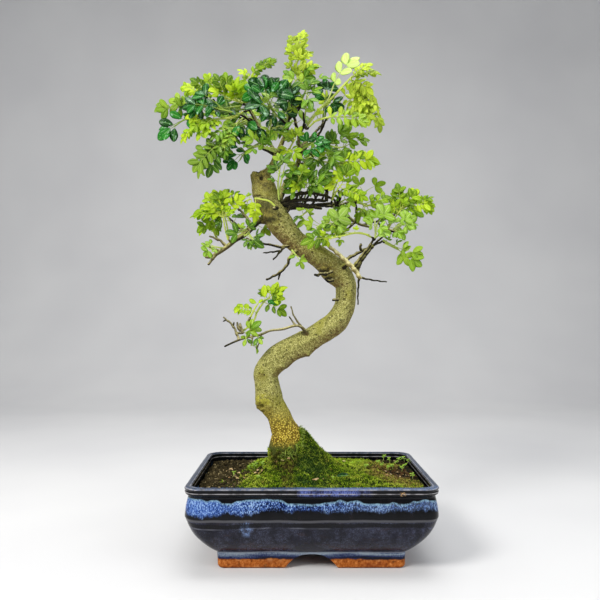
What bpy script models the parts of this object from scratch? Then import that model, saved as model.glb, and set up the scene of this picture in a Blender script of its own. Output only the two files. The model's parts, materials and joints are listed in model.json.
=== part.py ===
"""A Chinese pepper bonsai: an S-shaped trunk with leafy shoots, in a glazed stoneware pot."""

import math
import random

import bmesh
import bpy
from mathutils import Matrix, Vector
from mathutils.bvhtree import BVHTree

MM = 0.001

# Front view grid: the tree is laid out in columns and rows of a 600-unit square, seen level from
# a point EYE metres in front of the pot's middle and 0.25 m above its foot.
EYE = 0.715
GRID = 1 / 873
GRID_COLUMN = 297
GRID_ROW = 328
GRID_X = -0.015
GRID_Z = 0.25

# Pot, in metres
POT_LENGTH = 0.260
POT_WIDTH = 0.190
POT_CORNER = 0.017
WIDTH_INSET = 0.88
CORNER_STEPS = 3
FLOOR_TOP = 0.0225
FLOOR_UNDER = 0.0145
DRAIN_X = 0.055
DRAIN_RADIUS = 0.008
ARCH_BOTTOM = 0.056
ARCH_TOP = 0.028
ARCH_HEIGHT = 0.0152

# Half length lost from the widest line and height, in mm, from the rim's inner lip down the outside
POT_OUTSIDE = (
    (5.6, 89.6), (4.4, 90.0), (2.2, 90.0), (0.7, 89.2), (0.0, 87.8), (0.7, 86.2), (0.3, 84.6),
    (0.9, 82.4), (3.0, 80.4), (3.2, 78.6), (1.4, 70.0), (0.3, 60.4), (1.3, 56.6),
    (4.6, 47.6), (9.4, 38.8), (16.6, 30.0), (24.6, 22.4), (30.4, 17.6), (31.2, 15.8),
    (31.8, 9.0), (32.2, 2.4), (34.2, 0.0),
)
POT_UNDER = ((40.0, 0.0), (41.5, 1.6), (42.0, 14.5))
POT_INSIDE = ((36.0, 22.5), (24.0, 27.5), (14.5, 40.0), (9.4, 60.0), (7.6, 87.6))

# The whole object is shifted so that its box is centred over the origin.
POT_X = 0.0186

# Drainage meshes over the holes in the floor
SHEET_SIZE = 0.030
SHEET_THICK = 0.0010
SHEET_HOLE = 0.0090
SHEET_PITCH = 0.0130

# Ground
GAP = 0.0003
TRUNK_FOOT = 0.052
HOLE_RADIUS = 0.0208
STUMP_RADIUS = 0.0198
MOSS_RINGS = 6
BARE_RINGS = 1

# Foliage
SHOOT_RADIUS = 0.9
LEAF_SEED = 11
LEAFLET_SCALE = 1.2

# Trunk centre line: column, row, depth in mm, half width in grid units
TRUNK = (
    (286.0, 447.0, 0, 17.3), (286.0, 434.0, 0, 14.6), (283.5, 427.5, 0, 13.2),
    (277.5, 413.0, 0, 11.4), (272.0, 404.6, 0, 12.0), (269.0, 396.0, 0, 12.8),
    (266.2, 380.0, 0, 11.7), (266.5, 371.5, 0, 12.3), 
    (274.5, 360.5, 1, 12.3), (281.5, 355.0, 2, 12.4), (297.0, 346.5, 3, 11.7),
    (309.0, 340.0, 4, 11.0), (331.0, 326.5, 5, 11.5), (338.5, 318.5, 5, 11.2),
    (343.0, 310.5, 6, 10.7), (345.3, 303.0, 6, 10.2), (346.2, 287.0, 5, 10.3),
    (343.0, 279.0, 4, 10.6), (336.5, 271.5, 3, 10.7), (327.5, 263.0, 2, 11.0), 
    (307.0, 249.0, 0, 10.9), (296.0, 242.0, -1, 10.8), (287.5, 233.5, -3, 11.8), (281.0, 225.5, -4, 12.5),
    (275.2, 217.0, -4, 12.5), (266.2, 199.7, -3, 11.9), (263.8, 192.5, -2, 12.0),
    (261.0, 179.0, -2, 9.9), (259.8, 173.0, -2, 9.4),
)
TRUNK_SIDES = 12

# Knobs on the bark: column, row, direction from the centre line in the front view, rise and reach in mm
KNOBS = (
    (262, 404, (-1.0, 0.1), 4.6, 8), (330, 275, (-0.6, -1.0), 4.4, 8), (285, 366, (0.5, -1.0), 3.0, 6),
    (308, 352, (0.3, -1.0), 3.0, 6), (276, 216, (-1.0, 0.3), 3.4, 8), (341, 270, (0.8, 0.6), 3.0, 9),
    (338, 322, (0.9, -0.5), 1.8, 8), (262, 378, (-1.0, -0.3), 1.8, 8), (268, 190, (1.0, 0.5), 3.2, 9),
)

# Woody branches: column, row, depth in mm, radius in mm
BRANCHES = {
    "leader": ((264, 186, 0, 5.6), (268, 172, 0, 4.6), (272, 166, 0, 4.3), (275, 160, 1, 4.0),
               (277, 152, 2, 3.4)),
    "leader_left": ((277, 155, 2, 3.0), (268, 150, 0, 2.7), (262, 146, -1, 2.4), (259, 128, -2, 2.0),
                    (250, 111, -2, 1.6), (246, 106, -2, 1.2)),
    "leader_up": ((276, 157, 2, 3.2), (283, 140, 2, 2.5), (288, 125, 2, 2.0), (288, 110, 1, 1.6),
                  (286, 100, 0, 1.1)),
    "second": ((279, 199, -2, 4.2), (288, 180, -1, 3.4), (298, 163, 0, 2.6), (299, 136, -2, 2.0),
               (304.5, 125, -4, 1.3)),
    "second_right": ((298, 164, 0, 2.0), (304, 150, 5, 1.5), (320, 132, 8, 1.3), (324, 124, 9, 1.0)),
    "back_right": ((278, 208, 4, 3.6), (300, 207, 9, 2.7), (318, 205, 9, 2.2), (332, 203, 4, 1.5)),
    "left": ((272, 221, -3, 5.0), (260, 220.5, -6, 4.2), (254, 225, -7, 3.8), (245, 234, -7, 3.4),
             (235, 240, -7, 3.1),
             (228, 246, -6, 2.8), (213, 256, -5, 2.3), (205, 257, -5, 1.6)),
    "left_fork": ((216, 254, -5, 2.0), (208, 265, -7, 1.3)),
    "left_twig_up": ((252, 226, -6, 1.6), (246, 217, -4, 1.3), (240, 210, -2, 0.9)),
    "left_twig_out": ((226, 247, -6, 1.6), (221, 241, -6, 1.4), (209, 236, -7, 0.9)),
    "bare_a": ((294, 244, -4, 2.2), (282, 247, -10, 1.6), (272, 245, -13, 1.3), (261, 243, -15, 1.1),
               (246, 238, -17, 0.8)),
    "bare_b": ((284, 247, -9, 1.4), (280, 252, -14, 1.1), (273, 260, -16, 0.8)),
    "bare_c": ((280, 251, -13, 1.0), (263, 253, -19, 0.7)),
    "bare_d": ((298, 249, -5, 1.9), (290, 257, -10, 1.4), (287, 265, -10, 1.2), (279, 273, -11, 1.1),
               (266, 280, -12, 0.8)),
    "bare_d_nub": ((280, 272, -11, 1.0), (278.5, 280, -11, 0.8)),
    "bare_e": ((334, 270, -4, 1.7), (326, 274, -15, 1.2), (314, 274.5, -18, 0.8)),
    "pale": ((326, 244, -10, 1.5), (336, 252, -10, 2.1), (347, 262, -10, 2.5), (354, 269, -9, 2.6),
             (361, 279, -8, 2.1)),
    "pale_root": ((337, 271, 0, 4.6), (348, 263.5, -9, 2.6)),
    "right_stem": ((353, 268, -9, 2.1), (358, 261, -9, 1.8), (363, 254, -8, 1.6), (369, 247, -7, 1.5),
                   (373, 240, -6, 1.2)),
    "right_dark": ((345, 260, -9, 1.5), (361, 251.5, -5, 1.2), (372, 246, -1, 1.0), (383, 241, 2, 0.9)),
    "right_low": ((360, 277.5, -8, 1.1), (372, 280, -8, 0.9), (387, 282, -7, 0.7)),
    "right_hang": ((359, 278, -8, 1.1), (358, 292, -8, 0.9), (358, 305, -8, 0.7)),
    "dark_chain": ((331, 203, 4, 1.5), (344, 212, 4, 1.4), (352, 220, 5, 1.3), (362, 225, 5, 1.1),
                   (371, 227, 4, 0.9)),
    "dark_up": ((345, 231, 1, 0.8), (355, 221.5, 5, 1.2), (356.5, 213, 6, 1.1), (355.6, 204, 6, 0.9)),
    "low_left": ((312, 339, 0, 3.2), (302, 327.5, -9, 1.8), (295, 325.6, -9, 1.7), (283, 329, -9, 1.6),
                 (270.5, 330.6, -9, 1.5), (260, 334.7, -9, 1.5), (241.5, 339, -9, 1.4),
                 (224, 346.7, -9, 1.2)),
    "low_twig_a": ((302, 327.5, -9, 1.2), (294, 316, -10, 0.9), (291, 306, -10, 0.7)),
    "low_twig_b": ((295.5, 325.6, -9, 1.0), (289, 316.5, -8, 0.7)),
    "low_twig_c": ((239, 340, -9, 1.1), (233, 326, -8, 0.9), (223, 317, -8, 0.7)),
    "low_twig_d": ((261, 334.7, -9, 1.0), (257, 349, -10, 0.7)),
    "back_a": ((276, 157, 3, 2.4), (268, 140, 20, 1.8), (252, 128, 36, 1.2)),
    "back_b": ((298, 150, -1, 2.0), (312, 136, 20, 1.5), (326, 120, 36, 1.1)),
    "back_c": ((289, 178, -1, 2.4), (298, 176, 22, 1.9), (306, 168, 38, 1.2)),
    "back_d": ((318, 205, 9, 1.9), (335, 206, 24, 1.5), (352, 201, 38, 1.1)),
    "back_e": ((246, 233, -6, 1.9), (238, 226, 12, 1.4), (230, 219, 26, 1.0)),
    "back_f": ((362, 225, 5, 1.1), (378, 221, 18, 1.0), (393, 215, 28, 0.8)),
}

# Leafy shoots: colour, shoot (column, row, depth in mm), leaves (base column and row, tip column and row,
# tip depth in mm, pairs of leaflets, leaflet length in mm)
SPRAYS = {
    "spray_top_spire": ("young", ((287, 95, 0), (290, 80, 0), (298, 61, 0)), (
        (298, 61, 304, 31, 0, 3, 10), (297, 65, 288, 42, -7, 3, 10), (298, 62, 313, 50, 7, 2, 10),
        (291, 78, 320, 65, -6, 3, 12))),
    "spray_top_centre": ("mid", ((300, 104, -9), (305, 92, -12), (306, 84, -13)), (
        (305, 88, 331, 76, -15, 3, 11), (306, 86, 283, 77, -16, 3, 11), (304, 92, 312, 108, -20, 2, 12))),
    "spray_upper_right_pale": ("pale", ((306, 124, -8), (318, 110, -11), (328, 99, -12), (334, 84, -13)), (
        (332, 90, 358, 55, -14, 3, 15),)),
    "spray_upper_right_arch": ("young", ((307, 126, 1), (318, 112, 2), (334, 95, 3), (352, 76, 4)), (
        (351, 77, 381, 72, 4, 4, 11), (350, 79, 367, 122, -3, 4, 13), (350, 79, 381, 130, 8, 4, 11))),
    "spray_right_low_fan": ("mid", ((309, 127, -13), (317, 120, -16), (324, 118, -17)), (
        (322, 118, 370, 122, -18, 4, 12), (318, 119, 306, 103, -20, 2, 11))),
    "spray_right_dark": ("dark", ((323, 118, 12), (324, 108, 13), (325, 102, 13)), (
        (324, 106, 326, 78, 12, 2, 12), (324, 107, 344, 107, 11, 2, 11))),
    "spray_right_mid": ("mid", ((316, 138, 3), (326, 143, 2), (336, 143, 0)), (
        (334, 143, 370, 139, -2, 3, 14), (330, 143, 350, 124, -6, 2, 13))),
    "spray_right_glossy": ("dark", ((302, 150, -8), (304, 146, -12), (308, 143, -15)), (
        (307, 143, 332, 146, -18, 2, 15),)),
    "spray_right_point": ("young", ((304, 163, -4), (314, 160, -8), (326, 162, -10), (338, 163, -10)), (
        (336, 163, 381, 161, -10, 3, 16), (318, 160, 322, 143, -13, 2, 12),
        (334, 163, 353, 180, -8, 2, 14))),
    "spray_right_hanging": ("young", ((332, 200, -8), (334, 190, -13), (338, 181, -15)), (
        (337, 184, 347, 163, -18, 3, 12), (334, 192, 368, 199, -18, 3, 11))),
    "spray_under_right": ("mid", ((334, 206, -4), (333, 213, -9), (331, 221, -10)), (
        (332, 218, 350, 215, -12, 2, 13), (331, 220, 341, 236, -12, 2, 12))),
    "spray_long_arch": ("young", ((371, 237, -9), (362, 233, -11), (352, 233, -12)), (
        (354, 233, 310, 245, -15, 4, 13),)),
    "spray_right_inner": ("pale", ((375, 238, -7), (376, 229, -9), (378, 222, -10)), (
        (376, 226, 367, 210, -13, 2, 13), (377, 223, 390, 205, -13, 2, 13),
        (375, 232, 392, 233, -13, 2, 13))),
    "spray_right_outer": ("pale", ((383, 237, -2), (392, 231, -5), (399, 227, -6)), (
        (397, 228, 417, 217, -10, 2, 15), (398, 228, 405, 240, -10, 1, 14))),
    "spray_right_far": ("young", ((386, 232, 4), (394, 219, 4), (403, 207, 3)), (
        (402, 208, 437, 205, 0, 3, 13), (398, 213, 397, 184, 3, 3, 11), (401, 209, 420, 189, 6, 2, 12),
        (392, 222, 380, 207, 6, 2, 12))),
    "spray_right_fallen": ("mid", ((385, 243, -1), (393, 247, -3), (399, 250, -4)), (
        (397, 249, 422, 267, -7, 3, 14),)),
    "spray_right_upper": ("mid", ((357, 201, 4), (361, 203, 2), (367, 204, 1)), (
        (365, 204, 391, 197, 1, 3, 11), (362, 203, 367, 223, -3, 2, 12), (360, 202, 344, 194, 3, 1, 11))),
    "spray_beside_trunk_right": ("mid", ((312, 209, 5), (310, 214, -1), (312, 220, -5)), (
        (312, 219, 331, 231, -9, 2, 12), (311, 217, 297, 226, -8, 2, 11))),
    "spray_left_main": ("young", ((229, 238, -9), (227, 226, -10), (224, 213, -10)), (
        (224, 214, 191, 213, -13, 3, 14), (224, 214, 212, 190, -12, 2, 14),
        (224, 213, 245, 195, -13, 3, 12))),
    "spray_left_drooping": ("young", ((217, 238, -2), (213, 228, 0), (213, 217, 1)), (
        (213, 219, 198, 235, -4, 3, 12),)),
    "spray_left_mid": ("mid", ((238, 208, 0), (236, 203, 3), (232, 202, 4)), (
        (233, 202, 218, 200, 4, 2, 12),)),
    "spray_trunk_arch": ("young", ((275, 206, -20), (269, 201, -21), (260, 199, -21), (254, 198, -21)), (
        (255, 198, 254, 223, -21, 3, 9),)),
    "spray_left_under": ("mid", ((249, 232, -13), (246, 235, -16), (244, 236, -17)), (
        (246, 235, 225, 232, -18, 1, 15), (246, 235, 263, 248, -19, 2, 13))),
    "spray_left_behind": ("mid", ((250, 226, 1), (253, 224, 4), (256, 224, 6)), (
        (255, 224, 271, 235, 6, 2, 11),)),
    "spray_left_tip": ("pale", ((214, 251, -3), (211, 249, -2), (208, 247, -2)), (
        (209, 248, 201, 243, -2, 1, 8),)),
    "spray_crown_left_top": ("young", ((243, 103, -1), (234, 98, 0), (224, 94, 0), (214, 93, 1)), (
        (216, 93, 179, 88, 3, 4, 11), (220, 94, 205, 75, -3, 2, 12), (228, 96, 224, 73, 4, 2, 13),
        (236, 99, 241, 79, -5, 2, 12))),
    "spray_crown_left_low": ("young", ((243, 112, -9), (230, 117, -14), (212, 120, -16)), (
        (214, 120, 179, 142, -18, 4, 11), (216, 120, 196, 139, -8, 2, 11))),
    "spray_crown_left_far": ("dark", ((244, 109, 5), (230, 111, 7), (212, 114, 6), (200, 116, 4)), (
        (202, 116, 157, 138, 2, 2, 16), (206, 115, 178, 106, 8, 2, 14))),
    "spray_crown_left_pale": ("pale", ((242, 105, 13), (225, 104, 14), (208, 106, 14)), (
        (209, 106, 154, 110, 14, 3, 15),)),
    "spray_crown_left_glossy": ("dark", ((240, 115, -20), (228, 111, -22), (218, 109, -23)), (
        (219, 109, 182, 106, -24, 3, 13), (224, 110, 195, 90, -22, 2, 13))),
    "spray_crown_hanging": ("mid", ((247, 120, -11), (236, 125, -13), (225, 135, -14)), (
        (226, 134, 197, 179, -14, 4, 14),)),
    "spray_crown_under_dark": ("dark", ((259, 143, -9), (254, 146, -13), (249, 149, -14)), (
        (250, 148, 227, 170, -15, 3, 12),)),
    "spray_crown_under_mid": ("mid", ((284, 152, -10), (276, 149, -14), (266, 147, -15)), (
        (268, 147, 240, 137, -17, 2, 13), (274, 148, 262, 131, -20, 1, 12))),
    "spray_crown_centre_dark": ("dark", ((279, 118, -9), (272, 110, -15), (268, 104, -18)), (
        (268, 104, 246, 83, -19, 2, 18), (268, 104, 264, 74, -20, 2, 17), (269, 105, 288, 80, -19, 2, 17),
        (271, 109, 246, 106, -24, 1, 19))),
    "spray_crown_centre_low": ("dark", ((287, 122, -8), (284, 119, -14), (281, 117, -17)), (
        (282, 117, 296, 92, -20, 2, 14), (283, 118, 264, 118, -22, 1, 14))),
    "spray_crown_bright": ("young", ((251, 96, 6), (250, 84, 8), (252, 74, 8)), (
        (251, 77, 277, 58, 7, 4, 9), (250, 82, 238, 68, 8, 2, 10))),
    "spray_crown_left_inner": ("mid", ((252, 121, -4), (246, 124, -6), (240, 124, -8)), (
        (242, 124, 216, 104, -8, 3, 12),)),
    "spray_trunk_top": ("mid", ((279, 195, -15), (281, 182, -18), (284, 170, -19)), (
        (282, 178, 266, 165, -21, 2, 12), (283, 171, 290, 152, -20, 2, 12),
        (282, 176, 301, 172, -21, 2, 12))),
    "spray_trunk_shade": ("mid", ((303, 202, -2), (306, 194, -7), (309, 186, -9)), (
        (308, 188, 296, 176, -12, 1, 12), (309, 187, 326, 180, -12, 2, 12))),
    "spray_back_top": ("mid", ((250, 126, 38), (243, 116, 42), (239, 104, 44)), (
        (242, 114, 216, 108, 50, 3, 14), (240, 106, 246, 80, 44, 3, 14), (243, 116, 258, 140, 58, 2, 14))),
    "spray_back_crown": ("dark", ((265, 136, 26), (270, 122, 34), (274, 108, 36)), (
        (271, 116, 284, 132, 52, 2, 14), (273, 110, 268, 86, 38, 3, 13))),
    "spray_back_right": ("young", ((328, 118, 38), (336, 108, 40), (342, 98, 40)), (
        (341, 99, 354, 82, 30, 2, 13), (338, 105, 362, 112, 40, 3, 13), (334, 110, 318, 92, 48, 2, 13))),
    "spray_back_centre": ("mid", ((307, 166, 40), (314, 156, 43), (318, 146, 44)), (
        (315, 154, 296, 142, 52, 2, 14), (317, 148, 336, 132, 44, 3, 13), (312, 159, 330, 176, 48, 2, 13))),
    "spray_back_low": ("mid", ((354, 200, 40), (362, 194, 43), (368, 190, 44)), (
        (364, 193, 352, 176, 42, 2, 13), (366, 192, 386, 182, 42, 2, 13))),
    "spray_back_left": ("young", ((229, 218, 28), (223, 211, 31), (219, 205, 32)), (
        (221, 208, 200, 214, 36, 2, 13), (220, 206, 228, 188, 32, 2, 13))),
    "spray_back_far": ("mid", ((395, 214, 30), (401, 209, 32), (406, 204, 33)), (
        (404, 206, 424, 216, 36, 2, 13), (403, 207, 400, 192, 30, 2, 12))),
    "spray_low_left_top": ("young", ((243, 331, -7), (253, 322, -8), (258, 310, -8), (264, 302, -8),
        (270, 297, -8)), (
        (269, 298, 284, 288, -11, 1, 14), (264, 302, 288, 315, -11, 2, 12),
        (268, 299, 259, 288, -10, 1, 11),
        (257, 312, 232, 308, -5, 3, 10), (255, 318, 251, 334, -12, 2, 10))),
    "spray_low_left_under": ("mid", ((252, 340, -10), (252, 343, -11), (251, 346, -11)), (
        (252, 345, 259, 352, -13, 1, 9),)),
}

# Where each shoot leaves the wood, when that isn't the nearest branch
SPUR_FROM = {
    "spray_crown_left_glossy": (259, 128), "spray_crown_left_pale": (250, 111),
                               "spray_crown_hanging": (259, 128),
    "spray_crown_centre_dark": (288, 125), "spray_crown_under_mid": (283, 146),
                               "spray_trunk_arch": (270, 208),
    "spray_trunk_top": (279, 199), "spray_beside_trunk_right": (306, 207), "spray_left_under": (254, 225),
    "spray_right_far": (378, 221), "spray_right_outer": (372, 246),
}

BLUNT = ("pale", "dark")
LEAF_COLOURS = {
    "young": (0.36, 0.55, 0.045, 1), "pale": (0.42, 0.60, 0.16, 1),
    "mid": (0.13, 0.33, 0.04, 1), "dark": (0.018, 0.115, 0.03, 1),
}


def front(column, row, depth=0.0):
    """The point at this place in the front view. Depth in mm runs back from the pot's middle, and the
    crown spreads more than in step with it."""
    y = depth * (1 + (0.036 if depth < 0 else 0.008) * abs(depth)) * MM
    scale = GRID * (EYE + y) / EYE
    x = GRID_X + (column - GRID_COLUMN) * scale
    return Vector((x, y, GRID_Z + (GRID_ROW - row) * scale))


def clear_scene():
    for obj in list(bpy.data.objects):
        bpy.data.objects.remove(obj, do_unlink=True)
    for collection in list(bpy.data.collections):
        bpy.data.collections.remove(collection)


def new_collection(name, hidden=False):
    collection = bpy.data.collections.new(name)
    bpy.context.scene.collection.children.link(collection)
    collection.hide_render = hidden
    return collection


def material(name, colour, roughness, metallic=0.0, coat=0.0):
    made = bpy.data.materials.new(name)
    made.use_nodes = True
    shader = made.node_tree.nodes["Principled BSDF"]
    shader.inputs["Base Color"].default_value = colour
    shader.inputs["Roughness"].default_value = roughness
    shader.inputs["Metallic"].default_value = metallic
    shader.inputs["Coat Weight"].default_value = coat
    made.diffuse_color = colour
    return made


def mesh_object(name, points, faces, collection):
    mesh = bpy.data.meshes.new(name)
    mesh.from_pydata([tuple(p) for p in points], [], faces)
    outward(mesh)
    obj = bpy.data.objects.new(name, mesh)
    collection.objects.link(obj)
    return obj


def outward(mesh):
    work = bmesh.new()
    work.from_mesh(mesh)
    bmesh.ops.remove_doubles(work, verts=work.verts, dist=1e-6)
    bmesh.ops.recalc_face_normals(work, faces=work.faces)
    if work.calc_volume(signed=True) < 0:
        bmesh.ops.reverse_faces(work, faces=work.faces)
    work.to_mesh(mesh)
    work.free()


def loft(rings, cap_first=True, cap_last=True, closed=False):
    """Points and faces of a skin over rings of equally many points."""
    count = len(rings[0])
    points = [p for ring in rings for p in ring]
    faces = []
    pairs = [(i, i + 1) for i in range(len(rings) - 1)]
    if closed:
        pairs.append((len(rings) - 1, 0))
    for low, high in pairs:
        for j in range(count):
            k = (j + 1) % count
            faces.append((low * count + j, low * count + k, high * count + k))
            faces.append((low * count + j, high * count + k, high * count + j))
    if cap_first and not closed:
        faces.append(tuple(reversed(range(count))))
    if cap_last and not closed:
        faces.append(tuple(range(len(points) - count, len(points))))
    return points, faces


def tube(name, points, radii, resolution, collection):
    """A tapering round tube along these points, closed at both ends."""
    curve = bpy.data.curves.new(name, "CURVE")
    curve.dimensions = "3D"
    curve.bevel_depth = MM
    curve.bevel_resolution = resolution
    curve.use_fill_caps = True
    spline = curve.splines.new("POLY")
    spline.points.add(len(points) - 1)
    for slot, point, radius in zip(spline.points, points, radii):
        slot.co = (*point, 1)
        slot.radius = radius
    guide = bpy.data.objects.new(name, curve)
    collection.objects.link(guide)
    bpy.context.view_layer.update()
    shape = guide.evaluated_get(bpy.context.evaluated_depsgraph_get())
    mesh = bpy.data.meshes.new_from_object(shape)
    mesh.transform(guide.matrix_world)
    bpy.data.objects.remove(guide, do_unlink=True)
    bpy.data.curves.remove(curve)
    outward(mesh)
    obj = bpy.data.objects.new(name, mesh)
    collection.objects.link(obj)
    return obj


def apply_modifiers(obj):
    bpy.context.view_layer.update()
    shape = obj.evaluated_get(bpy.context.evaluated_depsgraph_get())
    mesh = bpy.data.meshes.new_from_object(shape)
    obj.modifiers.clear()
    obj.data = mesh


def boolean(obj, collection, operation, solver="EXACT"):
    """Joins to or cuts from obj everything in the collection, then removes what it held."""
    modifier = obj.modifiers.new("join" if operation == "UNION" else "cut", "BOOLEAN")
    modifier.operation = operation
    modifier.operand_type = "COLLECTION"
    modifier.collection = collection
    modifier.solver = solver
    apply_modifiers(obj)
    for other in list(collection.objects):
        bpy.data.objects.remove(other, do_unlink=True)


def keep_largest(obj):
    """Drops loose scraps that a join leaves."""
    work = bmesh.new()
    work.from_mesh(obj.data)
    left = set(work.verts)
    islands = []
    while left:
        stack = [left.pop()]
        island = set(stack)
        while stack:
            for edge in stack.pop().link_edges:
                for vertex in edge.verts:
                    if vertex not in island:
                        island.add(vertex)
                        left.discard(vertex)
                        stack.append(vertex)
        islands.append(island)
    islands.sort(key=len, reverse=True)
    for island in islands[1:]:
        bmesh.ops.delete(work, geom=list(island), context="VERTS")
    work.to_mesh(obj.data)
    work.free()


# Pot

def rounded_rectangle(half_length, half_width, corner, z, steps=CORNER_STEPS):
    points = []
    for quarter, (sx, sy) in enumerate(((1, 1), (-1, 1), (-1, -1), (1, -1))):
        for i in range(steps + 1):
            angle = math.radians(90 * (quarter + i / steps))
            x = sx * (half_length - corner) + corner * math.cos(angle)
            y = sy * (half_width - corner) + corner * math.sin(angle)
            points.append(Vector((x, y, z)))
    return points


def pot_ring(inset, height, steps=CORNER_STEPS):
    inset *= MM
    half_length = POT_LENGTH / 2 - inset
    half_width = POT_WIDTH / 2 - inset * WIDTH_INSET
    corner = max(POT_CORNER - 0.4 * inset, 0.006)
    return rounded_rectangle(half_length, half_width, corner, height * MM, steps)


def build_pot(collection, cutters):
    rings = [pot_ring(*step) for step in POT_OUTSIDE + POT_UNDER]
    outer_points, outer_faces = loft(rings, cap_first=False, cap_last=True)
    inner = [pot_ring(*step) for step in POT_INSIDE] + [rings[0]]
    inner_points, inner_faces = loft(inner, cap_first=True, cap_last=False)
    shift = len(outer_points)
    faces = outer_faces + [tuple(i + shift for i in face) for face in inner_faces]
    pot = mesh_object("pot", outer_points + inner_points, faces, collection)
    for side in (-1, 1):
        middle = (side * DRAIN_X, 0, (FLOOR_TOP + FLOOR_UNDER) / 2)
        bpy.ops.mesh.primitive_cylinder_add(vertices=20, radius=DRAIN_RADIUS, depth=0.03, location=middle)
        hole = bpy.context.object
        hole.name = "drain_cutter"
        move_to(hole, cutters)
        y_in = POT_WIDTH / 2 - 0.046
        y_out = POT_WIDTH / 2 - 0.020
        profile = (
            (-ARCH_BOTTOM / 2 - 0.0018, -0.002), (ARCH_BOTTOM / 2 + 0.0018, -0.002),
            (ARCH_TOP / 2, ARCH_HEIGHT), (-ARCH_TOP / 2, ARCH_HEIGHT),
        )
        ends = [[Vector((x, side * y, z)) for x, z in profile] for y in (y_in, y_out)]
        points, faces = loft(ends)
        arch = mesh_object("arch_cutter", points, faces, cutters)
        arch.display_type = "WIRE"
        arch.hide_render = True
    boolean(pot, cutters, "DIFFERENCE")
    return pot


def move_to(obj, collection):
    for old in list(obj.users_collection):
        old.objects.unlink(obj)
    collection.objects.link(obj)
    obj.display_type = "WIRE" if collection.hide_render else obj.display_type
    obj.hide_render = collection.hide_render


# Soil and moss

TRUNK_X = front(TRUNK[0][0], TRUNK[0][1]).x


def inner_wall(height):
    """The pot's inside wall at this height in metres, as the corners of a polygon."""
    steps = POT_INSIDE
    inset = steps[-1][0]
    for (low_inset, low), (high_inset, high) in zip(steps, steps[1:]):
        if low <= height / MM <= high:
            inset = low_inset + (high_inset - low_inset) * (height / MM - low) / (high - low)
    return pot_ring(inset, height / MM)


def wall_reach(angle, height):
    """How far it is from the trunk's middle to the pot's wall in this direction."""
    way = Vector((math.cos(angle), math.sin(angle)))
    wall = inner_wall(height)
    best = 0.0
    for a, b in zip(wall, wall[1:] + wall[:1]):
        edge = Vector((b.x - a.x, b.y - a.y))
        start = Vector((a.x - TRUNK_X, a.y))
        turn = way.x * edge.y - way.y * edge.x
        if abs(turn) < 1e-12:
            continue
        reach = (start.x * edge.y - start.y * edge.x) / turn
        share = (start.x * way.y - start.y * way.x) / turn
        if reach > 0 and -1e-6 <= share <= 1 + 1e-6:
            best = max(best, reach)
    return best


def ground_angles():
    """Directions from the trunk: to the wall's corner points, and evenly between them."""
    corners = [math.atan2(p.y, p.x - TRUNK_X) % (2 * math.pi) for p in inner_wall(0.082)]
    kept = list(corners)
    for i in range(14):
        angle = 2 * math.pi * i / 14
        if min(abs((angle - other + math.pi) % (2 * math.pi) - math.pi) for other in corners) > 0.12:
            kept.append(angle)
    return sorted(kept)


def moss_reach(angle):
    """How far out the moss grows, as a share of the way to the pot's wall."""
    bare_back_left = math.exp(-(((angle - 2.62 + math.pi) % (2 * math.pi) - math.pi) / 0.42) ** 2)
    bare_right = math.exp(-(((angle - 0.12 + math.pi) % (2 * math.pi) - math.pi) / 0.10) ** 2)
    return 0.985 - 0.60 * bare_back_left - 0.10 * bare_right - 0.03 * (1 + math.sin(5 * angle))


def soil_height(x, y):
    dx = x - TRUNK_X - 0.004
    reach = math.hypot(dx if dx > 0 else 1.25 * dx, 1.15 * y)
    mound = 0.0225 * math.exp(-((reach / 0.040) ** 2)) + 0.006 * math.exp(-((reach / 0.085) ** 2))
    front_right = 0.0030 / (1 + math.exp(-(0.8 * x - y - 0.01) / 0.02))
    return 0.0795 + mound + front_right + 0.0006 * math.sin(170 * x + 3) * math.sin(190 * y)


def moss_thickness(x, y, share):
    across = math.sin(310 * x + 1.2 + 2 * math.sin(140 * y))
    along = math.sin(290 * y + 0.6 + 1.5 * math.sin(170 * x))
    lumps = 0.5 + 0.5 * across * along
    fine = 0.5 + 0.5 * math.sin(730 * x + 2.1) * math.sin(690 * y + 1.3)
    edge = min(1.0, 2.6 * (1 - share))
    return 0.0016 + edge * (0.0018 + 0.0030 * lumps + 0.0010 * fine)


def ground_rings():
    """The ground in plan, from the trunk's hole to the wall: rings of (x, y, share of the moss's reach)."""
    angles = ground_angles()
    walls = [wall_reach(angle, 0.079) - GAP for angle in angles]
    rings = []
    for ring in range(MOSS_RINGS + BARE_RINGS + 1):
        points = []
        for angle, wall in zip(angles, walls):
            edge = HOLE_RADIUS + (wall - HOLE_RADIUS) * moss_reach(angle)
            if ring <= MOSS_RINGS:
                share = (ring / MOSS_RINGS) ** 1.15
                radius = HOLE_RADIUS + (edge - HOLE_RADIUS) * share
            else:
                share = 1.0
                radius = edge + (wall - edge) * (ring - MOSS_RINGS) / BARE_RINGS
            points.append((TRUNK_X + radius * math.cos(angle), radius * math.sin(angle), share))
        rings.append(points)
    return rings


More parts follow.
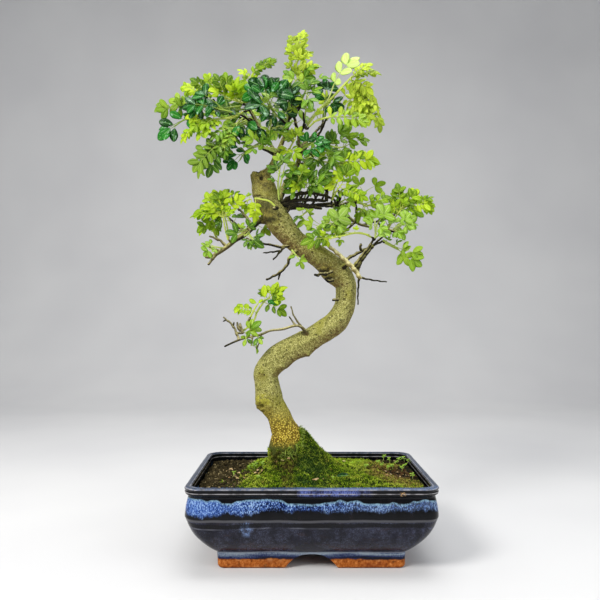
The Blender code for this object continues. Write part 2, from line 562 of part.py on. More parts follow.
def build_soil(collection, cutters):
    """The soil, hollowed under its foot where the drainage meshes lie."""
    angles = ground_angles()
    plan = ground_rings()
    rings = []
    for height in (TRUNK_FOOT - 0.002,):
        rings.append([Vector((x, y, height)) for x, y, _ in plan[0]])
    rings += [[Vector((x, y, soil_height(x, y))) for x, y, _ in ring] for ring in plan]
    for height in (0.060, 0.040, 0.0275, FLOOR_TOP + GAP):
        ring = []
        for angle in angles:
            reach = wall_reach(angle, height) - 2 * GAP
            x = TRUNK_X + reach * math.cos(angle)
            ring.append(Vector((x, reach * math.sin(angle), height + 0.0002)))
        rings.append(ring)
    points, faces = loft(rings)
    soil = mesh_object("soil", points, faces, collection)
    top = FLOOR_TOP + GAP + SHEET_THICK + GAP
    for side in (-1, 1):
        bpy.ops.mesh.primitive_cube_add(size=1, location=(side * DRAIN_X, 0, top - 0.005))
        recess = bpy.context.object
        recess.name = "mesh_recess_cutter"
        recess.scale = (SHEET_SIZE + 2 * GAP, SHEET_SIZE + 2 * GAP, 0.010)
        bpy.ops.object.transform_apply(location=True, rotation=False, scale=True)
        move_to(recess, cutters)
    boolean(soil, cutters, "DIFFERENCE")
    return soil


def build_moss(collection):
    plan = ground_rings()[: MOSS_RINGS + 1]
    lower = [[Vector((x, y, soil_height(x, y) + GAP)) for x, y, _ in ring] for ring in plan]
    upper = [
        [Vector((x, y, soil_height(x, y) + GAP + moss_thickness(x, y, share))) for x, y, share in ring]
        for ring in plan
    ]
    points, faces = loft(lower + upper[::-1], closed=True)
    return mesh_object("moss", points, faces, collection)


def build_drainage_meshes(collection, cutters):
    nodes = []
    middle = FLOOR_TOP + GAP + SHEET_THICK / 2
    for name, side in (("drainage_mesh_left", -1), ("drainage_mesh_right", 1)):
        bpy.ops.mesh.primitive_cube_add(size=1, location=(side * DRAIN_X, 0, middle))
        sheet = bpy.context.object
        sheet.name = name
        sheet.scale = (SHEET_SIZE, SHEET_SIZE, SHEET_THICK)
        bpy.ops.object.transform_apply(location=True, rotation=False, scale=True)
        move_to(sheet, collection)
        sheet.hide_render = False
        for i in (-0.5, 0.5):
            for j in (-0.5, 0.5):
                place = (side * DRAIN_X + i * SHEET_PITCH, j * SHEET_PITCH, middle)
                bpy.ops.mesh.primitive_cube_add(size=SHEET_HOLE, location=place)
                cutter = bpy.context.object
                cutter.name = "mesh_hole_cutter"
                move_to(cutter, cutters)
        boolean(sheet, cutters, "DIFFERENCE")
        nodes.append(sheet)
    return nodes


# Wood

def trunk_rings(sides=TRUNK_SIDES):
    """The trunk's rings from its buried foot to its cut top, with the knobs raised on them."""
    centres = [front(c, r, d) for c, r, d, _ in TRUNK]
    radii = [w * GRID for *_, w in TRUNK]
    base = centres[0]
    centres = [Vector((base.x, base.y, TRUNK_FOOT)), Vector((base.x, base.y, 0.1105))] + centres
    radii = [STUMP_RADIUS, STUMP_RADIUS] + radii
    rings = []
    side = Vector((1, 0, 0))
    for i, (centre, radius) in enumerate(zip(centres, radii)):
        before = centres[max(i - 1, 0)]
        after = centres[min(i + 1, len(centres) - 1)]
        along = (after - before).normalized()
        side = (side - along * side.dot(along)).normalized()
        other = along.cross(side)
        ring = []
        for j in range(sides):
            angle = 2 * math.pi * j / sides
            out = side * math.cos(angle) + other * math.sin(angle)
            rise = 1.0
            if i > 2:
                rise += 0.035 * math.sin(3 * angle + 0.31 * i) + 0.025 * math.sin(5 * angle - 0.7 * i)
            ring.append(centre + out * radius * rise + out * knob_rise(centre + out * radius, out))
        rings.append(ring)
    return rings


def knob_rise(point, out):
    rise = 0.0
    for column, row, (across, up), height, reach in KNOBS:
        middle = front(column, row)
        way = Vector((across, 0, up)).normalized()
        near = Vector((point.x - middle.x, 0, point.z - middle.z)).length
        facing = max(out.dot(way), 0) ** 3
        rise += height * MM * facing * math.exp(-((near / (reach * 1.5 * MM)) ** 2))
    return rise


def wood_points():
    """Points close together along the middle of all the wood, with the radius there in metres."""
    found = []
    lines = [[(c, r, d, w * GRID / MM) for c, r, d, w in TRUNK], *BRANCHES.values()]
    for line in lines:
        for a, b in zip(line, line[1:]):
            for i in range(7):
                share = i / 6
                mixed = [p + (q - p) * share for p, q in zip(a, b)]
                found.append((front(*mixed[:3]), mixed[3] * MM, mixed))
    return found


def spur_path(name, shoot):
    """The short woody spur that carries a shoot: from inside the branch to just short of the shoot."""
    start = front(*shoot[0])
    along = (front(*shoot[1]) - start).normalized()
    wanted = SPUR_FROM.get(name)
    best = None
    for point, radius, (column, row, *_) in wood_points():
        if wanted:
            cost = math.hypot(column - wanted[0], row - wanted[1]) + 0.02 * (point - start).length / MM
        else:
            cost = (point - start).length / MM
        if best is None or cost < best[0]:
            best = (cost, point, radius)
    root, radius = best[1], best[2]
    reach = (start - root).length
    end = start - along * GAP
    bend = start - along * min(0.004, 0.45 * reach)
    thick = min(max(radius / MM * 0.7, 1.0), 2.0)
    if (start - root).normalized().dot(along) > 0.97:
        return [root, end], [thick, 1.0]
    return [root, bend, end], [thick, 1.15, 1.0]


def build_trunk(collection, joined):
    points, faces = loft(trunk_rings())
    trunk = mesh_object("trunk", points, faces, collection)
    for name, line in BRANCHES.items():
        thick = max(step[3] for step in line) > 3.9
        thin = max(step[3] for step in line) < 1.75
        resolution = 2 if thick else 0 if thin else 1
        tube(name, [front(*step[:3]) for step in line], [step[3] for step in line], resolution, joined)
    for name, (_, shoot, _) in SPRAYS.items():
        path, radii = spur_path(name, shoot)
        tube(name + "_spur", path, radii, 0, joined)
    wood = [bvh_of(obj) for obj in [trunk, *joined.objects]]
    boolean(trunk, joined, "UNION", "MANIFOLD")
    keep_largest(trunk)
    return trunk, wood


# Leaves

def bvh_of(obj):
    points = [v.co[:] for v in obj.data.vertices]
    return obj.name, BVHTree.FromPolygons(points, [p.vertices[:] for p in obj.data.polygons])


def leaf_shape(base, tip, up, pairs, leaflet, grow=0.0, blunt=True):
    """A pinnate leaf's points and faces: a thin blade cut to its rib, thickest along rib and midribs."""
    length = (tip - base).length
    size = min(leaflet * LEAFLET_SCALE * MM, 0.62 * length)
    chord = (tip - base).normalized()
    up = (up - chord * up.dot(chord)).normalized()
    arch = 0.10 * length

    def rib(t):
        return base + (tip - base) * t + up * arch * 4 * t * (1 - t)

    def frame(t):
        along = (rib(t + 0.01) - rib(t - 0.01)).normalized()
        above = (up - along * up.dot(along)).normalized()
        return along, above.cross(along), above

    last = 1 - 0.92 * size / length
    first = min(max(0.20, 0.006 / length), last)
    room = (last - first) * length / (0.52 * size)
    pairs = max(1, min(pairs, 1 + int(room)))
    spots = [first + (last - first) * i / max(pairs - 1, 1) for i in range(pairs)]
    if pairs == 1:
        spots = [last]
    half = 0.00055 + grow / 2
    thick = 0.00095 + grow
    points = []
    top = []
    under = {}

    def add(point):
        points.append(point)
        return len(points) - 1

    def inner(point, above, deep):
        index = add(point)
        under[index] = add(point - above * deep)
        return index

    def fan(middle, edge):
        for a, b in zip(edge, edge[1:]):
            top.append((middle, a, b))

    def leaflet_at(station, left, right, way, above, scale):
        """Adds one leaflet between two rim points of the rib, and gives its outline."""
        root = (points[left] + points[right]) / 2
        across = way.cross(above)
        if (points[right] - points[left]).dot(across) < 0:
            across = -across
        long = size * scale + grow
        wide = 0.62 * size * scale + grow
        if blunt:
            plan = ((0.46, -0.50), (0.95, -0.24), (0.97, 0.22), (0.50, 0.50))
        else:
            plan = ((0.44, -0.50), (1.0, 0.0), (0.44, 0.50))
        droop = -0.10 * size
        outline = [
            add(root + way * long * u + across * wide * v + above * (droop * u * u + 0.06 * size * abs(v)))
            for u, v in plan
        ]
        middle = inner(root + way * long * 0.5 + above * (0.0002 + droop * 0.2), above, thick)
        fan(middle, [left, *outline, right])
        top.append((middle, right, station))
        top.append((middle, station, left))
        return outline

    along, side, above = frame(0.02)
    middle = inner(rib(0.02) + above * 0.0003, above, thick + 0.0003)
    left = add(rib(0) + side * half)
    right = add(rib(0) - side * half)
    top.append((middle, right, left))
    for index, t in enumerate(spots):
        along, side, above = frame(t)
        here = rib(t)
        station = inner(here + above * 0.0003, above, thick + 0.0003)
        step = 0.0007
        ends = {}
        for sign, old in ((1, left), (-1, right)):
            low = add(here + side * sign * half - along * step)
            high = add(here + side * sign * half + along * step)
            top.append((middle, old, low))
            top.append((middle, low, station))
            lean = math.radians(66 - 14 * index / max(pairs - 1, 1))
            way = (along * math.cos(lean) + side * sign * math.sin(lean)).normalized()
            scale = 0.78 + 0.17 * (index + 1) / pairs
            leaflet_at(station, low, high, way, above, scale)
            ends[sign] = high
        middle, left, right = station, ends[1], ends[-1]
    along, side, above = frame(spots[-1])
    way = (tip - (points[left] + points[right]) / 2).normalized()
    leaflet_at(middle, left, right, way, above, 0.97)
    faces = list(top)
    faces += [tuple(under.get(i, i) for i in reversed(face)) for face in top]
    return points, faces


def shoot_points(shoot):
    found = []
    for a, b in zip(shoot, shoot[1:]):
        for i in range(11):
            found.append([p + (q - p) * i / 10 for p, q in zip(a, b)])
    return found


def leaf_tries():
    """Changes tried in turn until a leaf clears its neighbours: depth in mm, twist in degrees, size."""
    tries = [(0, 0, 1.0)]
    for size in (1.0, 0.86, 0.72):
        for depth in (5, -5, 10, -10, 15, -15, 22, -22, 30, -30):
            for twist in (0, 35, -35):
                tries.append((depth, twist, size))
    return tries


def place_leaves(wood):
    """Every leaf of every shoot, turned or moved in depth until it crosses no other node."""
    draw = random.Random(LEAF_SEED)
    tries = leaf_tries()
    placed = [("wood", tree) for _, tree in wood]
    for name, (_, shoot, _) in SPRAYS.items():
        points, faces = shoot_shape(shoot, 0.6)
        placed.append((name, BVHTree.FromPolygons(points, faces)))
    result = {name: [] for name in SPRAYS}
    for name, (colour, shoot, leaves) in SPRAYS.items():
        stem = shoot_points(shoot)
        for column, row, tip_column, tip_row, tip_depth, pairs, leaflet in leaves:
            root = min(stem[3:], key=lambda step: math.hypot(step[0] - column, step[1] - row))
            base = front(*root)
            facing = 0.9 if tip_depth > 27 else -0.9
            roll = draw.uniform(-22, 22)
            lift = draw.uniform(0.15, 0.8)
            drift = draw.uniform(-4, 4)
            for depth, twist, size in tries:
                tip = front(tip_column, tip_row, tip_depth + drift + depth)
                tip = base + (tip - base) * (1 if size == 1 else size ** 0.5)
                way = (tip - base).normalized()
                up = Matrix.Rotation(math.radians(roll + twist), 3, way) @ Vector((0, facing, lift))
                fat, faces = leaf_shape(base, tip, up, pairs, leaflet * size, 0.0009, colour in BLUNT)
                trial = BVHTree.FromPolygons(fat, faces)
                if not any(other != name and trial.overlap(tree) for other, tree in placed):
                    placed.append((name, trial))
                    result[name].append((base, tip, up, pairs, leaflet * size, colour in BLUNT))
                    break
            else:
                print("no room for a leaf of", name, tip_column, tip_row)
    return result


def shoot_shape(shoot, grow=0.0, sides=6):
    """A slim round stem along the shoot, as points and faces."""
    centres = [front(*step) for step in shoot]
    rings = []
    side = Vector((0.3, 1, 0.2))
    for i, centre in enumerate(centres):
        along = (centres[min(i + 1, len(centres) - 1)] - centres[max(i - 1, 0)]).normalized()
        side = (side - along * side.dot(along)).normalized()
        other = along.cross(side)
        radius = (SHOOT_RADIUS * (1 - 0.25 * i / (len(centres) - 1)) + grow) * MM
        turns = [2 * math.pi * j / sides for j in range(sides)]
        rings.append([centre + (side * math.cos(turn) + other * math.sin(turn)) * radius for turn in turns])
    return loft(rings)


def build_sprays(collection, joined, wood):
    layout = place_leaves(wood)
    made = {}
    for name, (colour, shoot, _) in SPRAYS.items():
        steps = len(shoot) - 1
        radii = [SHOOT_RADIUS * (1 - 0.25 * i / steps) for i in range(steps + 1)]
        node = tube(name, [front(*step) for step in shoot], radii, 0, collection)
        for index, (base, tip, up, pairs, leaflet, blunt) in enumerate(layout[name]):
            points, faces = leaf_shape(base, tip, up, pairs, leaflet, 0.0, blunt)
            mesh_object(f"{name}_leaf_{index}", points, faces, joined)
        boolean(node, joined, "UNION", "MANIFOLD")
        keep_largest(node)
        made[name] = node
    return made


def main():
    clear_scene()
    tree = new_collection("chinese_pepper_bonsai")
    cutters = new_collection("cutters", hidden=True)
    joined = new_collection("joined_repeats", hidden=True)

    pot = build_pot(tree, cutters)
    soil = build_soil(tree, cutters)
    moss = build_moss(tree)
    meshes = build_drainage_meshes(tree, cutters)
    trunk, wood = build_trunk(tree, joined)
    sprays = build_sprays(tree, joined, wood)

    pot.data.materials.clear()
    pot.data.materials.append(material("glaze", (0.018, 0.030, 0.085, 1), 0.18, coat=0.6))
    soil.data.materials.append(material("soil", (0.075, 0.045, 0.025, 1), 0.95))
    moss.data.materials.append(material("moss", (0.11, 0.24, 0.02, 1), 0.9))
    plastic = material("black_plastic", (0.02, 0.02, 0.02, 1), 0.5)
    for sheet in meshes:
        sheet.data.materials.append(plastic)
    trunk.data.materials.clear()
    trunk.data.materials.append(material("bark", (0.30, 0.25, 0.11, 1), 0.85))
    leaf = {name: material("leaf_" + name, colour, 0.45) for name, colour in LEAF_COLOURS.items()}
    for name, node in sprays.items():
        node.data.materials.clear()
        node.data.materials.append(leaf[SPRAYS[name][0]])
    for obj in tree.objects:
        obj.data.transform(obj.matrix_world)
        obj.matrix_world = Matrix.Identity(4)
        obj.data.transform(Matrix.Translation((POT_X, 0, 0)))


main()
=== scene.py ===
"""The looks of a Chinese pepper bonsai: leaves, bark, moss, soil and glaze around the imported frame."""

import json
import math
import random

import bmesh
import bpy
import numpy as np
from mathutils import Matrix, Vector, noise
from mathutils.bvhtree import BVHTree
from mathutils.kdtree import KDTree

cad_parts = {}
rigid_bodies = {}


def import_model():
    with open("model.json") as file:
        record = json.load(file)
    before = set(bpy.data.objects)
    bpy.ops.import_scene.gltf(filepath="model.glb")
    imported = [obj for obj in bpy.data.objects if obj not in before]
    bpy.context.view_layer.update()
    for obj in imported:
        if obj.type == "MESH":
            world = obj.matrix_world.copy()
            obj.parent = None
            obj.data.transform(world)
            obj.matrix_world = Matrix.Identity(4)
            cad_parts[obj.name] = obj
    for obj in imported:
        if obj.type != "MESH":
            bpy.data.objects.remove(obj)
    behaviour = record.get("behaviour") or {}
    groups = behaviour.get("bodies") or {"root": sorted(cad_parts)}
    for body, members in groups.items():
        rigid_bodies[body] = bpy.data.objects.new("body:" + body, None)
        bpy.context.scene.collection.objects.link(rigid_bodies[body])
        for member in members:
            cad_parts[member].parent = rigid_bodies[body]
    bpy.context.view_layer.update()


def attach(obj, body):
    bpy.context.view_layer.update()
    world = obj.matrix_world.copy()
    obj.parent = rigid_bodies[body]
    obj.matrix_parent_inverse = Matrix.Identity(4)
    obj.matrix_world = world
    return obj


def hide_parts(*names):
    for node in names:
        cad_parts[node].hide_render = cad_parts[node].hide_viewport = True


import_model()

MM = 0.001

# Front view grid: the tree is laid out in columns and rows of a 600-unit square, seen level from
# a point EYE metres in front of the pot's middle and 0.25 m above its foot.
EYE = 0.715
GRID = 1 / 873
GRID_COLUMN = 297
GRID_ROW = 328
GRID_X = -0.015
GRID_Z = 0.25

# The share that each mm of depth adds to the depth, in front of the pot's middle and behind it
SPREAD_FRONT = 0.036
SPREAD_BACK = 0.008

# Pot: sizes in metres, and the shares of a level's inset by which its width and its corners shrink
POT_LENGTH = 0.260
POT_WIDTH = 0.190
POT_CORNER = 0.017
CORNER_LEAST = 0.006
CORNER_LOSS = 0.4
WIDTH_INSET = 0.88
CORNER_STEPS = 3
FLOOR_TOP = 0.0225
DRAIN_X = 0.055
DRAIN_RADIUS = 0.008
SHEET_SIZE = 0.030
SHEET_THICK = 0.0010
ARCH_BOTTOM = 0.056
ARCH_HEIGHT = 0.0152

# Half length lost from the widest line and height, in mm, from the rim's inner lip down the outside
POT_OUTSIDE = (
    (5.6, 89.6), (4.4, 90.0), (2.2, 90.0), (0.7, 89.2), (0.0, 87.8), (0.7, 86.2), (0.3, 84.6),
    (0.9, 82.4), (3.0, 80.4), (3.2, 78.6), (1.4, 70.0), (0.3, 60.4), (1.3, 56.6),
    (4.6, 47.6), (9.4, 38.8), (16.6, 30.0), (24.6, 22.4), (30.4, 17.6), (31.2, 15.8),
    (31.8, 9.0), (32.2, 2.4), (34.2, 0.0),
)
POT_UNDER = ((40.0, 0.0), (41.5, 1.6), (42.0, 14.5))
POT_INSIDE = ((36.0, 22.5), (24.0, 27.5), (14.5, 40.0), (9.4, 60.0), (7.6, 87.6))

# The whole object is shifted so that its box is centred over the origin.
POT_X = 0.0186

# Ground and trunk foot, in metres
GAP = 0.0003
TRUNK_FOOT = 0.052
STUMP_TOP = 0.1105
HOLE_RADIUS = 0.0208
STUMP_RADIUS = 0.0198
SOIL_LEVEL = 0.0795
SOIL_WAVE = 0.0006
RISE_RIGHT = 0.0030
MOSS_EDGE = 0.0016
MOSS_BASE = 0.0018
MOSS_LUMP = 0.0030
MOSS_FINE = 0.0010

# The soil's mounds round the trunk: height and reach, how far to the right their middle lies, and the
# factors by which they are shorter to the left, and to the front and back
MOUNDS = ((0.0225, 0.040), (0.006, 0.085))
MOUND_RIGHT = 0.004
MOUND_LEFT_LOSS = 1.25
MOUND_DEEP_LOSS = 1.15

# How far out the moss grows, as shares of the way to the wall, and where it grows less far: direction and
# width as angles, share lost
MOSS_WIDE = 0.985
MOSS_WAVE = 0.03
BARE_WAYS = ((2.62, 0.42, 0.60), (0.12, 0.10, 0.10))

# The steps in which the wood's and the shoots' lines are searched, and a first side for sweeps
WOOD_STEPS = 6
SHOOT_STEPS = 10
FIRST_SIDE = Vector((0.3, 1, 0.2))

# Spurs: where they bend, in metres and as a share of their length, their thickness at the wood as a share
# of the wood's, its limits and the thickness at the bend in mm, the cosine from which they stay straight,
# and how much their length counts in the choice of the wood
SPUR_BEND = 0.004
SPUR_BEND_SHARE = 0.45
SPUR_SHARE = 0.7
SPUR_THIN = 1.0
SPUR_THICK = 2.0
SPUR_MIDDLE = 1.15
SPUR_STRAIGHT = 0.97
SPUR_LENGTH_COST = 0.02

# Foliage: a shoot's radius in mm and the share that it loses to its end, the seed for placing the leaves,
# a leaflet's length beside the table's, and its limit as a share of the leaf's
SHOOT_RADIUS = 0.9
SHOOT_TAPER = 0.25
SHOOT_SIDES = 6
LEAF_SEED = 11
LEAFLET_SCALE = 1.2
LONGEST_LEAFLET = 0.62

# Placing: the room kept round shoots in mm and round leaves in metres, the depth from which leaves face
# back, how far they face front or back, and the ranges of their roll in degrees, lift and drift in mm
SHOOT_ROOM = 0.6
LEAF_ROOM = 0.0009
BACK_DEPTH = 27
FACING = 0.9
ROLL = 22
LIFT = (0.15, 0.8)
DRIFT = 4

# What is tried in turn where a leaf crosses something: sizes, depths in mm and twists in degrees
TRY_SIZES = (1.0, 0.86, 0.72)
TRY_DEPTHS = (5, -5, 10, -10, 15, -15, 22, -22, 30, -30)
TRY_TWISTS = (0, 35, -35)

# A leaf's rib: its arch, stalk, end leaflet and step from pair to pair, as shares of its length or of a
# leaflet's, and its size in metres
RIB_ARCH = 0.10
STALK_SHARE = 0.20
END_LEAFLET = 0.92
LEAFLET_STEP = 0.52
STALK_LEAST = 0.006
RIB_HALF = 0.00055
RIB_THICK = 0.00095
RIB_GAP = 0.0007
RIB_RISE = 0.0003

# How a leaf's leaflets grow to its tip, and lean away from the rib in degrees
LEAFLET_LEAST = 0.78
LEAFLET_GROWTH = 0.17
END_SCALE = 0.97
LEAN = 66
LEAN_LOSS = 14

# A packed leaflet's width, droop and fold as shares of its size, and its outline
LEAFLET_WIDE = 0.62
LEAFLET_DROOP = 0.10
LEAFLET_FOLD = 0.06
BLUNT_PLAN = ((0.46, -0.50), (0.95, -0.24), (0.97, 0.22), (0.50, 0.50))
POINTED_PLAN = ((0.44, -0.50), (1.0, 0.0), (0.44, 0.50))

# Trunk centre line: column, row, depth in mm, half width in grid units
TRUNK = (
    (286.0, 447.0, 0, 17.3), (286.0, 434.0, 0, 14.6), (283.5, 427.5, 0, 13.2),
    (277.5, 413.0, 0, 11.4), (272.0, 404.6, 0, 12.0), (269.0, 396.0, 0, 12.8),
    (266.2, 380.0, 0, 11.7), (266.5, 371.5, 0, 12.3),
    (274.5, 360.5, 1, 12.3), (281.5, 355.0, 2, 12.4), (297.0, 346.5, 3, 11.7),
    (309.0, 340.0, 4, 11.0), (331.0, 326.5, 5, 11.5), (338.5, 318.5, 5, 11.2),
    (343.0, 310.5, 6, 10.7), (345.3, 303.0, 6, 10.2), (346.2, 287.0, 5, 10.3),
    (343.0, 279.0, 4, 10.6), (336.5, 271.5, 3, 10.7), (327.5, 263.0, 2, 11.0),
    (307.0, 249.0, 0, 10.9), (296.0, 242.0, -1, 10.8), (287.5, 233.5, -3, 11.8), (281.0, 225.5, -4, 12.5),
    (275.2, 217.0, -4, 12.5), (266.2, 199.7, -3, 11.9), (263.8, 192.5, -2, 12.0),
    (261.0, 179.0, -2, 9.9), (259.8, 173.0, -2, 9.4),
)
TRUNK_SIDES = 12

# Knobs on the bark: column, row, direction from the centre line in the front view, rise and reach in mm,
# and how many times their reach they are spread
KNOB_SPREAD = 1.5
KNOBS = (
    (262, 404, (-1.0, 0.1), 4.6, 8), (330, 275, (-0.6, -1.0), 4.4, 8), (285, 366, (0.5, -1.0), 3.0, 6),
    (308, 352, (0.3, -1.0), 3.0, 6), (276, 216, (-1.0, 0.3), 3.4, 8), (341, 270, (0.8, 0.6), 3.0, 9),
    (338, 322, (0.9, -0.5), 1.8, 8), (262, 378, (-1.0, -0.3), 1.8, 8), (268, 190, (1.0, 0.5), 3.2, 9),
)

# Woody branches: column, row, depth in mm, radius in mm
BRANCHES = {
    "leader": ((264, 186, 0, 5.6), (268, 172, 0, 4.6), (272, 166, 0, 4.3), (275, 160, 1, 4.0),
               (277, 152, 2, 3.4)),
    "leader_left": ((277, 155, 2, 3.0), (268, 150, 0, 2.7), (262, 146, -1, 2.4), (259, 128, -2, 2.0),
                    (250, 111, -2, 1.6), (246, 106, -2, 1.2)),
    "leader_up": ((276, 157, 2, 3.2), (283, 140, 2, 2.5), (288, 125, 2, 2.0), (288, 110, 1, 1.6),
                  (286, 100, 0, 1.1)),
    "second": ((279, 199, -2, 4.2), (288, 180, -1, 3.4), (298, 163, 0, 2.6), (299, 136, -2, 2.0),
               (304.5, 125, -4, 1.3)),
    "second_right": ((298, 164, 0, 2.0), (304, 150, 5, 1.5), (320, 132, 8, 1.3), (324, 124, 9, 1.0)),
    "back_right": ((278, 208, 4, 3.6), (300, 207, 9, 2.7), (318, 205, 9, 2.2), (332, 203, 4, 1.5)),
    "left": ((272, 221, -3, 5.0), (260, 220.5, -6, 4.2), (254, 225, -7, 3.8), (245, 234, -7, 3.4),
             (235, 240, -7, 3.1), (228, 246, -6, 2.8), (213, 256, -5, 2.3), (205, 257, -5, 1.6)),
    "left_fork": ((216, 254, -5, 2.0), (208, 265, -7, 1.3)),
    "left_twig_up": ((252, 226, -6, 1.6), (246, 217, -4, 1.3), (240, 210, -2, 0.9)),
    "left_twig_out": ((226, 247, -6, 1.6), (221, 241, -6, 1.4), (209, 236, -7, 0.9)),
    "bare_a": ((294, 244, -4, 2.2), (282, 247, -10, 1.6), (272, 245, -13, 1.3), (261, 243, -15, 1.1),
               (246, 238, -17, 0.8)),
    "bare_b": ((284, 247, -9, 1.4), (280, 252, -14, 1.1), (273, 260, -16, 0.8)),
    "bare_c": ((280, 251, -13, 1.0), (263, 253, -19, 0.7)),
    "bare_d": ((298, 249, -5, 1.9), (290, 257, -10, 1.4), (287, 265, -10, 1.2), (279, 273, -11, 1.1),
               (266, 280, -12, 0.8)),
    "bare_d_nub": ((280, 272, -11, 1.0), (278.5, 280, -11, 0.8)),
    "bare_e": ((334, 270, -4, 1.7), (326, 274, -15, 1.2), (314, 274.5, -18, 0.8)),
    "pale": ((326, 244, -10, 1.5), (336, 252, -10, 2.1), (347, 262, -10, 2.5), (354, 269, -9, 2.6),
             (361, 279, -8, 2.1)),
    "pale_root": ((337, 271, 0, 4.6), (348, 263.5, -9, 2.6)),
    "right_stem": ((353, 268, -9, 2.1), (358, 261, -9, 1.8), (363, 254, -8, 1.6), (369, 247, -7, 1.5),
                   (373, 240, -6, 1.2)),
    "right_dark": ((345, 260, -9, 1.5), (361, 251.5, -5, 1.2), (372, 246, -1, 1.0), (383, 241, 2, 0.9)),
    "right_low": ((360, 277.5, -8, 1.1), (372, 280, -8, 0.9), (387, 282, -7, 0.7)),
    "right_hang": ((359, 278, -8, 1.1), (358, 292, -8, 0.9), (358, 305, -8, 0.7)),
    "dark_chain": ((331, 203, 4, 1.5), (344, 212, 4, 1.4), (352, 220, 5, 1.3), (362, 225, 5, 1.1),
                   (371, 227, 4, 0.9)),
    "dark_up": ((345, 231, 1, 0.8), (355, 221.5, 5, 1.2), (356.5, 213, 6, 1.1), (355.6, 204, 6, 0.9)),
    "low_left": ((312, 339, 0, 3.2), (302, 327.5, -9, 1.8), (295, 325.6, -9, 1.7), (283, 329, -9, 1.6),
                 (270.5, 330.6, -9, 1.5), (260, 334.7, -9, 1.5), (241.5, 339, -9, 1.4),
                 (224, 346.7, -9, 1.2)),
    "low_twig_a": ((302, 327.5, -9, 1.2), (294, 316, -10, 0.9), (291, 306, -10, 0.7)),
    "low_twig_b": ((295.5, 325.6, -9, 1.0), (289, 316.5, -8, 0.7)),
    "low_twig_c": ((239, 340, -9, 1.1), (233, 326, -8, 0.9), (223, 317, -8, 0.7)),
    "low_twig_d": ((261, 334.7, -9, 1.0), (257, 349, -10, 0.7)),
    "back_a": ((276, 157, 3, 2.4), (268, 140, 20, 1.8), (252, 128, 36, 1.2)),
    "back_b": ((298, 150, -1, 2.0), (312, 136, 20, 1.5), (326, 120, 36, 1.1)),
    "back_c": ((289, 178, -1, 2.4), (298, 176, 22, 1.9), (306, 168, 38, 1.2)),
    "back_d": ((318, 205, 9, 1.9), (335, 206, 24, 1.5), (352, 201, 38, 1.1)),
    "back_e": ((246, 233, -6, 1.9), (238, 226, 12, 1.4), (230, 219, 26, 1.0)),
    "back_f": ((362, 225, 5, 1.1), (378, 221, 18, 1.0), (393, 215, 28, 0.8)),
}

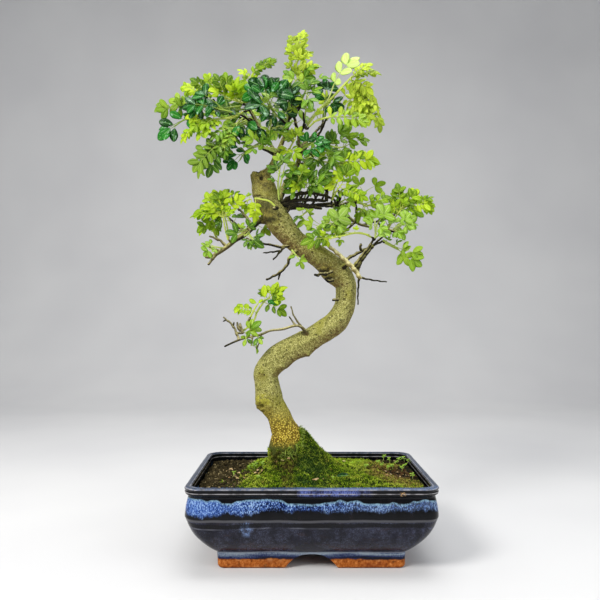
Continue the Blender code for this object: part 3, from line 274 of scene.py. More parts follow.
# Leafy shoots: colour, shoot (column, row, depth in mm), leaves (base column and row, tip column and row,
# tip depth in mm, pairs of leaflets, leaflet length in mm)
SPRAYS = {
    "spray_top_spire": ("young", ((287, 95, 0), (290, 80, 0), (298, 61, 0)), (
        (298, 61, 304, 31, 0, 3, 10), (297, 65, 288, 42, -7, 3, 10), (298, 62, 313, 50, 7, 2, 10),
        (291, 78, 320, 65, -6, 3, 12))),
    "spray_top_centre": ("mid", ((300, 104, -9), (305, 92, -12), (306, 84, -13)), (
        (305, 88, 331, 76, -15, 3, 11), (306, 86, 283, 77, -16, 3, 11), (304, 92, 312, 108, -20, 2, 12))),
    "spray_upper_right_pale": ("pale", ((306, 124, -8), (318, 110, -11), (328, 99, -12), (334, 84, -13)), (
        (332, 90, 358, 55, -14, 3, 15),)),
    "spray_upper_right_arch": ("young", ((307, 126, 1), (318, 112, 2), (334, 95, 3), (352, 76, 4)), (
        (351, 77, 381, 72, 4, 4, 11), (350, 79, 367, 122, -3, 4, 13), (350, 79, 381, 130, 8, 4, 11))),
    "spray_right_low_fan": ("mid", ((309, 127, -13), (317, 120, -16), (324, 118, -17)), (
        (322, 118, 370, 122, -18, 4, 12), (318, 119, 306, 103, -20, 2, 11))),
    "spray_right_dark": ("dark", ((323, 118, 12), (324, 108, 13), (325, 102, 13)), (
        (324, 106, 326, 78, 12, 2, 12), (324, 107, 344, 107, 11, 2, 11))),
    "spray_right_mid": ("mid", ((316, 138, 3), (326, 143, 2), (336, 143, 0)), (
        (334, 143, 370, 139, -2, 3, 14), (330, 143, 350, 124, -6, 2, 13))),
    "spray_right_glossy": ("dark", ((302, 150, -8), (304, 146, -12), (308, 143, -15)), (
        (307, 143, 332, 146, -18, 2, 15),)),
    "spray_right_point": ("young", ((304, 163, -4), (314, 160, -8), (326, 162, -10), (338, 163, -10)), (
        (336, 163, 381, 161, -10, 3, 16), (318, 160, 322, 143, -13, 2, 12),
        (334, 163, 353, 180, -8, 2, 14))),
    "spray_right_hanging": ("young", ((332, 200, -8), (334, 190, -13), (338, 181, -15)), (
        (337, 184, 347, 163, -18, 3, 12), (334, 192, 368, 199, -18, 3, 11))),
    "spray_under_right": ("mid", ((334, 206, -4), (333, 213, -9), (331, 221, -10)), (
        (332, 218, 350, 215, -12, 2, 13), (331, 220, 341, 236, -12, 2, 12))),
    "spray_long_arch": ("young", ((371, 237, -9), (362, 233, -11), (352, 233, -12)), (
        (354, 233, 310, 245, -15, 4, 13),)),
    "spray_right_inner": ("pale", ((375, 238, -7), (376, 229, -9), (378, 222, -10)), (
        (376, 226, 367, 210, -13, 2, 13), (377, 223, 390, 205, -13, 2, 13),
        (375, 232, 392, 233, -13, 2, 13))),
    "spray_right_outer": ("pale", ((383, 237, -2), (392, 231, -5), (399, 227, -6)), (
        (397, 228, 417, 217, -10, 2, 15), (398, 228, 405, 240, -10, 1, 14))),
    "spray_right_far": ("young", ((386, 232, 4), (394, 219, 4), (403, 207, 3)), (
        (402, 208, 437, 205, 0, 3, 13), (398, 213, 397, 184, 3, 3, 11), (401, 209, 420, 189, 6, 2, 12),
        (392, 222, 380, 207, 6, 2, 12))),
    "spray_right_fallen": ("mid", ((385, 243, -1), (393, 247, -3), (399, 250, -4)), (
        (397, 249, 422, 267, -7, 3, 14),)),
    "spray_right_upper": ("mid", ((357, 201, 4), (361, 203, 2), (367, 204, 1)), (
        (365, 204, 391, 197, 1, 3, 11), (362, 203, 367, 223, -3, 2, 12), (360, 202, 344, 194, 3, 1, 11))),
    "spray_beside_trunk_right": ("mid", ((312, 209, 5), (310, 214, -1), (312, 220, -5)), (
        (312, 219, 331, 231, -9, 2, 12), (311, 217, 297, 226, -8, 2, 11))),
    "spray_left_main": ("young", ((229, 238, -9), (227, 226, -10), (224, 213, -10)), (
        (224, 214, 191, 213, -13, 3, 14), (224, 214, 212, 190, -12, 2, 14),
        (224, 213, 245, 195, -13, 3, 12))),
    "spray_left_drooping": ("young", ((217, 238, -2), (213, 228, 0), (213, 217, 1)), (
        (213, 219, 198, 235, -4, 3, 12),)),
    "spray_left_mid": ("mid", ((238, 208, 0), (236, 203, 3), (232, 202, 4)), (
        (233, 202, 218, 200, 4, 2, 12),)),
    "spray_trunk_arch": ("young", ((275, 206, -20), (269, 201, -21), (260, 199, -21), (254, 198, -21)), (
        (255, 198, 254, 223, -21, 3, 9),)),
    "spray_left_under": ("mid", ((249, 232, -13), (246, 235, -16), (244, 236, -17)), (
        (246, 235, 225, 232, -18, 1, 15), (246, 235, 263, 248, -19, 2, 13))),
    "spray_left_behind": ("mid", ((250, 226, 1), (253, 224, 4), (256, 224, 6)), (
        (255, 224, 271, 235, 6, 2, 11),)),
    "spray_left_tip": ("pale", ((214, 251, -3), (211, 249, -2), (208, 247, -2)), (
        (209, 248, 201, 243, -2, 1, 8),)),
    "spray_crown_left_top": ("young", ((243, 103, -1), (234, 98, 0), (224, 94, 0), (214, 93, 1)), (
        (216, 93, 179, 88, 3, 4, 11), (220, 94, 205, 75, -3, 2, 12), (228, 96, 224, 73, 4, 2, 13),
        (236, 99, 241, 79, -5, 2, 12))),
    "spray_crown_left_low": ("young", ((243, 112, -9), (230, 117, -14), (212, 120, -16)), (
        (214, 120, 179, 142, -18, 4, 11), (216, 120, 196, 139, -8, 2, 11))),
    "spray_crown_left_far": ("dark", ((244, 109, 5), (230, 111, 7), (212, 114, 6), (200, 116, 4)), (
        (202, 116, 157, 138, 2, 2, 16), (206, 115, 178, 106, 8, 2, 14))),
    "spray_crown_left_pale": ("pale", ((242, 105, 13), (225, 104, 14), (208, 106, 14)), (
        (209, 106, 154, 110, 14, 3, 15),)),
    "spray_crown_left_glossy": ("dark", ((240, 115, -20), (228, 111, -22), (218, 109, -23)), (
        (219, 109, 182, 106, -24, 3, 13), (224, 110, 195, 90, -22, 2, 13))),
    "spray_crown_hanging": ("mid", ((247, 120, -11), (236, 125, -13), (225, 135, -14)), (
        (226, 134, 197, 179, -14, 4, 14),)),
    "spray_crown_under_dark": ("dark", ((259, 143, -9), (254, 146, -13), (249, 149, -14)), (
        (250, 148, 227, 170, -15, 3, 12),)),
    "spray_crown_under_mid": ("mid", ((284, 152, -10), (276, 149, -14), (266, 147, -15)), (
        (268, 147, 240, 137, -17, 2, 13), (274, 148, 262, 131, -20, 1, 12))),
    "spray_crown_centre_dark": ("dark", ((279, 118, -9), (272, 110, -15), (268, 104, -18)), (
        (268, 104, 246, 83, -19, 2, 18), (268, 104, 264, 74, -20, 2, 17), (269, 105, 288, 80, -19, 2, 17),
        (271, 109, 246, 106, -24, 1, 19))),
    "spray_crown_centre_low": ("dark", ((287, 122, -8), (284, 119, -14), (281, 117, -17)), (
        (282, 117, 296, 92, -20, 2, 14), (283, 118, 264, 118, -22, 1, 14))),
    "spray_crown_bright": ("young", ((251, 96, 6), (250, 84, 8), (252, 74, 8)), (
        (251, 77, 277, 58, 7, 4, 9), (250, 82, 238, 68, 8, 2, 10))),
    "spray_crown_left_inner": ("mid", ((252, 121, -4), (246, 124, -6), (240, 124, -8)), (
        (242, 124, 216, 104, -8, 3, 12),)),
    "spray_trunk_top": ("mid", ((279, 195, -15), (281, 182, -18), (284, 170, -19)), (
        (282, 178, 266, 165, -21, 2, 12), (283, 171, 290, 152, -20, 2, 12),
        (282, 176, 301, 172, -21, 2, 12))),
    "spray_trunk_shade": ("mid", ((303, 202, -2), (306, 194, -7), (309, 186, -9)), (
        (308, 188, 296, 176, -12, 1, 12), (309, 187, 326, 180, -12, 2, 12))),
    "spray_back_top": ("mid", ((250, 126, 38), (243, 116, 42), (239, 104, 44)), (
        (242, 114, 216, 108, 50, 3, 14), (240, 106, 246, 80, 44, 3, 14), (243, 116, 258, 140, 58, 2, 14))),
    "spray_back_crown": ("dark", ((265, 136, 26), (270, 122, 34), (274, 108, 36)), (
        (271, 116, 284, 132, 52, 2, 14), (273, 110, 268, 86, 38, 3, 13))),
    "spray_back_right": ("young", ((328, 118, 38), (336, 108, 40), (342, 98, 40)), (
        (341, 99, 354, 82, 30, 2, 13), (338, 105, 362, 112, 40, 3, 13), (334, 110, 318, 92, 48, 2, 13))),
    "spray_back_centre": ("mid", ((307, 166, 40), (314, 156, 43), (318, 146, 44)), (
        (315, 154, 296, 142, 52, 2, 14), (317, 148, 336, 132, 44, 3, 13), (312, 159, 330, 176, 48, 2, 13))),
    "spray_back_low": ("mid", ((354, 200, 40), (362, 194, 43), (368, 190, 44)), (
        (364, 193, 352, 176, 42, 2, 13), (366, 192, 386, 182, 42, 2, 13))),
    "spray_back_left": ("young", ((229, 218, 28), (223, 211, 31), (219, 205, 32)), (
        (221, 208, 200, 214, 36, 2, 13), (220, 206, 228, 188, 32, 2, 13))),
    "spray_back_far": ("mid", ((395, 214, 30), (401, 209, 32), (406, 204, 33)), (
        (404, 206, 424, 216, 36, 2, 13), (403, 207, 400, 192, 30, 2, 12))),
    "spray_low_left_top": ("young", ((243, 331, -7), (253, 322, -8), (258, 310, -8), (264, 302, -8),
        (270, 297, -8)), (
        (269, 298, 284, 288, -11, 1, 14), (264, 302, 288, 315, -11, 2, 12),
        (268, 299, 259, 288, -10, 1, 11),
        (257, 312, 232, 308, -5, 3, 10), (255, 318, 251, 334, -12, 2, 10))),
    "spray_low_left_under": ("mid", ((252, 340, -10), (252, 343, -11), (251, 346, -11)), (
        (252, 345, 259, 352, -13, 1, 9),)),
}

# Where each shoot leaves the wood, when that isn't the nearest branch
SPUR_FROM = {
    "spray_crown_left_glossy": (259, 128), "spray_crown_left_pale": (250, 111),
    "spray_crown_hanging": (259, 128), "spray_crown_centre_dark": (288, 125),
    "spray_crown_under_mid": (283, 146), "spray_trunk_arch": (270, 208),
    "spray_trunk_top": (279, 199), "spray_beside_trunk_right": (306, 207), "spray_left_under": (254, 225),
    "spray_right_far": (378, 221), "spray_right_outer": (372, 246),
}

# Leaf colours with broad leaflets
BLUNT = ("pale", "dark")

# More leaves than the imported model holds, laid out the same way. Each shoot's first point lies on a
# packed shoot or twig, and its leaves are added to one piece for each colour.
MORE = (
    ("young", ((243, 103, -2), (230, 99, -5), (212, 96, -7), (205, 97, -8)), (
        (206, 97, 179, 86, -8, 4, 10), (212, 97, 190, 77, -12, 4, 10), (222, 98, 203, 73, -8, 5, 10),
        (226, 99, 214, 72, -12, 5, 10), (232, 99, 225, 71, -9, 4, 10), (238, 101, 237, 76, -12, 3, 12),
        (216, 97, 199, 96, -14, 3, 11), (228, 99, 207, 88, -14, 3, 12), (240, 102, 246, 80, -10, 3, 12),
        (236, 101, 227, 84, -15, 2, 13), (240, 102, 238, 88, -16, 2, 14))),
    ("young", ((243, 112, -10), (232, 118, -15), (215, 119, -18), (204, 120, -19)), (
        (214, 119, 197, 141, -20, 5, 9), (206, 120, 180, 144, -18, 6, 9), (206, 120, 184, 117, -20, 4, 10),
        (222, 119, 204, 137, -22, 4, 10), (210, 120, 188, 131, -23, 4, 10),
        (226, 118, 206, 113, -22, 3, 11), (216, 119, 200, 128, -24, 3, 10))),
    ("dark", ((241, 106, -14), (222, 108, -17), (202, 106, -18)), (
        (203, 106, 196, 91, -20, 0, 10), (204, 106, 206, 92, -20, 0, 10), (202, 106, 185, 100, -20, 0, 10),
        (202, 106, 182, 108, -19, 0, 11), (203, 106, 189, 117, -20, 0, 10), (205, 106, 200, 119, -21, 0, 9),
        (214, 107, 219, 116, -22, 0, 9), (214, 107, 213, 99, -21, 0, 8), (210, 107, 207, 117, -22, 0, 8),
        (218, 107, 224, 100, -21, 0, 8), (226, 108, 235, 114, -21, 0, 8))),
    ("dark", ((215, 112, 2), (198, 116, 0), (184, 120, -2), (175, 126, -3)), (
        (184, 120, 170, 112, -5, 0, 14), (176, 125, 159, 121, -4, 0, 15), (175, 126, 158, 139, -5, 0, 17),
        (175, 126, 173, 141, -6, 0, 14))),
    ("mid", ((228, 108, 10), (205, 107, 12), (186, 108, 12)), (
        (188, 108, 155, 109, 12, 2, 14), (190, 108, 167, 99, 13, 2, 14), (192, 108, 180, 96, 12, 2, 12))),
    ("mid", ((246, 120, -12), (236, 126, -15), (226, 134, -17), (219, 145, -18)), (
        (220, 144, 194, 158, -16, 3, 13), (220, 145, 208, 178, -18, 3, 13),
        (222, 141, 192, 172, -20, 4, 13), (230, 130, 222, 157, -20, 4, 11),
        (226, 134, 228, 160, -16, 4, 10), (222, 140, 203, 148, -14, 2, 13),
        (236, 126, 232, 148, -19, 3, 11))),
    ("dark", ((258, 145, -10), (250, 149, -14), (243, 155, -16), (240, 160, -17)), (
        (249, 149, 231, 136, -18, 0, 9), (246, 152, 229, 145, -18, 0, 9), (243, 155, 227, 156, -18, 0, 10),
        (243, 155, 248, 163, -18, 0, 8), (240, 160, 233, 169, -18, 0, 8), (251, 148, 243, 133, -18, 0, 9))),
    ("mid", ((276, 152, -12), (262, 147, -17), (250, 146, -18)), (
        (252, 146, 240, 142, -20, 1, 14), (262, 147, 262, 136, -21, 1, 14),
        (258, 147, 246, 154, -20, 2, 12), (268, 149, 274, 134, -21, 2, 12))),
    ("dark", ((279, 118, -10), (273, 110, -17), (268, 99, -22)), (
        (268, 99, 259, 76, -23, 0, 13), (268, 99, 251, 86, -23, 0, 12), (268, 99, 278, 82, -23, 0, 12),
        (270, 103, 249, 102, -24, 0, 14), (270, 104, 286, 102, -22, 0, 11),
        (272, 108, 284, 118, -23, 0, 10), (272, 108, 262, 121, -24, 0, 10), (274, 112, 274, 126, -22, 0, 9),
        (271, 105, 257, 112, -22, 0, 9))),
    ("dark", ((284, 112, -8), (288, 104, -14), (289, 98, -17)), (
        (289, 98, 299, 86, -19, 0, 11), (289, 98, 285, 80, -20, 0, 11), (289, 100, 301, 97, -18, 0, 9))),
    ("mid", ((287, 120, -6), (288, 108, -12), (286, 98, -15)), (
        (287, 99, 280, 80, -17, 3, 12), (287, 100, 299, 80, -16, 3, 12), (288, 106, 298, 112, -18, 2, 13),
        (288, 112, 276, 104, -20, 2, 13), (287, 104, 272, 92, -20, 2, 13))),
    ("young", ((288, 93, 0), (292, 80, -1), (296, 66, -2), (299, 52, -2)), (
        (299, 54, 304, 29, -2, 7, 9), (298, 56, 289, 34, -4, 6, 9), (297, 60, 285, 46, -5, 5, 9),
        (299, 56, 308, 39, -5, 5, 9), (298, 60, 313, 54, -6, 5, 9), (298, 58, 297, 40, -8, 5, 9),
        (296, 66, 310, 66, -8, 4, 9), (295, 70, 284, 62, -6, 4, 9), (296, 64, 301, 48, -9, 4, 10),
        (294, 74, 282, 76, -5, 3, 11), (293, 76, 304, 64, -10, 3, 12))),
    ("mid", ((290, 92, 0), (294, 84, -4), (299, 76, -6)), (
        (299, 76, 321, 63, -8, 1, 16), (297, 79, 316, 77, -9, 2, 14), (294, 84, 308, 86, -10, 2, 13),
        (296, 81, 283, 70, -8, 3, 12))),
    ("young", ((250, 92, 4), (250, 80, 4), (254, 71, 4)), (
        (254, 71, 277, 60, 3, 6, 9), (251, 77, 264, 62, 0, 4, 10), (250, 82, 242, 76, 2, 3, 10),
        (250, 82, 258, 74, 0, 3, 10), (250, 86, 238, 86, 0, 3, 11))),
    ("mid", ((304, 122, -9), (306, 108, -14), (307, 95, -15)), (
        (307, 98, 305, 80, -16, 3, 11), (307, 98, 322, 86, -17, 3, 11), (306, 108, 313, 100, -18, 1, 14),
        (307, 102, 296, 98, -18, 2, 12), (307, 96, 314, 76, -14, 2, 12))),
    ("dark", ((325, 118, 6), (326, 106, 5), (326, 97, 4)), (
        (326, 98, 328, 80, 2, 1, 14), (326, 102, 344, 108, 2, 1, 15), (326, 102, 334, 113, 1, 1, 13),
        (326, 99, 312, 92, 2, 2, 12))),
    ("young", ((324, 106, 2), (338, 92, 0), (350, 79, -2)), (
        (350, 79, 382, 74, -3, 6, 10), (350, 79, 373, 63, -5, 4, 10), (350, 80, 370, 120, -6, 5, 12),
        (352, 82, 362, 100, -8, 3, 12), (350, 80, 379, 110, -3, 5, 12), (350, 80, 374, 94, -9, 4, 12))),
    ("young", ((350, 79, -2), (362, 90, -4), (369, 101, -4)), (
        (368, 100, 381, 133, -2, 5, 11), (366, 96, 360, 118, -8, 3, 12), (369, 101, 368, 126, -7, 3, 12),
        (368, 100, 358, 110, -9, 2, 12), (368, 100, 380, 114, -6, 3, 11))),
    ("young", ((313, 122, -15), (330, 117, -18), (350, 117, -19)), (
        (331, 117, 330, 106, -20, 0, 9), (341, 117, 341, 106, -20, 0, 9), (350, 117, 353, 107, -20, 0, 9),
        (334, 117, 342, 124, -20, 0, 8), (345, 117, 353, 124, -20, 0, 8), (350, 117, 369, 124, -19, 2, 12),
        (322, 119, 317, 108, -19, 1, 11))),
    ("mid", ((322, 142, 2), (335, 147, -2), (344, 147, -4)), (
        (344, 147, 371, 139, -5, 3, 12), (343, 147, 350, 123, -6, 3, 15), (338, 147, 327, 134, -5, 2, 13),
        (336, 147, 348, 158, -8, 3, 12), (344, 147, 358, 132, -8, 3, 13), (340, 147, 335, 158, -9, 2, 13))),
    ("dark", ((302, 150, -9), (306, 147, -14), (312, 144, -18)), (
        (307, 146, 306, 132, -20, 2, 14), (310, 145, 324, 136, -20, 2, 13),
        (312, 144, 331, 148, -20, 2, 14), (306, 147, 318, 156, -20, 1, 14))),
    ("mid", ((304, 160, -5), (314, 156, -12), (324, 156, -16)), (
        (316, 156, 322, 150, -18, 1, 15), (324, 156, 344, 160, -18, 3, 14),
        (322, 156, 340, 172, -17, 3, 13), (318, 156, 324, 166, -18, 1, 15),
        (324, 156, 333, 146, -16, 1, 13), (318, 156, 306, 164, -19, 2, 12))),
    ("mid", ((338, 163, -10), (349, 163, -12), (358, 162, -13)), (
        (357, 162, 382, 162, -13, 3, 13), (354, 162, 363, 150, -14, 2, 13),
        (350, 163, 358, 176, -14, 2, 13), (344, 163, 346, 150, -14, 2, 12))),
    ("young", ((332, 200, -10), (336, 192, -15), (342, 184, -18)), (
        (341, 185, 350, 162, -19, 4, 13), (340, 187, 334, 170, -19, 3, 12), (340, 187, 369, 200, -19, 4, 9),
        (341, 185, 352, 186, -20, 2, 12), (338, 189, 322, 178, -19, 3, 12))),
    ("mid", ((300, 200, -2), (300, 190, -10), (306, 184, -15)), (
        (305, 185, 336, 172, -18, 4, 12), (303, 187, 322, 190, -18, 3, 12),
        (302, 188, 284, 180, -18, 3, 13), (304, 186, 313, 170, -18, 3, 12),
        (302, 188, 292, 168, -17, 3, 12), (305, 185, 330, 182, -20, 3, 12),
        (301, 192, 284, 192, -16, 2, 12), (303, 187, 300, 172, -20, 2, 13))),
    ("young", ((296, 190, -8), (298, 181, -16), (300, 176, -19)), (
        (299, 178, 308, 163, -20, 2, 13), (299, 178, 288, 164, -20, 2, 13),
        (298, 181, 292, 192, -20, 1, 13), (299, 178, 304, 188, -21, 2, 12))),
    ("mid", ((279, 200, -15), (278, 184, -18), (280, 168, -20)), (
        (279, 172, 274, 158, -20, 2, 11), (280, 168, 290, 152, -21, 3, 12),
        (278, 182, 268, 178, -21, 1, 12), (279, 172, 290, 176, -21, 2, 12),
        (280, 168, 278, 152, -22, 2, 12))),
    ("young", ((288, 152, -6), (292, 144, -13), (296, 138, -16)), (
        (295, 140, 302, 126, -18, 3, 11), (294, 142, 282, 132, -18, 3, 11),
        (290, 148, 280, 156, -17, 2, 11), (293, 143, 292, 128, -19, 2, 12),
        (290, 148, 302, 158, -17, 2, 11))),
    ("mid", ((287, 128, -5), (280, 126, -12), (272, 128, -15)), (
        (276, 127, 262, 138, -17, 3, 11), (279, 126, 290, 136, -17, 3, 11),
        (276, 127, 276, 140, -18, 2, 12))),
    ("pale", ((334, 230, -12), (331, 227, -14), (331, 222, -15)), (
        (331, 227, 347, 207, -16, 3, 15), (331, 225, 329, 210, -16, 2, 14),
        (331, 226, 348, 225, -16, 2, 14), (331, 224, 317, 226, -15, 2, 12),
        (331, 224, 338, 218, -18, 1, 15))),
    ("young", ((369, 235, -10), (356, 233, -14), (342, 236, -17), (326, 239, -18)), (
        (330, 238, 300, 243, -19, 3, 14), (346, 235, 345, 226, -18, 1, 15),
        (336, 237, 333, 227, -19, 1, 16), (326, 239, 320, 230, -20, 1, 16),
        (354, 233, 357, 225, -17, 1, 13), (340, 236, 340, 246, -19, 1, 13),
        (332, 238, 322, 246, -20, 1, 13))),
    ("mid", ((333, 213, -9), (324, 222, -12), (316, 228, -14)), (
        (318, 226, 303, 222, -15, 2, 13), (320, 225, 312, 238, -15, 2, 13),
        (326, 220, 336, 232, -14, 2, 13))),
    ("mid", ((312, 209, 3), (306, 212, -5), (302, 216, -9)), (
        (303, 215, 293, 222, -11, 2, 12), (303, 215, 314, 208, -10, 2, 11),
        (303, 215, 300, 204, -11, 1, 11))),
    ("young", ((361, 203, 2), (366, 206, -2), (370, 205, -3)), (
        (368, 206, 392, 197, -4, 3, 10), (366, 206, 356, 222, -6, 3, 11), (367, 206, 372, 220, -5, 2, 12),
        (364, 205, 352, 196, -3, 2, 12), (367, 206, 378, 202, -7, 2, 12))),
    ("pale", ((376, 234, -9), (375, 228, -13), (375, 222, -15)), (
        (375, 223, 370, 211, -16, 1, 16), (375, 223, 378, 209, -16, 1, 16),
        (375, 228, 388, 228, -17, 2, 14), (375, 230, 390, 236, -16, 2, 14),
        (375, 226, 366, 222, -16, 1, 13))),
    ("young", ((388, 226, 2), (396, 216, -1), (404, 206, -2)), (
        (402, 208, 418, 189, -3, 4, 12), (400, 210, 397, 182, -2, 4, 11), (398, 213, 384, 206, -4, 1, 16),
        (400, 210, 408, 196, -6, 3, 13), (402, 208, 416, 200, -5, 2, 13), (394, 219, 385, 216, -5, 2, 13),
        (398, 213, 390, 198, -3, 2, 12), (396, 216, 390, 222, -6, 1, 15))),
    ("young", ((400, 210, 2), (412, 204, 0), (424, 203, -1)), (
        (423, 203, 435, 206, -2, 4, 10), (423, 203, 434, 196, -1, 3, 10), (422, 203, 433, 214, -2, 3, 10),
        (420, 203, 426, 195, -1, 1, 12), (422, 203, 435, 211, -4, 4, 10))),
    ("pale", ((391, 232, -4), (396, 227, -8), (401, 224, -10)), (
        (400, 225, 411, 213, -11, 2, 16), (400, 225, 412, 229, -12, 2, 16),
        (396, 227, 392, 216, -12, 1, 16), (399, 226, 419, 224, -9, 2, 13), (394, 229, 402, 238, -12, 1, 15),
        (398, 226, 404, 218, -13, 1, 17))),
    ("mid", ((383, 240, -1), (390, 244, -4), (398, 248, -6)), (
        (397, 248, 424, 256, -9, 2, 12), (397, 248, 410, 266, -9, 1, 12), (394, 246, 402, 240, -8, 1, 12),
        (386, 242, 390, 236, -6, 2, 12))),
    ("young", ((228, 240, -11), (225, 228, -13), (223, 216, -15)), (
        (224, 217, 189, 216, -15, 5, 12), (224, 218, 204, 192, -13, 4, 12),
        (223, 216, 214, 190, -15, 4, 11), (224, 218, 200, 206, -17, 4, 12),
        (224, 217, 236, 208, -16, 2, 13), (223, 216, 226, 188, -12, 4, 12))),
    ("young", ((223, 216, -12), (222, 204, -9), (230, 194, -9)), (
        (226, 198, 245, 196, -10, 3, 12), (224, 200, 220, 190, -10, 2, 12),
        (228, 196, 234, 206, -12, 2, 13))),
    ("young", ((216, 237, -4), (212, 226, -6), (214, 214, -7)), (
        (212, 220, 196, 232, -8, 4, 11), (213, 216, 201, 220, -10, 4, 12), (212, 222, 218, 236, -9, 3, 11),
        (213, 216, 222, 222, -10, 2, 12), (213, 216, 206, 228, -12, 3, 11))),
    ("young", ((240, 206, -4), (246, 201, -8), (251, 199, -11)), (
        (251, 199, 256, 222, -13, 4, 11), (250, 199, 248, 192, -12, 2, 11),
        (248, 200, 246, 214, -12, 3, 11))),
    ("mid", ((246, 229, -12), (240, 232, -16), (236, 232, -17)), (
        (240, 232, 243, 222, -18, 1, 15), (238, 232, 232, 236, -18, 1, 12),
        (244, 230, 256, 222, -17, 2, 12))),
    ("mid", ((249, 234, -14), (252, 238, -18), (254, 240, -19)), (
        (252, 238, 243, 246, -20, 1, 14), (253, 239, 250, 250, -20, 1, 14),
        (253, 239, 262, 248, -20, 2, 14), (252, 238, 264, 234, -20, 1, 14))),
    ("pale", ((222, 248, -7), (216, 247, -10), (210, 246, -11)), (
        (214, 247, 205, 242, -12, 2, 9), (218, 247, 212, 252, -12, 2, 9), (212, 247, 203, 256, -11, 2, 9))),
    ("young", ((256, 314, -8), (263, 303, -10), (270, 297, -11)), (
        (269, 298, 287, 286, -12, 3, 14), (269, 298, 276, 283, -11, 2, 14),
        (268, 299, 285, 299, -13, 3, 13), (269, 298, 281, 291, -14, 3, 12),
        (265, 301, 264, 285, -11, 0, 13))),
    ("mid", ((246, 116, -10), (238, 122, -16), (230, 131, -20)), (
        (231, 130, 216, 154, -21, 6, 8), (235, 125, 226, 148, -21, 4, 9), (238, 122, 222, 132, -20, 4, 9),
        (231, 130, 224, 160, -22, 5, 8), (238, 122, 236, 136, -22, 3, 9), (233, 128, 210, 140, -21, 4, 9))),
    ("dark", ((250, 120, -8), (246, 122, -14), (243, 124, -17)), (
        (246, 122, 257, 127, -19, 0, 15), (244, 124, 240, 138, -19, 0, 13),
        (244, 123, 233, 134, -20, 0, 13), (246, 122, 252, 137, -19, 0, 15),
        (247, 121, 266, 138, -20, 0, 15))),
    ("mid", ((304, 163, -4), (300, 170, -10), (296, 176, -14)), (
        (297, 175, 286, 186, -16, 2, 12), (297, 175, 303, 188, -16, 2, 12),
        (300, 170, 290, 168, -15, 2, 12), (299, 172, 310, 178, -15, 2, 12),
        (296, 176, 292, 196, -15, 2, 12))),
    ("mid", ((336, 206, -4), (341, 202, -9), (346, 199, -12)), (
        (345, 200, 340, 190, -14, 1, 12), (345, 200, 356, 206, -13, 2, 12),
        (342, 202, 350, 212, -12, 2, 12), (341, 202, 334, 194, -12, 1, 12),
        (340, 203, 338, 214, -11, 1, 12))),
    ("mid", ((292, 250, -20), (295, 254, -22), (297, 256, -22)), (
        (297, 256, 304, 269, -22, 2, 8), (296, 255, 290, 258, -22, 0, 7), (297, 256, 306, 260, -21, 1, 7))),
    ("mid", ((246, 333, -8), (249, 331, -12), (250, 330, -13)), (
        (250, 330, 260, 321, -14, 0, 14), (250, 330, 262, 329, -14, 0, 14),
        (250, 329, 253, 319, -13, 0, 12), (249, 331, 257, 335, -15, 0, 12),
        (250, 329, 247, 321, -12, 0, 10))),
    ("mid", ((247, 336, -10), (246, 338, -13), (246, 339, -13)), (
        (246, 338, 244, 346, -15, 0, 12), (246, 338, 252, 344, -15, 0, 11),
        (246, 337, 241, 337, -14, 0, 10), (246, 337, 250, 332, -15, 0, 10))),
    ("mid", ((258, 335, -9), (258, 337, -12), (258, 338, -12)), (
        (258, 337, 254, 345, -14, 0, 11), (258, 337, 262, 344, -14, 0, 11), (258, 337, 264, 338, -13, 0, 9))),
    ("dark", ((260, 302, -11), (265, 300, -12), (268, 299, -13)), (
        (268, 299, 276, 304, -14, 0, 11), (267, 299, 271, 304, -14, 0, 9))),
    ("young", ((250, 318, -9), (255, 308, -11), (258, 304, -12)), (
        (258, 304, 249, 300, -12, 0, 11), (258, 304, 262, 299, -13, 0, 8))),
    ("mid", ((262, 128, 4), (256, 118, 8), (250, 108, 8)), (
        (252, 110, 230, 104, 10, 3, 13), (252, 110, 246, 92, 10, 3, 13), (256, 116, 236, 120, 9, 3, 13),
        (258, 120, 246, 132, 9, 2, 13), (252, 110, 262, 96, 12, 2, 14), (258, 120, 270, 112, 10, 2, 13))),
    ("mid", ((300, 140, 6), (296, 128, 9), (294, 114, 10)), (
        (294, 116, 282, 104, 12, 3, 13), (294, 116, 300, 98, 12, 3, 13), (296, 126, 286, 120, 11, 2, 13),
        (296, 124, 310, 116, 12, 2, 13), (298, 132, 286, 140, 10, 2, 13))),
    ("dark", ((220, 116, 6), (208, 114, 8), (200, 114, 8)), (
        (206, 114, 188, 106, 8, 1, 14), (206, 114, 196, 100, 8, 1, 14), (212, 115, 214, 102, 9, 1, 14),
        (204, 114, 198, 126, 8, 1, 14), (202, 114, 184, 118, 8, 1, 14), (214, 115, 212, 128, 8, 1, 14))),
    ("mid", ((306, 162, 4), (303, 166, 7), (300, 170, 8)), (
        (302, 168, 290, 160, 8, 2, 13), (302, 168, 316, 162, 8, 3, 13), (301, 169, 312, 178, 8, 2, 13),
        (301, 169, 288, 174, 8, 2, 13))),
    ("mid", ((334, 150, 6), (338, 154, 8), (342, 158, 9)), (
        (340, 156, 328, 148, 9, 2, 13), (340, 156, 352, 150, 9, 2, 13), (341, 157, 330, 166, 9, 2, 13),
        (342, 158, 348, 170, 9, 2, 13), (342, 158, 356, 160, 9, 1, 13))),
    ("mid", ((252, 128, 34), (240, 118, 36), (232, 108, 36)), (
        (234, 110, 214, 100, 38, 3, 13), (234, 110, 226, 92, 36, 3, 13), (238, 116, 222, 126, 38, 3, 13),
        (244, 122, 256, 106, 38, 3, 13), (240, 118, 234, 134, 34, 2, 13), (248, 125, 262, 120, 40, 2, 13))),
    ("mid", ((268, 140, 20), (272, 120, 26), (276, 104, 28)), (
        (275, 106, 262, 92, 30, 3, 13), (275, 106, 288, 92, 30, 3, 13), (272, 118, 286, 110, 32, 3, 13),
        (272, 118, 260, 108, 26, 2, 13), (270, 130, 284, 128, 28, 2, 13))),
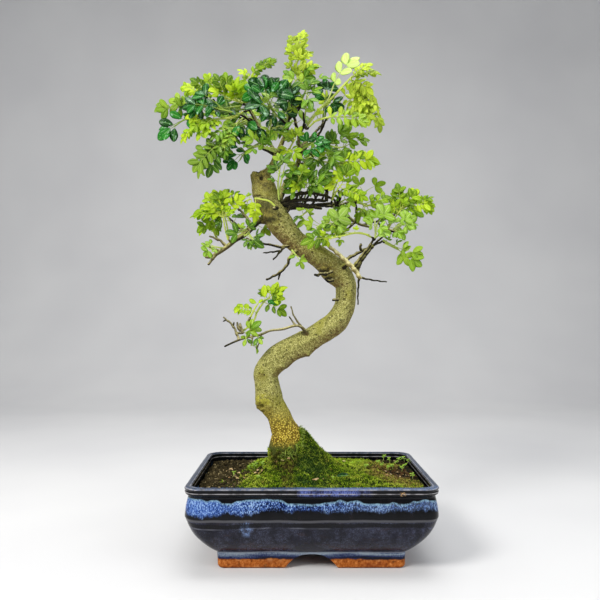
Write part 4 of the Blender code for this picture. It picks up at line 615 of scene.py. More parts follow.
    ("young", ((326, 120, 36), (340, 108, 38), (352, 98, 38)), (
        (350, 100, 368, 92, 38, 4, 12), (350, 100, 364, 112, 38, 4, 12))),
    ("mid", ((306, 168, 38), (314, 164, 38), (322, 160, 38)), (
        (320, 161, 338, 154, 38, 3, 13), (320, 161, 334, 170, 38, 3, 13), (316, 163, 320, 150, 40, 2, 13),
        (310, 166, 300, 156, 40, 2, 13), (308, 168, 298, 176, 36, 2, 13))),
    ("mid", ((352, 201, 38), (362, 204, 36), (372, 206, 34)), (
        (370, 206, 388, 200, 34, 3, 13), (370, 206, 384, 214, 34, 3, 13), (364, 204, 360, 216, 36, 2, 13),
        (358, 203, 352, 192, 38, 2, 13))),
    ("mid", ((245, 234, -7), (236, 228, 6), (226, 216, 14)), (
        (227, 217, 206, 208, 18, 3, 13), (227, 217, 212, 198, 16, 3, 13), (230, 221, 212, 224, 16, 3, 13),
        (233, 225, 242, 212, 16, 2, 13))),
    ("mid", ((373, 240, -6), (384, 230, 8), (394, 221, 14)), (
        (393, 222, 412, 214, 17, 2, 13), (393, 222, 400, 206, 17, 2, 13), (388, 227, 380, 214, 14, 2, 13),
        (388, 227, 404, 232, 15, 2, 13))),
)


# Layout, as in the part's source

def front(column, row, depth=0.0):
    """The point at this place in the front view. Depth in mm runs back from the pot's middle, and the
    crown spreads more than in step with it."""
    y = depth * (1 + (SPREAD_FRONT if depth < 0 else SPREAD_BACK) * abs(depth)) * MM
    scale = GRID * (EYE + y) / EYE
    x = GRID_X + (column - GRID_COLUMN) * scale
    return Vector((x, y, GRID_Z + (GRID_ROW - row) * scale))


def square(vector, along):
    """The part of this vector that is at right angles to the other one, one metre long."""
    return (vector - along * vector.dot(along)).normalized()


def frames(centres, side):
    """Each centre of a line, with two ways across the line there. The first one starts near this side."""
    for i, centre in enumerate(centres):
        along = (centres[min(i + 1, len(centres) - 1)] - centres[max(i - 1, 0)]).normalized()
        side = square(side, along)
        yield centre, side, along.cross(side)


def linked(name, data):
    """A new object with this data, in the scene."""
    obj = bpy.data.objects.new(name, data)
    bpy.context.scene.collection.objects.link(obj)
    return obj


def outward(mesh):
    """Joins the points that meet and turns every face outwards."""
    work = bmesh.new()
    work.from_mesh(mesh)
    bmesh.ops.remove_doubles(work, verts=work.verts, dist=1e-6)
    bmesh.ops.recalc_face_normals(work, faces=work.faces)
    if work.calc_volume(signed=True) < 0:
        bmesh.ops.reverse_faces(work, faces=work.faces)
    work.to_mesh(mesh)
    work.free()


def loft(rings):
    """Points and faces of a closed skin over rings of equally many points."""
    count = len(rings[0])
    points = [p for ring in rings for p in ring]
    faces = []
    for start in range(0, len(points) - count, count):
        for j in range(count):
            here = start + j
            after = start + (j + 1) % count
            faces.append((here, after, after + count))
            faces.append((here, after + count, here + count))
    faces.append(tuple(reversed(range(count))))
    faces.append(tuple(range(len(points) - count, len(points))))
    return points, faces


def tube(name, points, radii, resolution):
    """A tapering round tube along these points, closed at both ends."""
    curve = bpy.data.curves.new(name, "CURVE")
    curve.dimensions = "3D"
    curve.bevel_depth = MM
    curve.bevel_resolution = resolution
    curve.use_fill_caps = True
    spline = curve.splines.new("POLY")
    spline.points.add(len(points) - 1)
    for slot, point, radius in zip(spline.points, points, radii):
        slot.co = (*point, 1)
        slot.radius = radius
    guide = linked(name, curve)
    bpy.context.view_layer.update()
    shape = guide.evaluated_get(bpy.context.evaluated_depsgraph_get())
    mesh = bpy.data.meshes.new_from_object(shape)
    mesh.transform(guide.matrix_world)
    bpy.data.objects.remove(guide, do_unlink=True)
    bpy.data.curves.remove(curve)
    outward(mesh)
    return linked(name, mesh)


def rounded_rectangle(half_length, half_width, corner, z, steps):
    """The outline of a rectangle with round corners, at this height."""
    points = []
    for quarter, (sx, sy) in enumerate(((1, 1), (-1, 1), (-1, -1), (1, -1))):
        for i in range(steps + 1):
            angle = math.radians(90 * (quarter + i / steps))
            x = sx * (half_length - corner) + corner * math.cos(angle)
            y = sy * (half_width - corner) + corner * math.sin(angle)
            points.append(Vector((x, y, z)))
    return points


def pot_ring(inset, height, steps=CORNER_STEPS):
    """The pot's outline at this height, drawn in from its widest line by the inset, both in mm."""
    inset *= MM
    half_length = POT_LENGTH / 2 - inset
    half_width = POT_WIDTH / 2 - inset * WIDTH_INSET
    corner = max(POT_CORNER - CORNER_LOSS * inset, CORNER_LEAST)
    return rounded_rectangle(half_length, half_width, corner, height * MM, steps)


def inner_wall(height):
    """The pot's inside wall at this height in metres, as the corners of a polygon."""
    steps = POT_INSIDE
    inset = steps[-1][0]
    for (low_inset, low), (high_inset, high) in zip(steps, steps[1:]):
        if low <= height / MM <= high:
            inset = low_inset + (high_inset - low_inset) * (height / MM - low) / (high - low)
    return pot_ring(inset, height / MM)


def wall_reach(angle, height):
    """How far it is from the trunk's middle to the pot's wall in this direction."""
    way = Vector((math.cos(angle), math.sin(angle)))
    wall = inner_wall(height)
    best = 0.0
    for a, b in zip(wall, wall[1:] + wall[:1]):
        edge = Vector((b.x - a.x, b.y - a.y))
        start = Vector((a.x - TRUNK_X, a.y))
        turn = way.x * edge.y - way.y * edge.x
        if abs(turn) < 1e-12:
            continue
        reach = (start.x * edge.y - start.y * edge.x) / turn
        share = (start.x * way.y - start.y * way.x) / turn
        if reach > 0 and -1e-6 <= share <= 1 + 1e-6:
            best = max(best, reach)
    return best


def moss_reach(angle):
    """How far out the moss grows, as a share of the way to the pot's wall."""
    reach = MOSS_WIDE
    for way, wide, loss in BARE_WAYS:
        turn = (angle - way + math.pi) % (2 * math.pi) - math.pi
        reach -= loss * math.exp(-(turn / wide) ** 2)
    return reach - MOSS_WAVE * (1 + math.sin(5 * angle))


def soil_height(x, y):
    """The soil's height: a mound round the trunk that falls off to the pot's edge."""
    dx = x - TRUNK_X - MOUND_RIGHT
    reach = math.hypot(dx if dx > 0 else MOUND_LEFT_LOSS * dx, MOUND_DEEP_LOSS * y)
    mound = sum(high * math.exp(-((reach / wide) ** 2)) for high, wide in MOUNDS)
    front_right = RISE_RIGHT / (1 + math.exp(-(0.8 * x - y - 0.01) / 0.02))
    return SOIL_LEVEL + mound + front_right + SOIL_WAVE * math.sin(170 * x + 3) * math.sin(190 * y)


def moss_thickness(x, y, share):
    """How thick the lumpy moss is here, thinner at its edge, where the share is 1."""
    across = math.sin(310 * x + 1.2 + 2 * math.sin(140 * y))
    along = math.sin(290 * y + 0.6 + 1.5 * math.sin(170 * x))
    lumps = 0.5 + 0.5 * across * along
    fine = 0.5 + 0.5 * math.sin(730 * x + 2.1) * math.sin(690 * y + 1.3)
    edge = min(1.0, 2.6 * (1 - share))
    return MOSS_EDGE + edge * (MOSS_BASE + MOSS_LUMP * lumps + MOSS_FINE * fine)


def trunk_rings(steps, sides):
    """The trunk's rings from its buried foot to its cut top, with the knobs raised on them. More steps
    from one row of the table to the next make it smoother."""
    centres = [front(c, r, d) for c, r, d, _ in TRUNK]
    radii = [w * GRID for *_, w in TRUNK]
    base = centres[0]
    centres = [Vector((base.x, base.y, TRUNK_FOOT)), Vector((base.x, base.y, STUMP_TOP))] + centres
    radii = [STUMP_RADIUS, STUMP_RADIUS] + radii
    rows = catmull([(*c, r, i) for i, (c, r) in enumerate(zip(centres, radii))], steps)
    spine = [Vector(row[:3]) for row in rows]
    rings = []
    for (*_, radius, i), (centre, side, other) in zip(rows, frames(spine, Vector((1, 0, 0)))):
        shape = min(max(i - 2, 0), 1)
        ring = []
        for j in range(sides):
            angle = 2 * math.pi * j / sides
            out = side * math.cos(angle) + other * math.sin(angle)
            wave = 0.035 * math.sin(3 * angle + 0.31 * i) + 0.025 * math.sin(5 * angle - 0.7 * i)
            knob = knob_rise(centre + out * radius, out)
            ring.append(centre + out * radius * (1 + shape * wave) + out * knob)
        rings.append(ring)
    return rings


def knob_rise(point, out):
    """How far the knobs raise the bark at this point, which faces this way."""
    rise = 0.0
    for column, row, (across, up), height, reach in KNOBS:
        middle = front(column, row)
        way = Vector((across, 0, up)).normalized()
        near = Vector((point.x - middle.x, 0, point.z - middle.z)).length
        facing = max(out.dot(way), 0) ** 3
        rise += height * MM * facing * math.exp(-((near / (reach * KNOB_SPREAD * MM)) ** 2))
    return rise


def wood_points():
    """Points close together along the middle of all the wood, with the radius there in metres."""
    found = []
    lines = [[(c, r, d, w * GRID / MM) for c, r, d, w in TRUNK], *BRANCHES.values()]
    for line in lines:
        for a, b in zip(line, line[1:]):
            for i in range(WOOD_STEPS + 1):
                share = i / WOOD_STEPS
                mixed = [p + (q - p) * share for p, q in zip(a, b)]
                found.append((front(*mixed[:3]), mixed[3] * MM, mixed))
    return found


def spur_path(name, shoot):
    """The short woody spur that carries a shoot: from inside the branch to just short of the shoot."""
    start = front(*shoot[0])
    along = (front(*shoot[1]) - start).normalized()
    wanted = SPUR_FROM.get(name)
    best = None
    for point, radius, (column, row, *_) in WOOD:
        if wanted:
            cost = math.hypot(column - wanted[0], row - wanted[1])
            cost += SPUR_LENGTH_COST * (point - start).length / MM
        else:
            cost = (point - start).length / MM
        if best is None or cost < best[0]:
            best = (cost, point, radius)
    root, radius = best[1], best[2]
    reach = (start - root).length
    end = start - along * GAP
    bend = start - along * min(SPUR_BEND, SPUR_BEND_SHARE * reach)
    thick = min(max(radius / MM * SPUR_SHARE, SPUR_THIN), SPUR_THICK)
    if (start - root).normalized().dot(along) > SPUR_STRAIGHT:
        return [root, end], [thick, SPUR_THIN]
    return [root, bend, end], [thick, SPUR_MIDDLE, SPUR_THIN]


class Rib:
    """A leaf's rib: an arch from its base to its tip, with room for a number of pairs of leaflets."""

    def __init__(self, base, tip, up, leaflet, longest):
        self.base = base
        self.chord = tip - base
        self.length = self.chord.length
        self.size = min(leaflet * LEAFLET_SCALE * MM, longest * self.length)
        self.up = square(up, self.chord.normalized())
        self.last = 1 - END_LEAFLET * self.size / self.length
        self.first = min(max(STALK_SHARE, STALK_LEAST / self.length), self.last)
        self.room = 1 + int((self.last - self.first) * self.length / (LEAFLET_STEP * self.size))

    def at(self, t):
        return self.base + self.chord * t + self.up * (RIB_ARCH * self.length) * 4 * t * (1 - t)

    def frame(self, t):
        """The ways along, beside and above the rib."""
        along = (self.at(t + 0.01) - self.at(t - 0.01)).normalized()
        above = square(self.up, along)
        return along, above.cross(along), above

    def spots(self, count):
        """Where this many pairs of leaflets stand on the rib."""
        if count == 1:
            return [self.last]
        return [self.first + (self.last - self.first) * i / (count - 1) for i in range(count)]


def leaf_shape(base, tip, up, pairs, leaflet, grow, blunt):
    """A pinnate leaf's points and faces: a thin blade cut to its rib, thickest along rib and midribs."""
    rib = Rib(base, tip, up, leaflet, LONGEST_LEAFLET)
    size = rib.size
    pairs = max(1, min(pairs, rib.room))
    spots = rib.spots(pairs)
    half = RIB_HALF + grow / 2
    thick = RIB_THICK + grow
    points = []
    top = []
    under = {}

    def add(point):
        points.append(point)
        return len(points) - 1

    def inner(point, above, deep):
        index = add(point)
        under[index] = add(point - above * deep)
        return index

    def leaflet_at(station, left, right, way, above, scale):
        """Adds one leaflet between two rim points of the rib."""
        root = (points[left] + points[right]) / 2
        across = way.cross(above)
        if (points[right] - points[left]).dot(across) < 0:
            across = -across
        long = size * scale + grow
        wide = LEAFLET_WIDE * size * scale + grow
        droop = -LEAFLET_DROOP * size
        edge = [left]
        for u, v in BLUNT_PLAN if blunt else POINTED_PLAN:
            rise = droop * u * u + LEAFLET_FOLD * size * abs(v)
            edge.append(add(root + way * long * u + across * wide * v + above * rise))
        edge.append(right)
        middle = inner(root + way * long * 0.5 + above * (0.0002 + droop * 0.2), above, thick)
        for a, b in zip(edge, edge[1:]):
            top.append((middle, a, b))
        top.append((middle, right, station))
        top.append((middle, station, left))

    along, side, above = rib.frame(0.02)
    middle = inner(rib.at(0.02) + above * RIB_RISE, above, thick + RIB_RISE)
    left = add(rib.at(0) + side * half)
    right = add(rib.at(0) - side * half)
    top.append((middle, right, left))
    for index, t in enumerate(spots):
        along, side, above = rib.frame(t)
        here = rib.at(t)
        station = inner(here + above * RIB_RISE, above, thick + RIB_RISE)
        ends = {}
        for sign, old in ((1, left), (-1, right)):
            low = add(here + side * sign * half - along * RIB_GAP)
            high = add(here + side * sign * half + along * RIB_GAP)
            top.append((middle, old, low))
            top.append((middle, low, station))
            lean = math.radians(LEAN - LEAN_LOSS * index / max(pairs - 1, 1))
            way = (along * math.cos(lean) + side * sign * math.sin(lean)).normalized()
            scale = LEAFLET_LEAST + LEAFLET_GROWTH * (index + 1) / pairs
            leaflet_at(station, low, high, way, above, scale)
            ends[sign] = high
        middle, left, right = station, ends[1], ends[-1]
    along, side, above = rib.frame(spots[-1])
    way = (tip - (points[left] + points[right]) / 2).normalized()
    leaflet_at(middle, left, right, way, above, END_SCALE)
    faces = list(top)
    faces += [tuple(under.get(i, i) for i in reversed(face)) for face in top]
    return points, faces


def shoot_points(shoot):
    """Places close together along a shoot, as columns, rows and depths."""
    found = []
    for a, b in zip(shoot, shoot[1:]):
        for i in range(SHOOT_STEPS + 1):
            found.append([p + (q - p) * i / SHOOT_STEPS for p, q in zip(a, b)])
    return found


def leaf_tries():
    """Changes tried in turn until a leaf clears its neighbours: depth in mm, twist in degrees, size."""
    tries = [(0, 0, 1.0)]
    for size in TRY_SIZES:
        for depth in TRY_DEPTHS:
            for twist in TRY_TWISTS:
                tries.append((depth, twist, size))
    return tries


def place_leaves(wood):
    """Every leaf of every shoot, turned or moved in depth until it crosses no other node."""
    draw = random.Random(LEAF_SEED)
    tries = leaf_tries()
    placed = [("wood", tree) for _, tree in wood]
    for name, (_, shoot, _) in SPRAYS.items():
        points, faces = shoot_shape(shoot, SHOOT_ROOM)
        placed.append((name, BVHTree.FromPolygons(points, faces)))
    result = {name: [] for name in SPRAYS}
    for name, (colour, shoot, leaves) in SPRAYS.items():
        stem = shoot_points(shoot)
        for column, row, tip_column, tip_row, tip_depth, pairs, leaflet in leaves:
            root = min(stem[3:], key=lambda step: math.hypot(step[0] - column, step[1] - row))
            base = front(*root)
            facing = FACING if tip_depth > BACK_DEPTH else -FACING
            roll = draw.uniform(-ROLL, ROLL)
            lift = draw.uniform(*LIFT)
            drift = draw.uniform(-DRIFT, DRIFT)
            for depth, twist, size in tries:
                tip = front(tip_column, tip_row, tip_depth + drift + depth)
                tip = base + (tip - base) * (1 if size == 1 else size ** 0.5)
                way = (tip - base).normalized()
                up = Matrix.Rotation(math.radians(roll + twist), 3, way) @ Vector((0, facing, lift))
                fat, faces = leaf_shape(base, tip, up, pairs, leaflet * size, LEAF_ROOM, colour in BLUNT)
                trial = BVHTree.FromPolygons(fat, faces)
                if not any(other != name and trial.overlap(tree) for other, tree in placed):
                    placed.append((name, trial))
                    result[name].append((base, tip, up, pairs, leaflet * size, colour in BLUNT))
                    break
            else:
                print("no room for a leaf of", name, tip_column, tip_row)
    return result


def shoot_shape(shoot, grow):
    """A slim round stem along the shoot, as points and faces."""
    centres = [front(*step) for step in shoot]
    turns = [2 * math.pi * j / SHOOT_SIDES for j in range(SHOOT_SIDES)]
    rings = []
    for i, (centre, side, other) in enumerate(frames(centres, FIRST_SIDE)):
        radius = (SHOOT_RADIUS * (1 - SHOOT_TAPER * i / (len(centres) - 1)) + grow) * MM
        rings.append([centre + (side * math.cos(turn) + other * math.sin(turn)) * radius for turn in turns])
    return loft(rings)


# Meshes

class Skin:
    """Gathers points, faces and a vector of values at each point, and makes one mesh of them."""

    def __init__(self):
        self.points = []
        self.faces = []
        self.values = []
        self.count = 0

    def add(self, points, faces, values):
        """Adds arrays: points (n, 3), faces of one size (m, k), values (n, 3) or one row for all."""
        points = np.asarray(points, float).reshape(-1, 3)
        values = np.broadcast_to(np.asarray(values, float), points.shape)
        self.points.append(points)
        self.values.append(values)
        self.faces.append([np.asarray(part) + self.count for part in faces])
        self.count += len(points)

    def make(self, name, material, smooth=True):
        points = np.concatenate(self.points) + np.array((POT_X, 0, 0))
        faces = [face.tolist() for group in self.faces for part in group for face in part]
        mesh = bpy.data.meshes.new(name)
        mesh.from_pydata(points.tolist(), [], faces)
        set_grain(mesh, np.concatenate(self.values))
        mesh.materials.append(material)
        if smooth:
            mesh.shade_smooth()
        return linked(name, mesh)


def catmull(rows, steps):
    """A smooth line through these rows of numbers, with this many steps between two rows."""
    rows = np.asarray(rows, float)
    ends = np.concatenate([rows[:1], rows, rows[-1:]])
    made = []
    for a, b, c, d in zip(ends, ends[1:], ends[2:], ends[3:]):
        for i in range(steps):
            t = i / steps
            bend = (2 * a - 5 * b + 4 * c - d) * t * t + (3 * b - a - 3 * c + d) * t ** 3
            made.append(0.5 * (2 * b + (c - a) * t + bend))
    made.append(rows[-1])
    return np.array(made)


def sweep(centres, radii, sides, flat=1, first_side=FIRST_SIDE):
    """A closed tube of rings round these centres. With flat, the tube is that share as thick as wide."""
    centres = [Vector(p) for p in centres]
    points = []
    for (centre, side, other), radius in zip(frames(centres, first_side), radii):
        for j in range(sides):
            turn = 2 * math.pi * j / sides
            lift = math.sin(turn) * flat
            points.append(centre + (side * math.cos(turn) + other * lift) * radius)
    count = len(centres)
    quads = []
    for i in range(count - 1):
        for j in range(sides):
            k = (j + 1) % sides
            quads.append((i * sides + j, i * sides + k, (i + 1) * sides + k, (i + 1) * sides + j))
    caps = [tuple(reversed(range(sides))), tuple(range((count - 1) * sides, count * sides))]
    return np.array(points), [np.array(quads), np.array(caps)]


def piece(obj, slot, *nodes):
    """The object rides on the part's body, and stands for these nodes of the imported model."""
    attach(obj, "root")
    if nodes:
        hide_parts(*nodes)
    return obj


def noise_at(points, scale, seed):
    """Smooth noise from -1 to 1 at each point, for features of 1 / scale metres."""
    shift = Vector((seed, 0.7 * seed, 1.3 * seed))
    return np.array([noise.noise(Vector(p) * scale + shift) for p in points])


def set_points(mesh, points):
    mesh.vertices.foreach_set("co", points.astype(np.float32).ravel())


def set_grain(mesh, values):
    """Stores three values at each point, which the materials read."""
    layer = mesh.attributes.new("grain", "FLOAT_VECTOR", "POINT")
    layer.data.foreach_set("vector", values.astype(np.float32).ravel())


def read_points(mesh):
    found = np.empty(len(mesh.vertices) * 3, np.float32)
    mesh.vertices.foreach_get("co", found)
    return found.reshape(-1, 3).astype(float)


def read_normals(mesh):
    found = np.empty(len(mesh.vertices) * 3, np.float32)
    mesh.vertex_normals.foreach_get("vector", found)
    return found.reshape(-1, 3).astype(float)


# Materials

class Value:
    """A socket of a material's nodes. Its arithmetic adds the nodes that work it out."""

    def __init__(self, graph, socket):
        self.graph = graph
        self.socket = socket

    def __add__(self, other):
        return self.graph.math("ADD", self, other)

    def __sub__(self, other):
        return self.graph.math("SUBTRACT", self, other)

    def __rsub__(self, other):
        return self.graph.math("SUBTRACT", other, self)

    def __mul__(self, other):
        return self.graph.math("MULTIPLY", self, other)


class Graph:
    """Builds a material's nodes. Each method gives a value that the next ones take."""

    def __init__(self, name, **settings):
        self.material = bpy.data.materials.new(name)
        self.material.use_nodes = True
        self.tree = self.material.node_tree
        self.shader = self.tree.nodes["Principled BSDF"]
        for key, value in settings.items():
            self.shader.inputs[key.replace("_", " ")].default_value = value

    def put(self, socket, value):
        """Links a value to the socket, or sets a number or colour on it."""
        if isinstance(value, Value):
            self.tree.links.new(value.socket, socket)
        else:
            socket.default_value = value

    def set(self, name, value):
        self.put(self.shader.inputs[name], value)

    def add(self, kind, inputs, output=0, **settings):
        node = self.tree.nodes.new("ShaderNode" + kind)
        for key, value in settings.items():
            setattr(node, key, value)
        for key, value in inputs.items():
            self.put(node.inputs[key], value)
        return Value(self, node.outputs[output])

    def place(self, stretch=(1, 1, 1)):
        """Coordinates in metres, stretched by these factors."""
        place = self.add("TexCoord", {}, "Object")
        if stretch == (1, 1, 1):
            return place
        return self.add("Mapping", {"Vector": place, "Scale": stretch})

    def axes(self, vector=None):
        """The three parts of a vector, or of the place."""
        node = self.tree.nodes.new("ShaderNodeSeparateXYZ")
        self.put(node.inputs[0], vector or self.place())
        return [Value(self, output) for output in node.outputs]

    def grain(self):
        """The three values stored at each point of a piece."""
        return self.axes(self.add("Attribute", {}, "Vector", attribute_name="grain"))

    def noise(self, scale, detail=3, rough=0.55, vector=None):
        inputs = {"Vector": vector or self.place(), "Scale": scale, "Detail": detail, "Roughness": rough}
        return self.add("TexNoise", inputs, "Fac")

    def cells(self, scale, vector=None):
        """The distance to the nearest of many scattered points."""
        return self.add("TexVoronoi", {"Vector": vector or self.place(), "Scale": scale}, "Distance")

    def math(self, operation, a, b=0.0, clamp=False):
        return self.add("Math", {0: a, 1: b}, operation=operation, use_clamp=clamp)

    def spread(self, value, low, high, to_low=0.0, to_high=1.0):
        """A soft step from one value to another while this one goes from low to high."""
        inputs = {"Value": value, "From Min": low, "From Max": high, "To Min": to_low, "To Max": to_high}
        return self.add("MapRange", inputs, interpolation_type="SMOOTHSTEP")

    def mix(self, share, a, b):
        """The first colour, with this share of the second."""
        node = self.tree.nodes.new("ShaderNodeMix")
        node.data_type = "RGBA"
        self.put(node.inputs["Factor"], share)
        self.put(node.inputs[6], a)
        self.put(node.inputs[7], b)
        return Value(self, node.outputs[2])

    def ramp(self, value, *stops):
        """Colours along this value, each given with its place."""
        node = self.tree.nodes.new("ShaderNodeValToRGB")
        self.put(node.inputs[0], value)
        marks = node.color_ramp.elements
        while len(marks) < len(stops):
            marks.new(0.5)
        for mark, (place, colour) in zip(marks, stops):
            mark.position = place
            mark.color = (*colour, 1)
        return Value(self, node.outputs[0])

    def bump(self, height, distance, strength):
        self.set("Normal", self.add("Bump", {"Height": height, "Distance": distance, "Strength": strength}))

    def between(self, value, low, first_full, high, last_full):
        """1 from the first full value to the last full one, falling to 0 at the low and the high end."""
        return self.spread(value, low, first_full) * self.spread(value, high, last_full)

    def near(self, x, y, centre, reach):
        """1 at this place on a surface, falling to 0 at the reach, for spots of colour."""
        across = (x - centre[0]) * (1 / reach[0])
        up = (y - centre[1]) * (1 / reach[1])
        return self.spread(across * across + up * up, 1.0, 0.2)

    def patch(self, column, row, wide, tall):
        """A spot around a place of the front view, with its reach across and up in grid units."""
        x, _, z = self.axes()
        spot = front(column, row)
        return self.near(x, z, (spot.x + POT_X, spot.z), (wide * GRID, tall * GRID))


def rgb(red, green, blue):
    """A colour as read on a screen, 0 to 255, as the linear values that a shader takes."""
    def linear(value):
        value /= 255
        return value / 12.92 if value <= 0.04045 else ((value + 0.055) / 1.055) ** 2.4
    return linear(red), linear(green), linear(blue)


def rgba(*colour):
    return (*rgb(*colour), 1)


# Pot

# How finely the pot is made, its unevenness in mm, and its arches and drainage holes in metres
FINE_CORNER = 8
SIDE_CUTS = (36, 26)
WAVE_MM = 0.35
ARCH_CURVE = 2.6
ARCH_OVER = 0.004
ARCH_UNDER = 0.002
ARCH_REACH = (0.046, 0.020)
HOLE_SPAN = (0.005, 0.035)
SHARP_DEGREES = 38
COAT = 0.05

# The height in metres from which the pot is uneven, and how far above it that is in full
WAVE_START = 0.004
WAVE_RISE = 0.012

# Spots on the glaze: place and reach in metres. The drip and the chip are on the front, the violet streak
# is on the rim as seen from above.
DRIP_SPOT = ((-0.0470, 0.0495), (0.0085, 0.012))
VIOLET_SPOT = ((0.0364, -0.095), (0.045, 0.03))
CHIP_SPOT = ((0.1089, 0.0843), (0.0042, 0.0026))

# Bands round the pot, by height in metres: low end, first full, high end, last full
# Painted highlight lines on the rim's top edge and on its lower ridge
RIM_HIGHLIGHT_BAND = (0.0879, 0.0885, 0.0896, 0.0891)
RIDGE_HIGHLIGHT_BAND = (0.0839, 0.0843, 0.0852, 0.0848)
RUN_LINE = (0.0764, 0.0774, 0.0792, 0.0784)
BELLY_LINE = (0.0552, 0.0568, 0.0592, 0.0578)
WAIST_DIM = (0.0498, 0.0512, 0.0556, 0.0546)
# A painted highlight line under the dim band
WAIST_HIGHLIGHT_BAND = (0.0486, 0.0494, 0.0506, 0.0499)
# A painted highlight line at the top of the foot's glazed band
FOOT_HIGHLIGHT_BAND = (0.0166, 0.0172, 0.0184, 0.0178)


def fine_ring(inset, height):
    """The pot's outline with its corners finely rounded and its straight sides cut into short steps."""
    corners = pot_ring(inset, height, FINE_CORNER)
    count = FINE_CORNER + 1
    ring = []
    for quarter in range(4):
        arc = corners[quarter * count : (quarter + 1) * count]
        after = corners[(quarter + 1) * count % len(corners)]
        cuts = SIDE_CUTS[quarter % 2]
        ring += arc
        ring += [arc[-1].lerp(after, i / (cuts + 1)) for i in range(1, cuts + 1)]
    return ring


def solid_object(name, points, faces):
    """A closed object with its faces turned outwards."""
    mesh = bpy.data.meshes.new(name)
    mesh.from_pydata([tuple(p) for p in points], [], [tuple(f) for f in faces])
    outward(mesh)
    return linked(name, mesh)


def apply_modifiers(obj):
    """Makes the mesh that the object's modifiers give its own."""
    bpy.context.view_layer.update()
    shape = obj.evaluated_get(bpy.context.evaluated_depsgraph_get())
    mesh = bpy.data.meshes.new_from_object(shape)
    obj.modifiers.clear()
    obj.data = mesh


def cut(obj, cutters):
    """Takes the cutters' shapes out of the object."""
    for cutter in cutters:
        modifier = obj.modifiers.new("cut", "BOOLEAN")
        modifier.operation = "DIFFERENCE"
        modifier.solver = "EXACT"
        modifier.object = cutter
    apply_modifiers(obj)
    for cutter in cutters:
        bpy.data.objects.remove(cutter, do_unlink=True)


def arch_cutter(side):
    """The foot's arch on one long side: an ogee that starts low and flattens to its top."""
    half = ARCH_BOTTOM / 2
    steps = [i / 20 for i in range(-20, 21)]
    profile = [(half * t, ARCH_HEIGHT * (1 - abs(t) ** ARCH_CURVE)) for t in steps]
    profile = [(-half - ARCH_OVER, -ARCH_UNDER)] + profile + [(half + ARCH_OVER, -ARCH_UNDER)]
    ends = [[Vector((x, side * (POT_WIDTH / 2 - reach), z)) for x, z in profile] for reach in ARCH_REACH]
    points, faces = loft(ends)
    return solid_object("arch", points, faces)


def hole_cutter(side):
    """A round drainage hole."""
    turns = [i * math.pi / 16 for i in range(32)]
    ring = [(math.cos(turn) * DRAIN_RADIUS, math.sin(turn) * DRAIN_RADIUS) for turn in turns]
    ends = [[Vector((side * DRAIN_X + x, y, z)) for x, y in ring] for z in HOLE_SPAN]
    points, faces = loft(ends)
    return solid_object("hole", points, faces)


def make_pot():
    """The pot with its foot's arches and drainage holes, slightly uneven."""
    outside = catmull(POT_OUTSIDE, 4)
    inside = catmull([*POT_INSIDE, (6.2, 89.2), POT_OUTSIDE[0]], 3)
    profile = [*inside[:-1], *outside, *POT_UNDER]
    points, faces = loft([fine_ring(*step) for step in profile])
    pot = solid_object("glazed_pot", points, faces)
    cut(pot, [cutter(side) for cutter in (arch_cutter, hole_cutter) for side in (-1, 1)])
    points = read_points(pot.data)
    normals = read_normals(pot.data)
    lift = np.clip((points[:, 2] - WAVE_START) / WAVE_RISE, 0, 1)
    wave = 0.5 * noise_at(points, 24, 3) + 0.25 * noise_at(points, 70, 9) - 0.75
    points += normals * (wave * lift * WAVE_MM * MM)[:, None]
    set_points(pot.data, points)
    pot.data.transform(Matrix.Translation((POT_X, 0, 0)))
    pot.data.shade_smooth()
    pot.data.set_sharp_from_angle(angle=math.radians(SHARP_DEGREES))
    pot.data.materials.append(glaze_material())
    return piece(pot, "glaze", "pot")


def glaze_body(g, x, z, fine, speck):
    """The grey lower wall, with rust, dark runs and one pale blue drip."""
    body = g.ramp(g.noise(240, 3, 0.65), (0.3, rgb(22, 22, 31)), (0.55, rgb(38, 39, 51)),
                  (0.8, rgb(66, 70, 94)))
    body = g.mix(g.spread(speck, 0.56, 0.70, 0, 0.65), body, rgba(100, 106, 134))
    blotch = g.spread(g.noise(38, 2, vector=g.place((1, 1, 0.6))), 0.52, 0.66, 0, 0.7)
    body = g.mix(blotch, body, rgba(16, 15, 30))
    rust = g.spread(g.noise(55, 3, vector=g.place((1, 1, 2.5))), 0.58, 0.70, 0, 0.35)
    body = g.mix(rust, body, rgba(58, 42, 38))
    runs = g.spread(g.noise(60, 3, 0.6, vector=g.place((1, 1, 0.22))), 0.48, 0.62, 0, 0.65)
    body = g.mix(runs, body, rgba(15, 15, 22))
    drip = g.spread(g.noise(210, 3, 0.6, vector=g.place((1, 1, 0.35))), 0.40, 0.56)
    patch = g.near(x, z, *DRIP_SPOT) * drip
    patch = patch * g.spread(fine, 0.38, 0.62, 0.15, 0.95)
    return g.mix(patch, body, rgba(112, 136, 180))


def glaze_cobalt(g, x, level, fine, speck, drips):
    """The speckled cobalt run, paler to the left and greyer to the right."""
    paler = g.spread(x, -0.05 + POT_X, -0.115 + POT_X)
    grains = fine * 0.7 + speck * 0.3 + g.spread(level, 0.062, 0.0775) * 0.05
    grains += (drips - 0.5) * 0.22
    grains += paler * 0.035
    cobalt = g.ramp(grains, (0.455, rgb(6, 9, 22)), (0.51, rgb(20, 38, 92)), (0.57, rgb(62, 96, 164)),
                    (0.65, rgb(150, 178, 208)))
    cobalt = g.mix(paler * 0.3, cobalt, rgba(64, 104, 184))
    greyer = g.mix(0.5, cobalt, rgba(92, 104, 112))
    return g.mix(g.spread(x, 0.01, 0.09, 0, 0.55), cobalt, greyer)


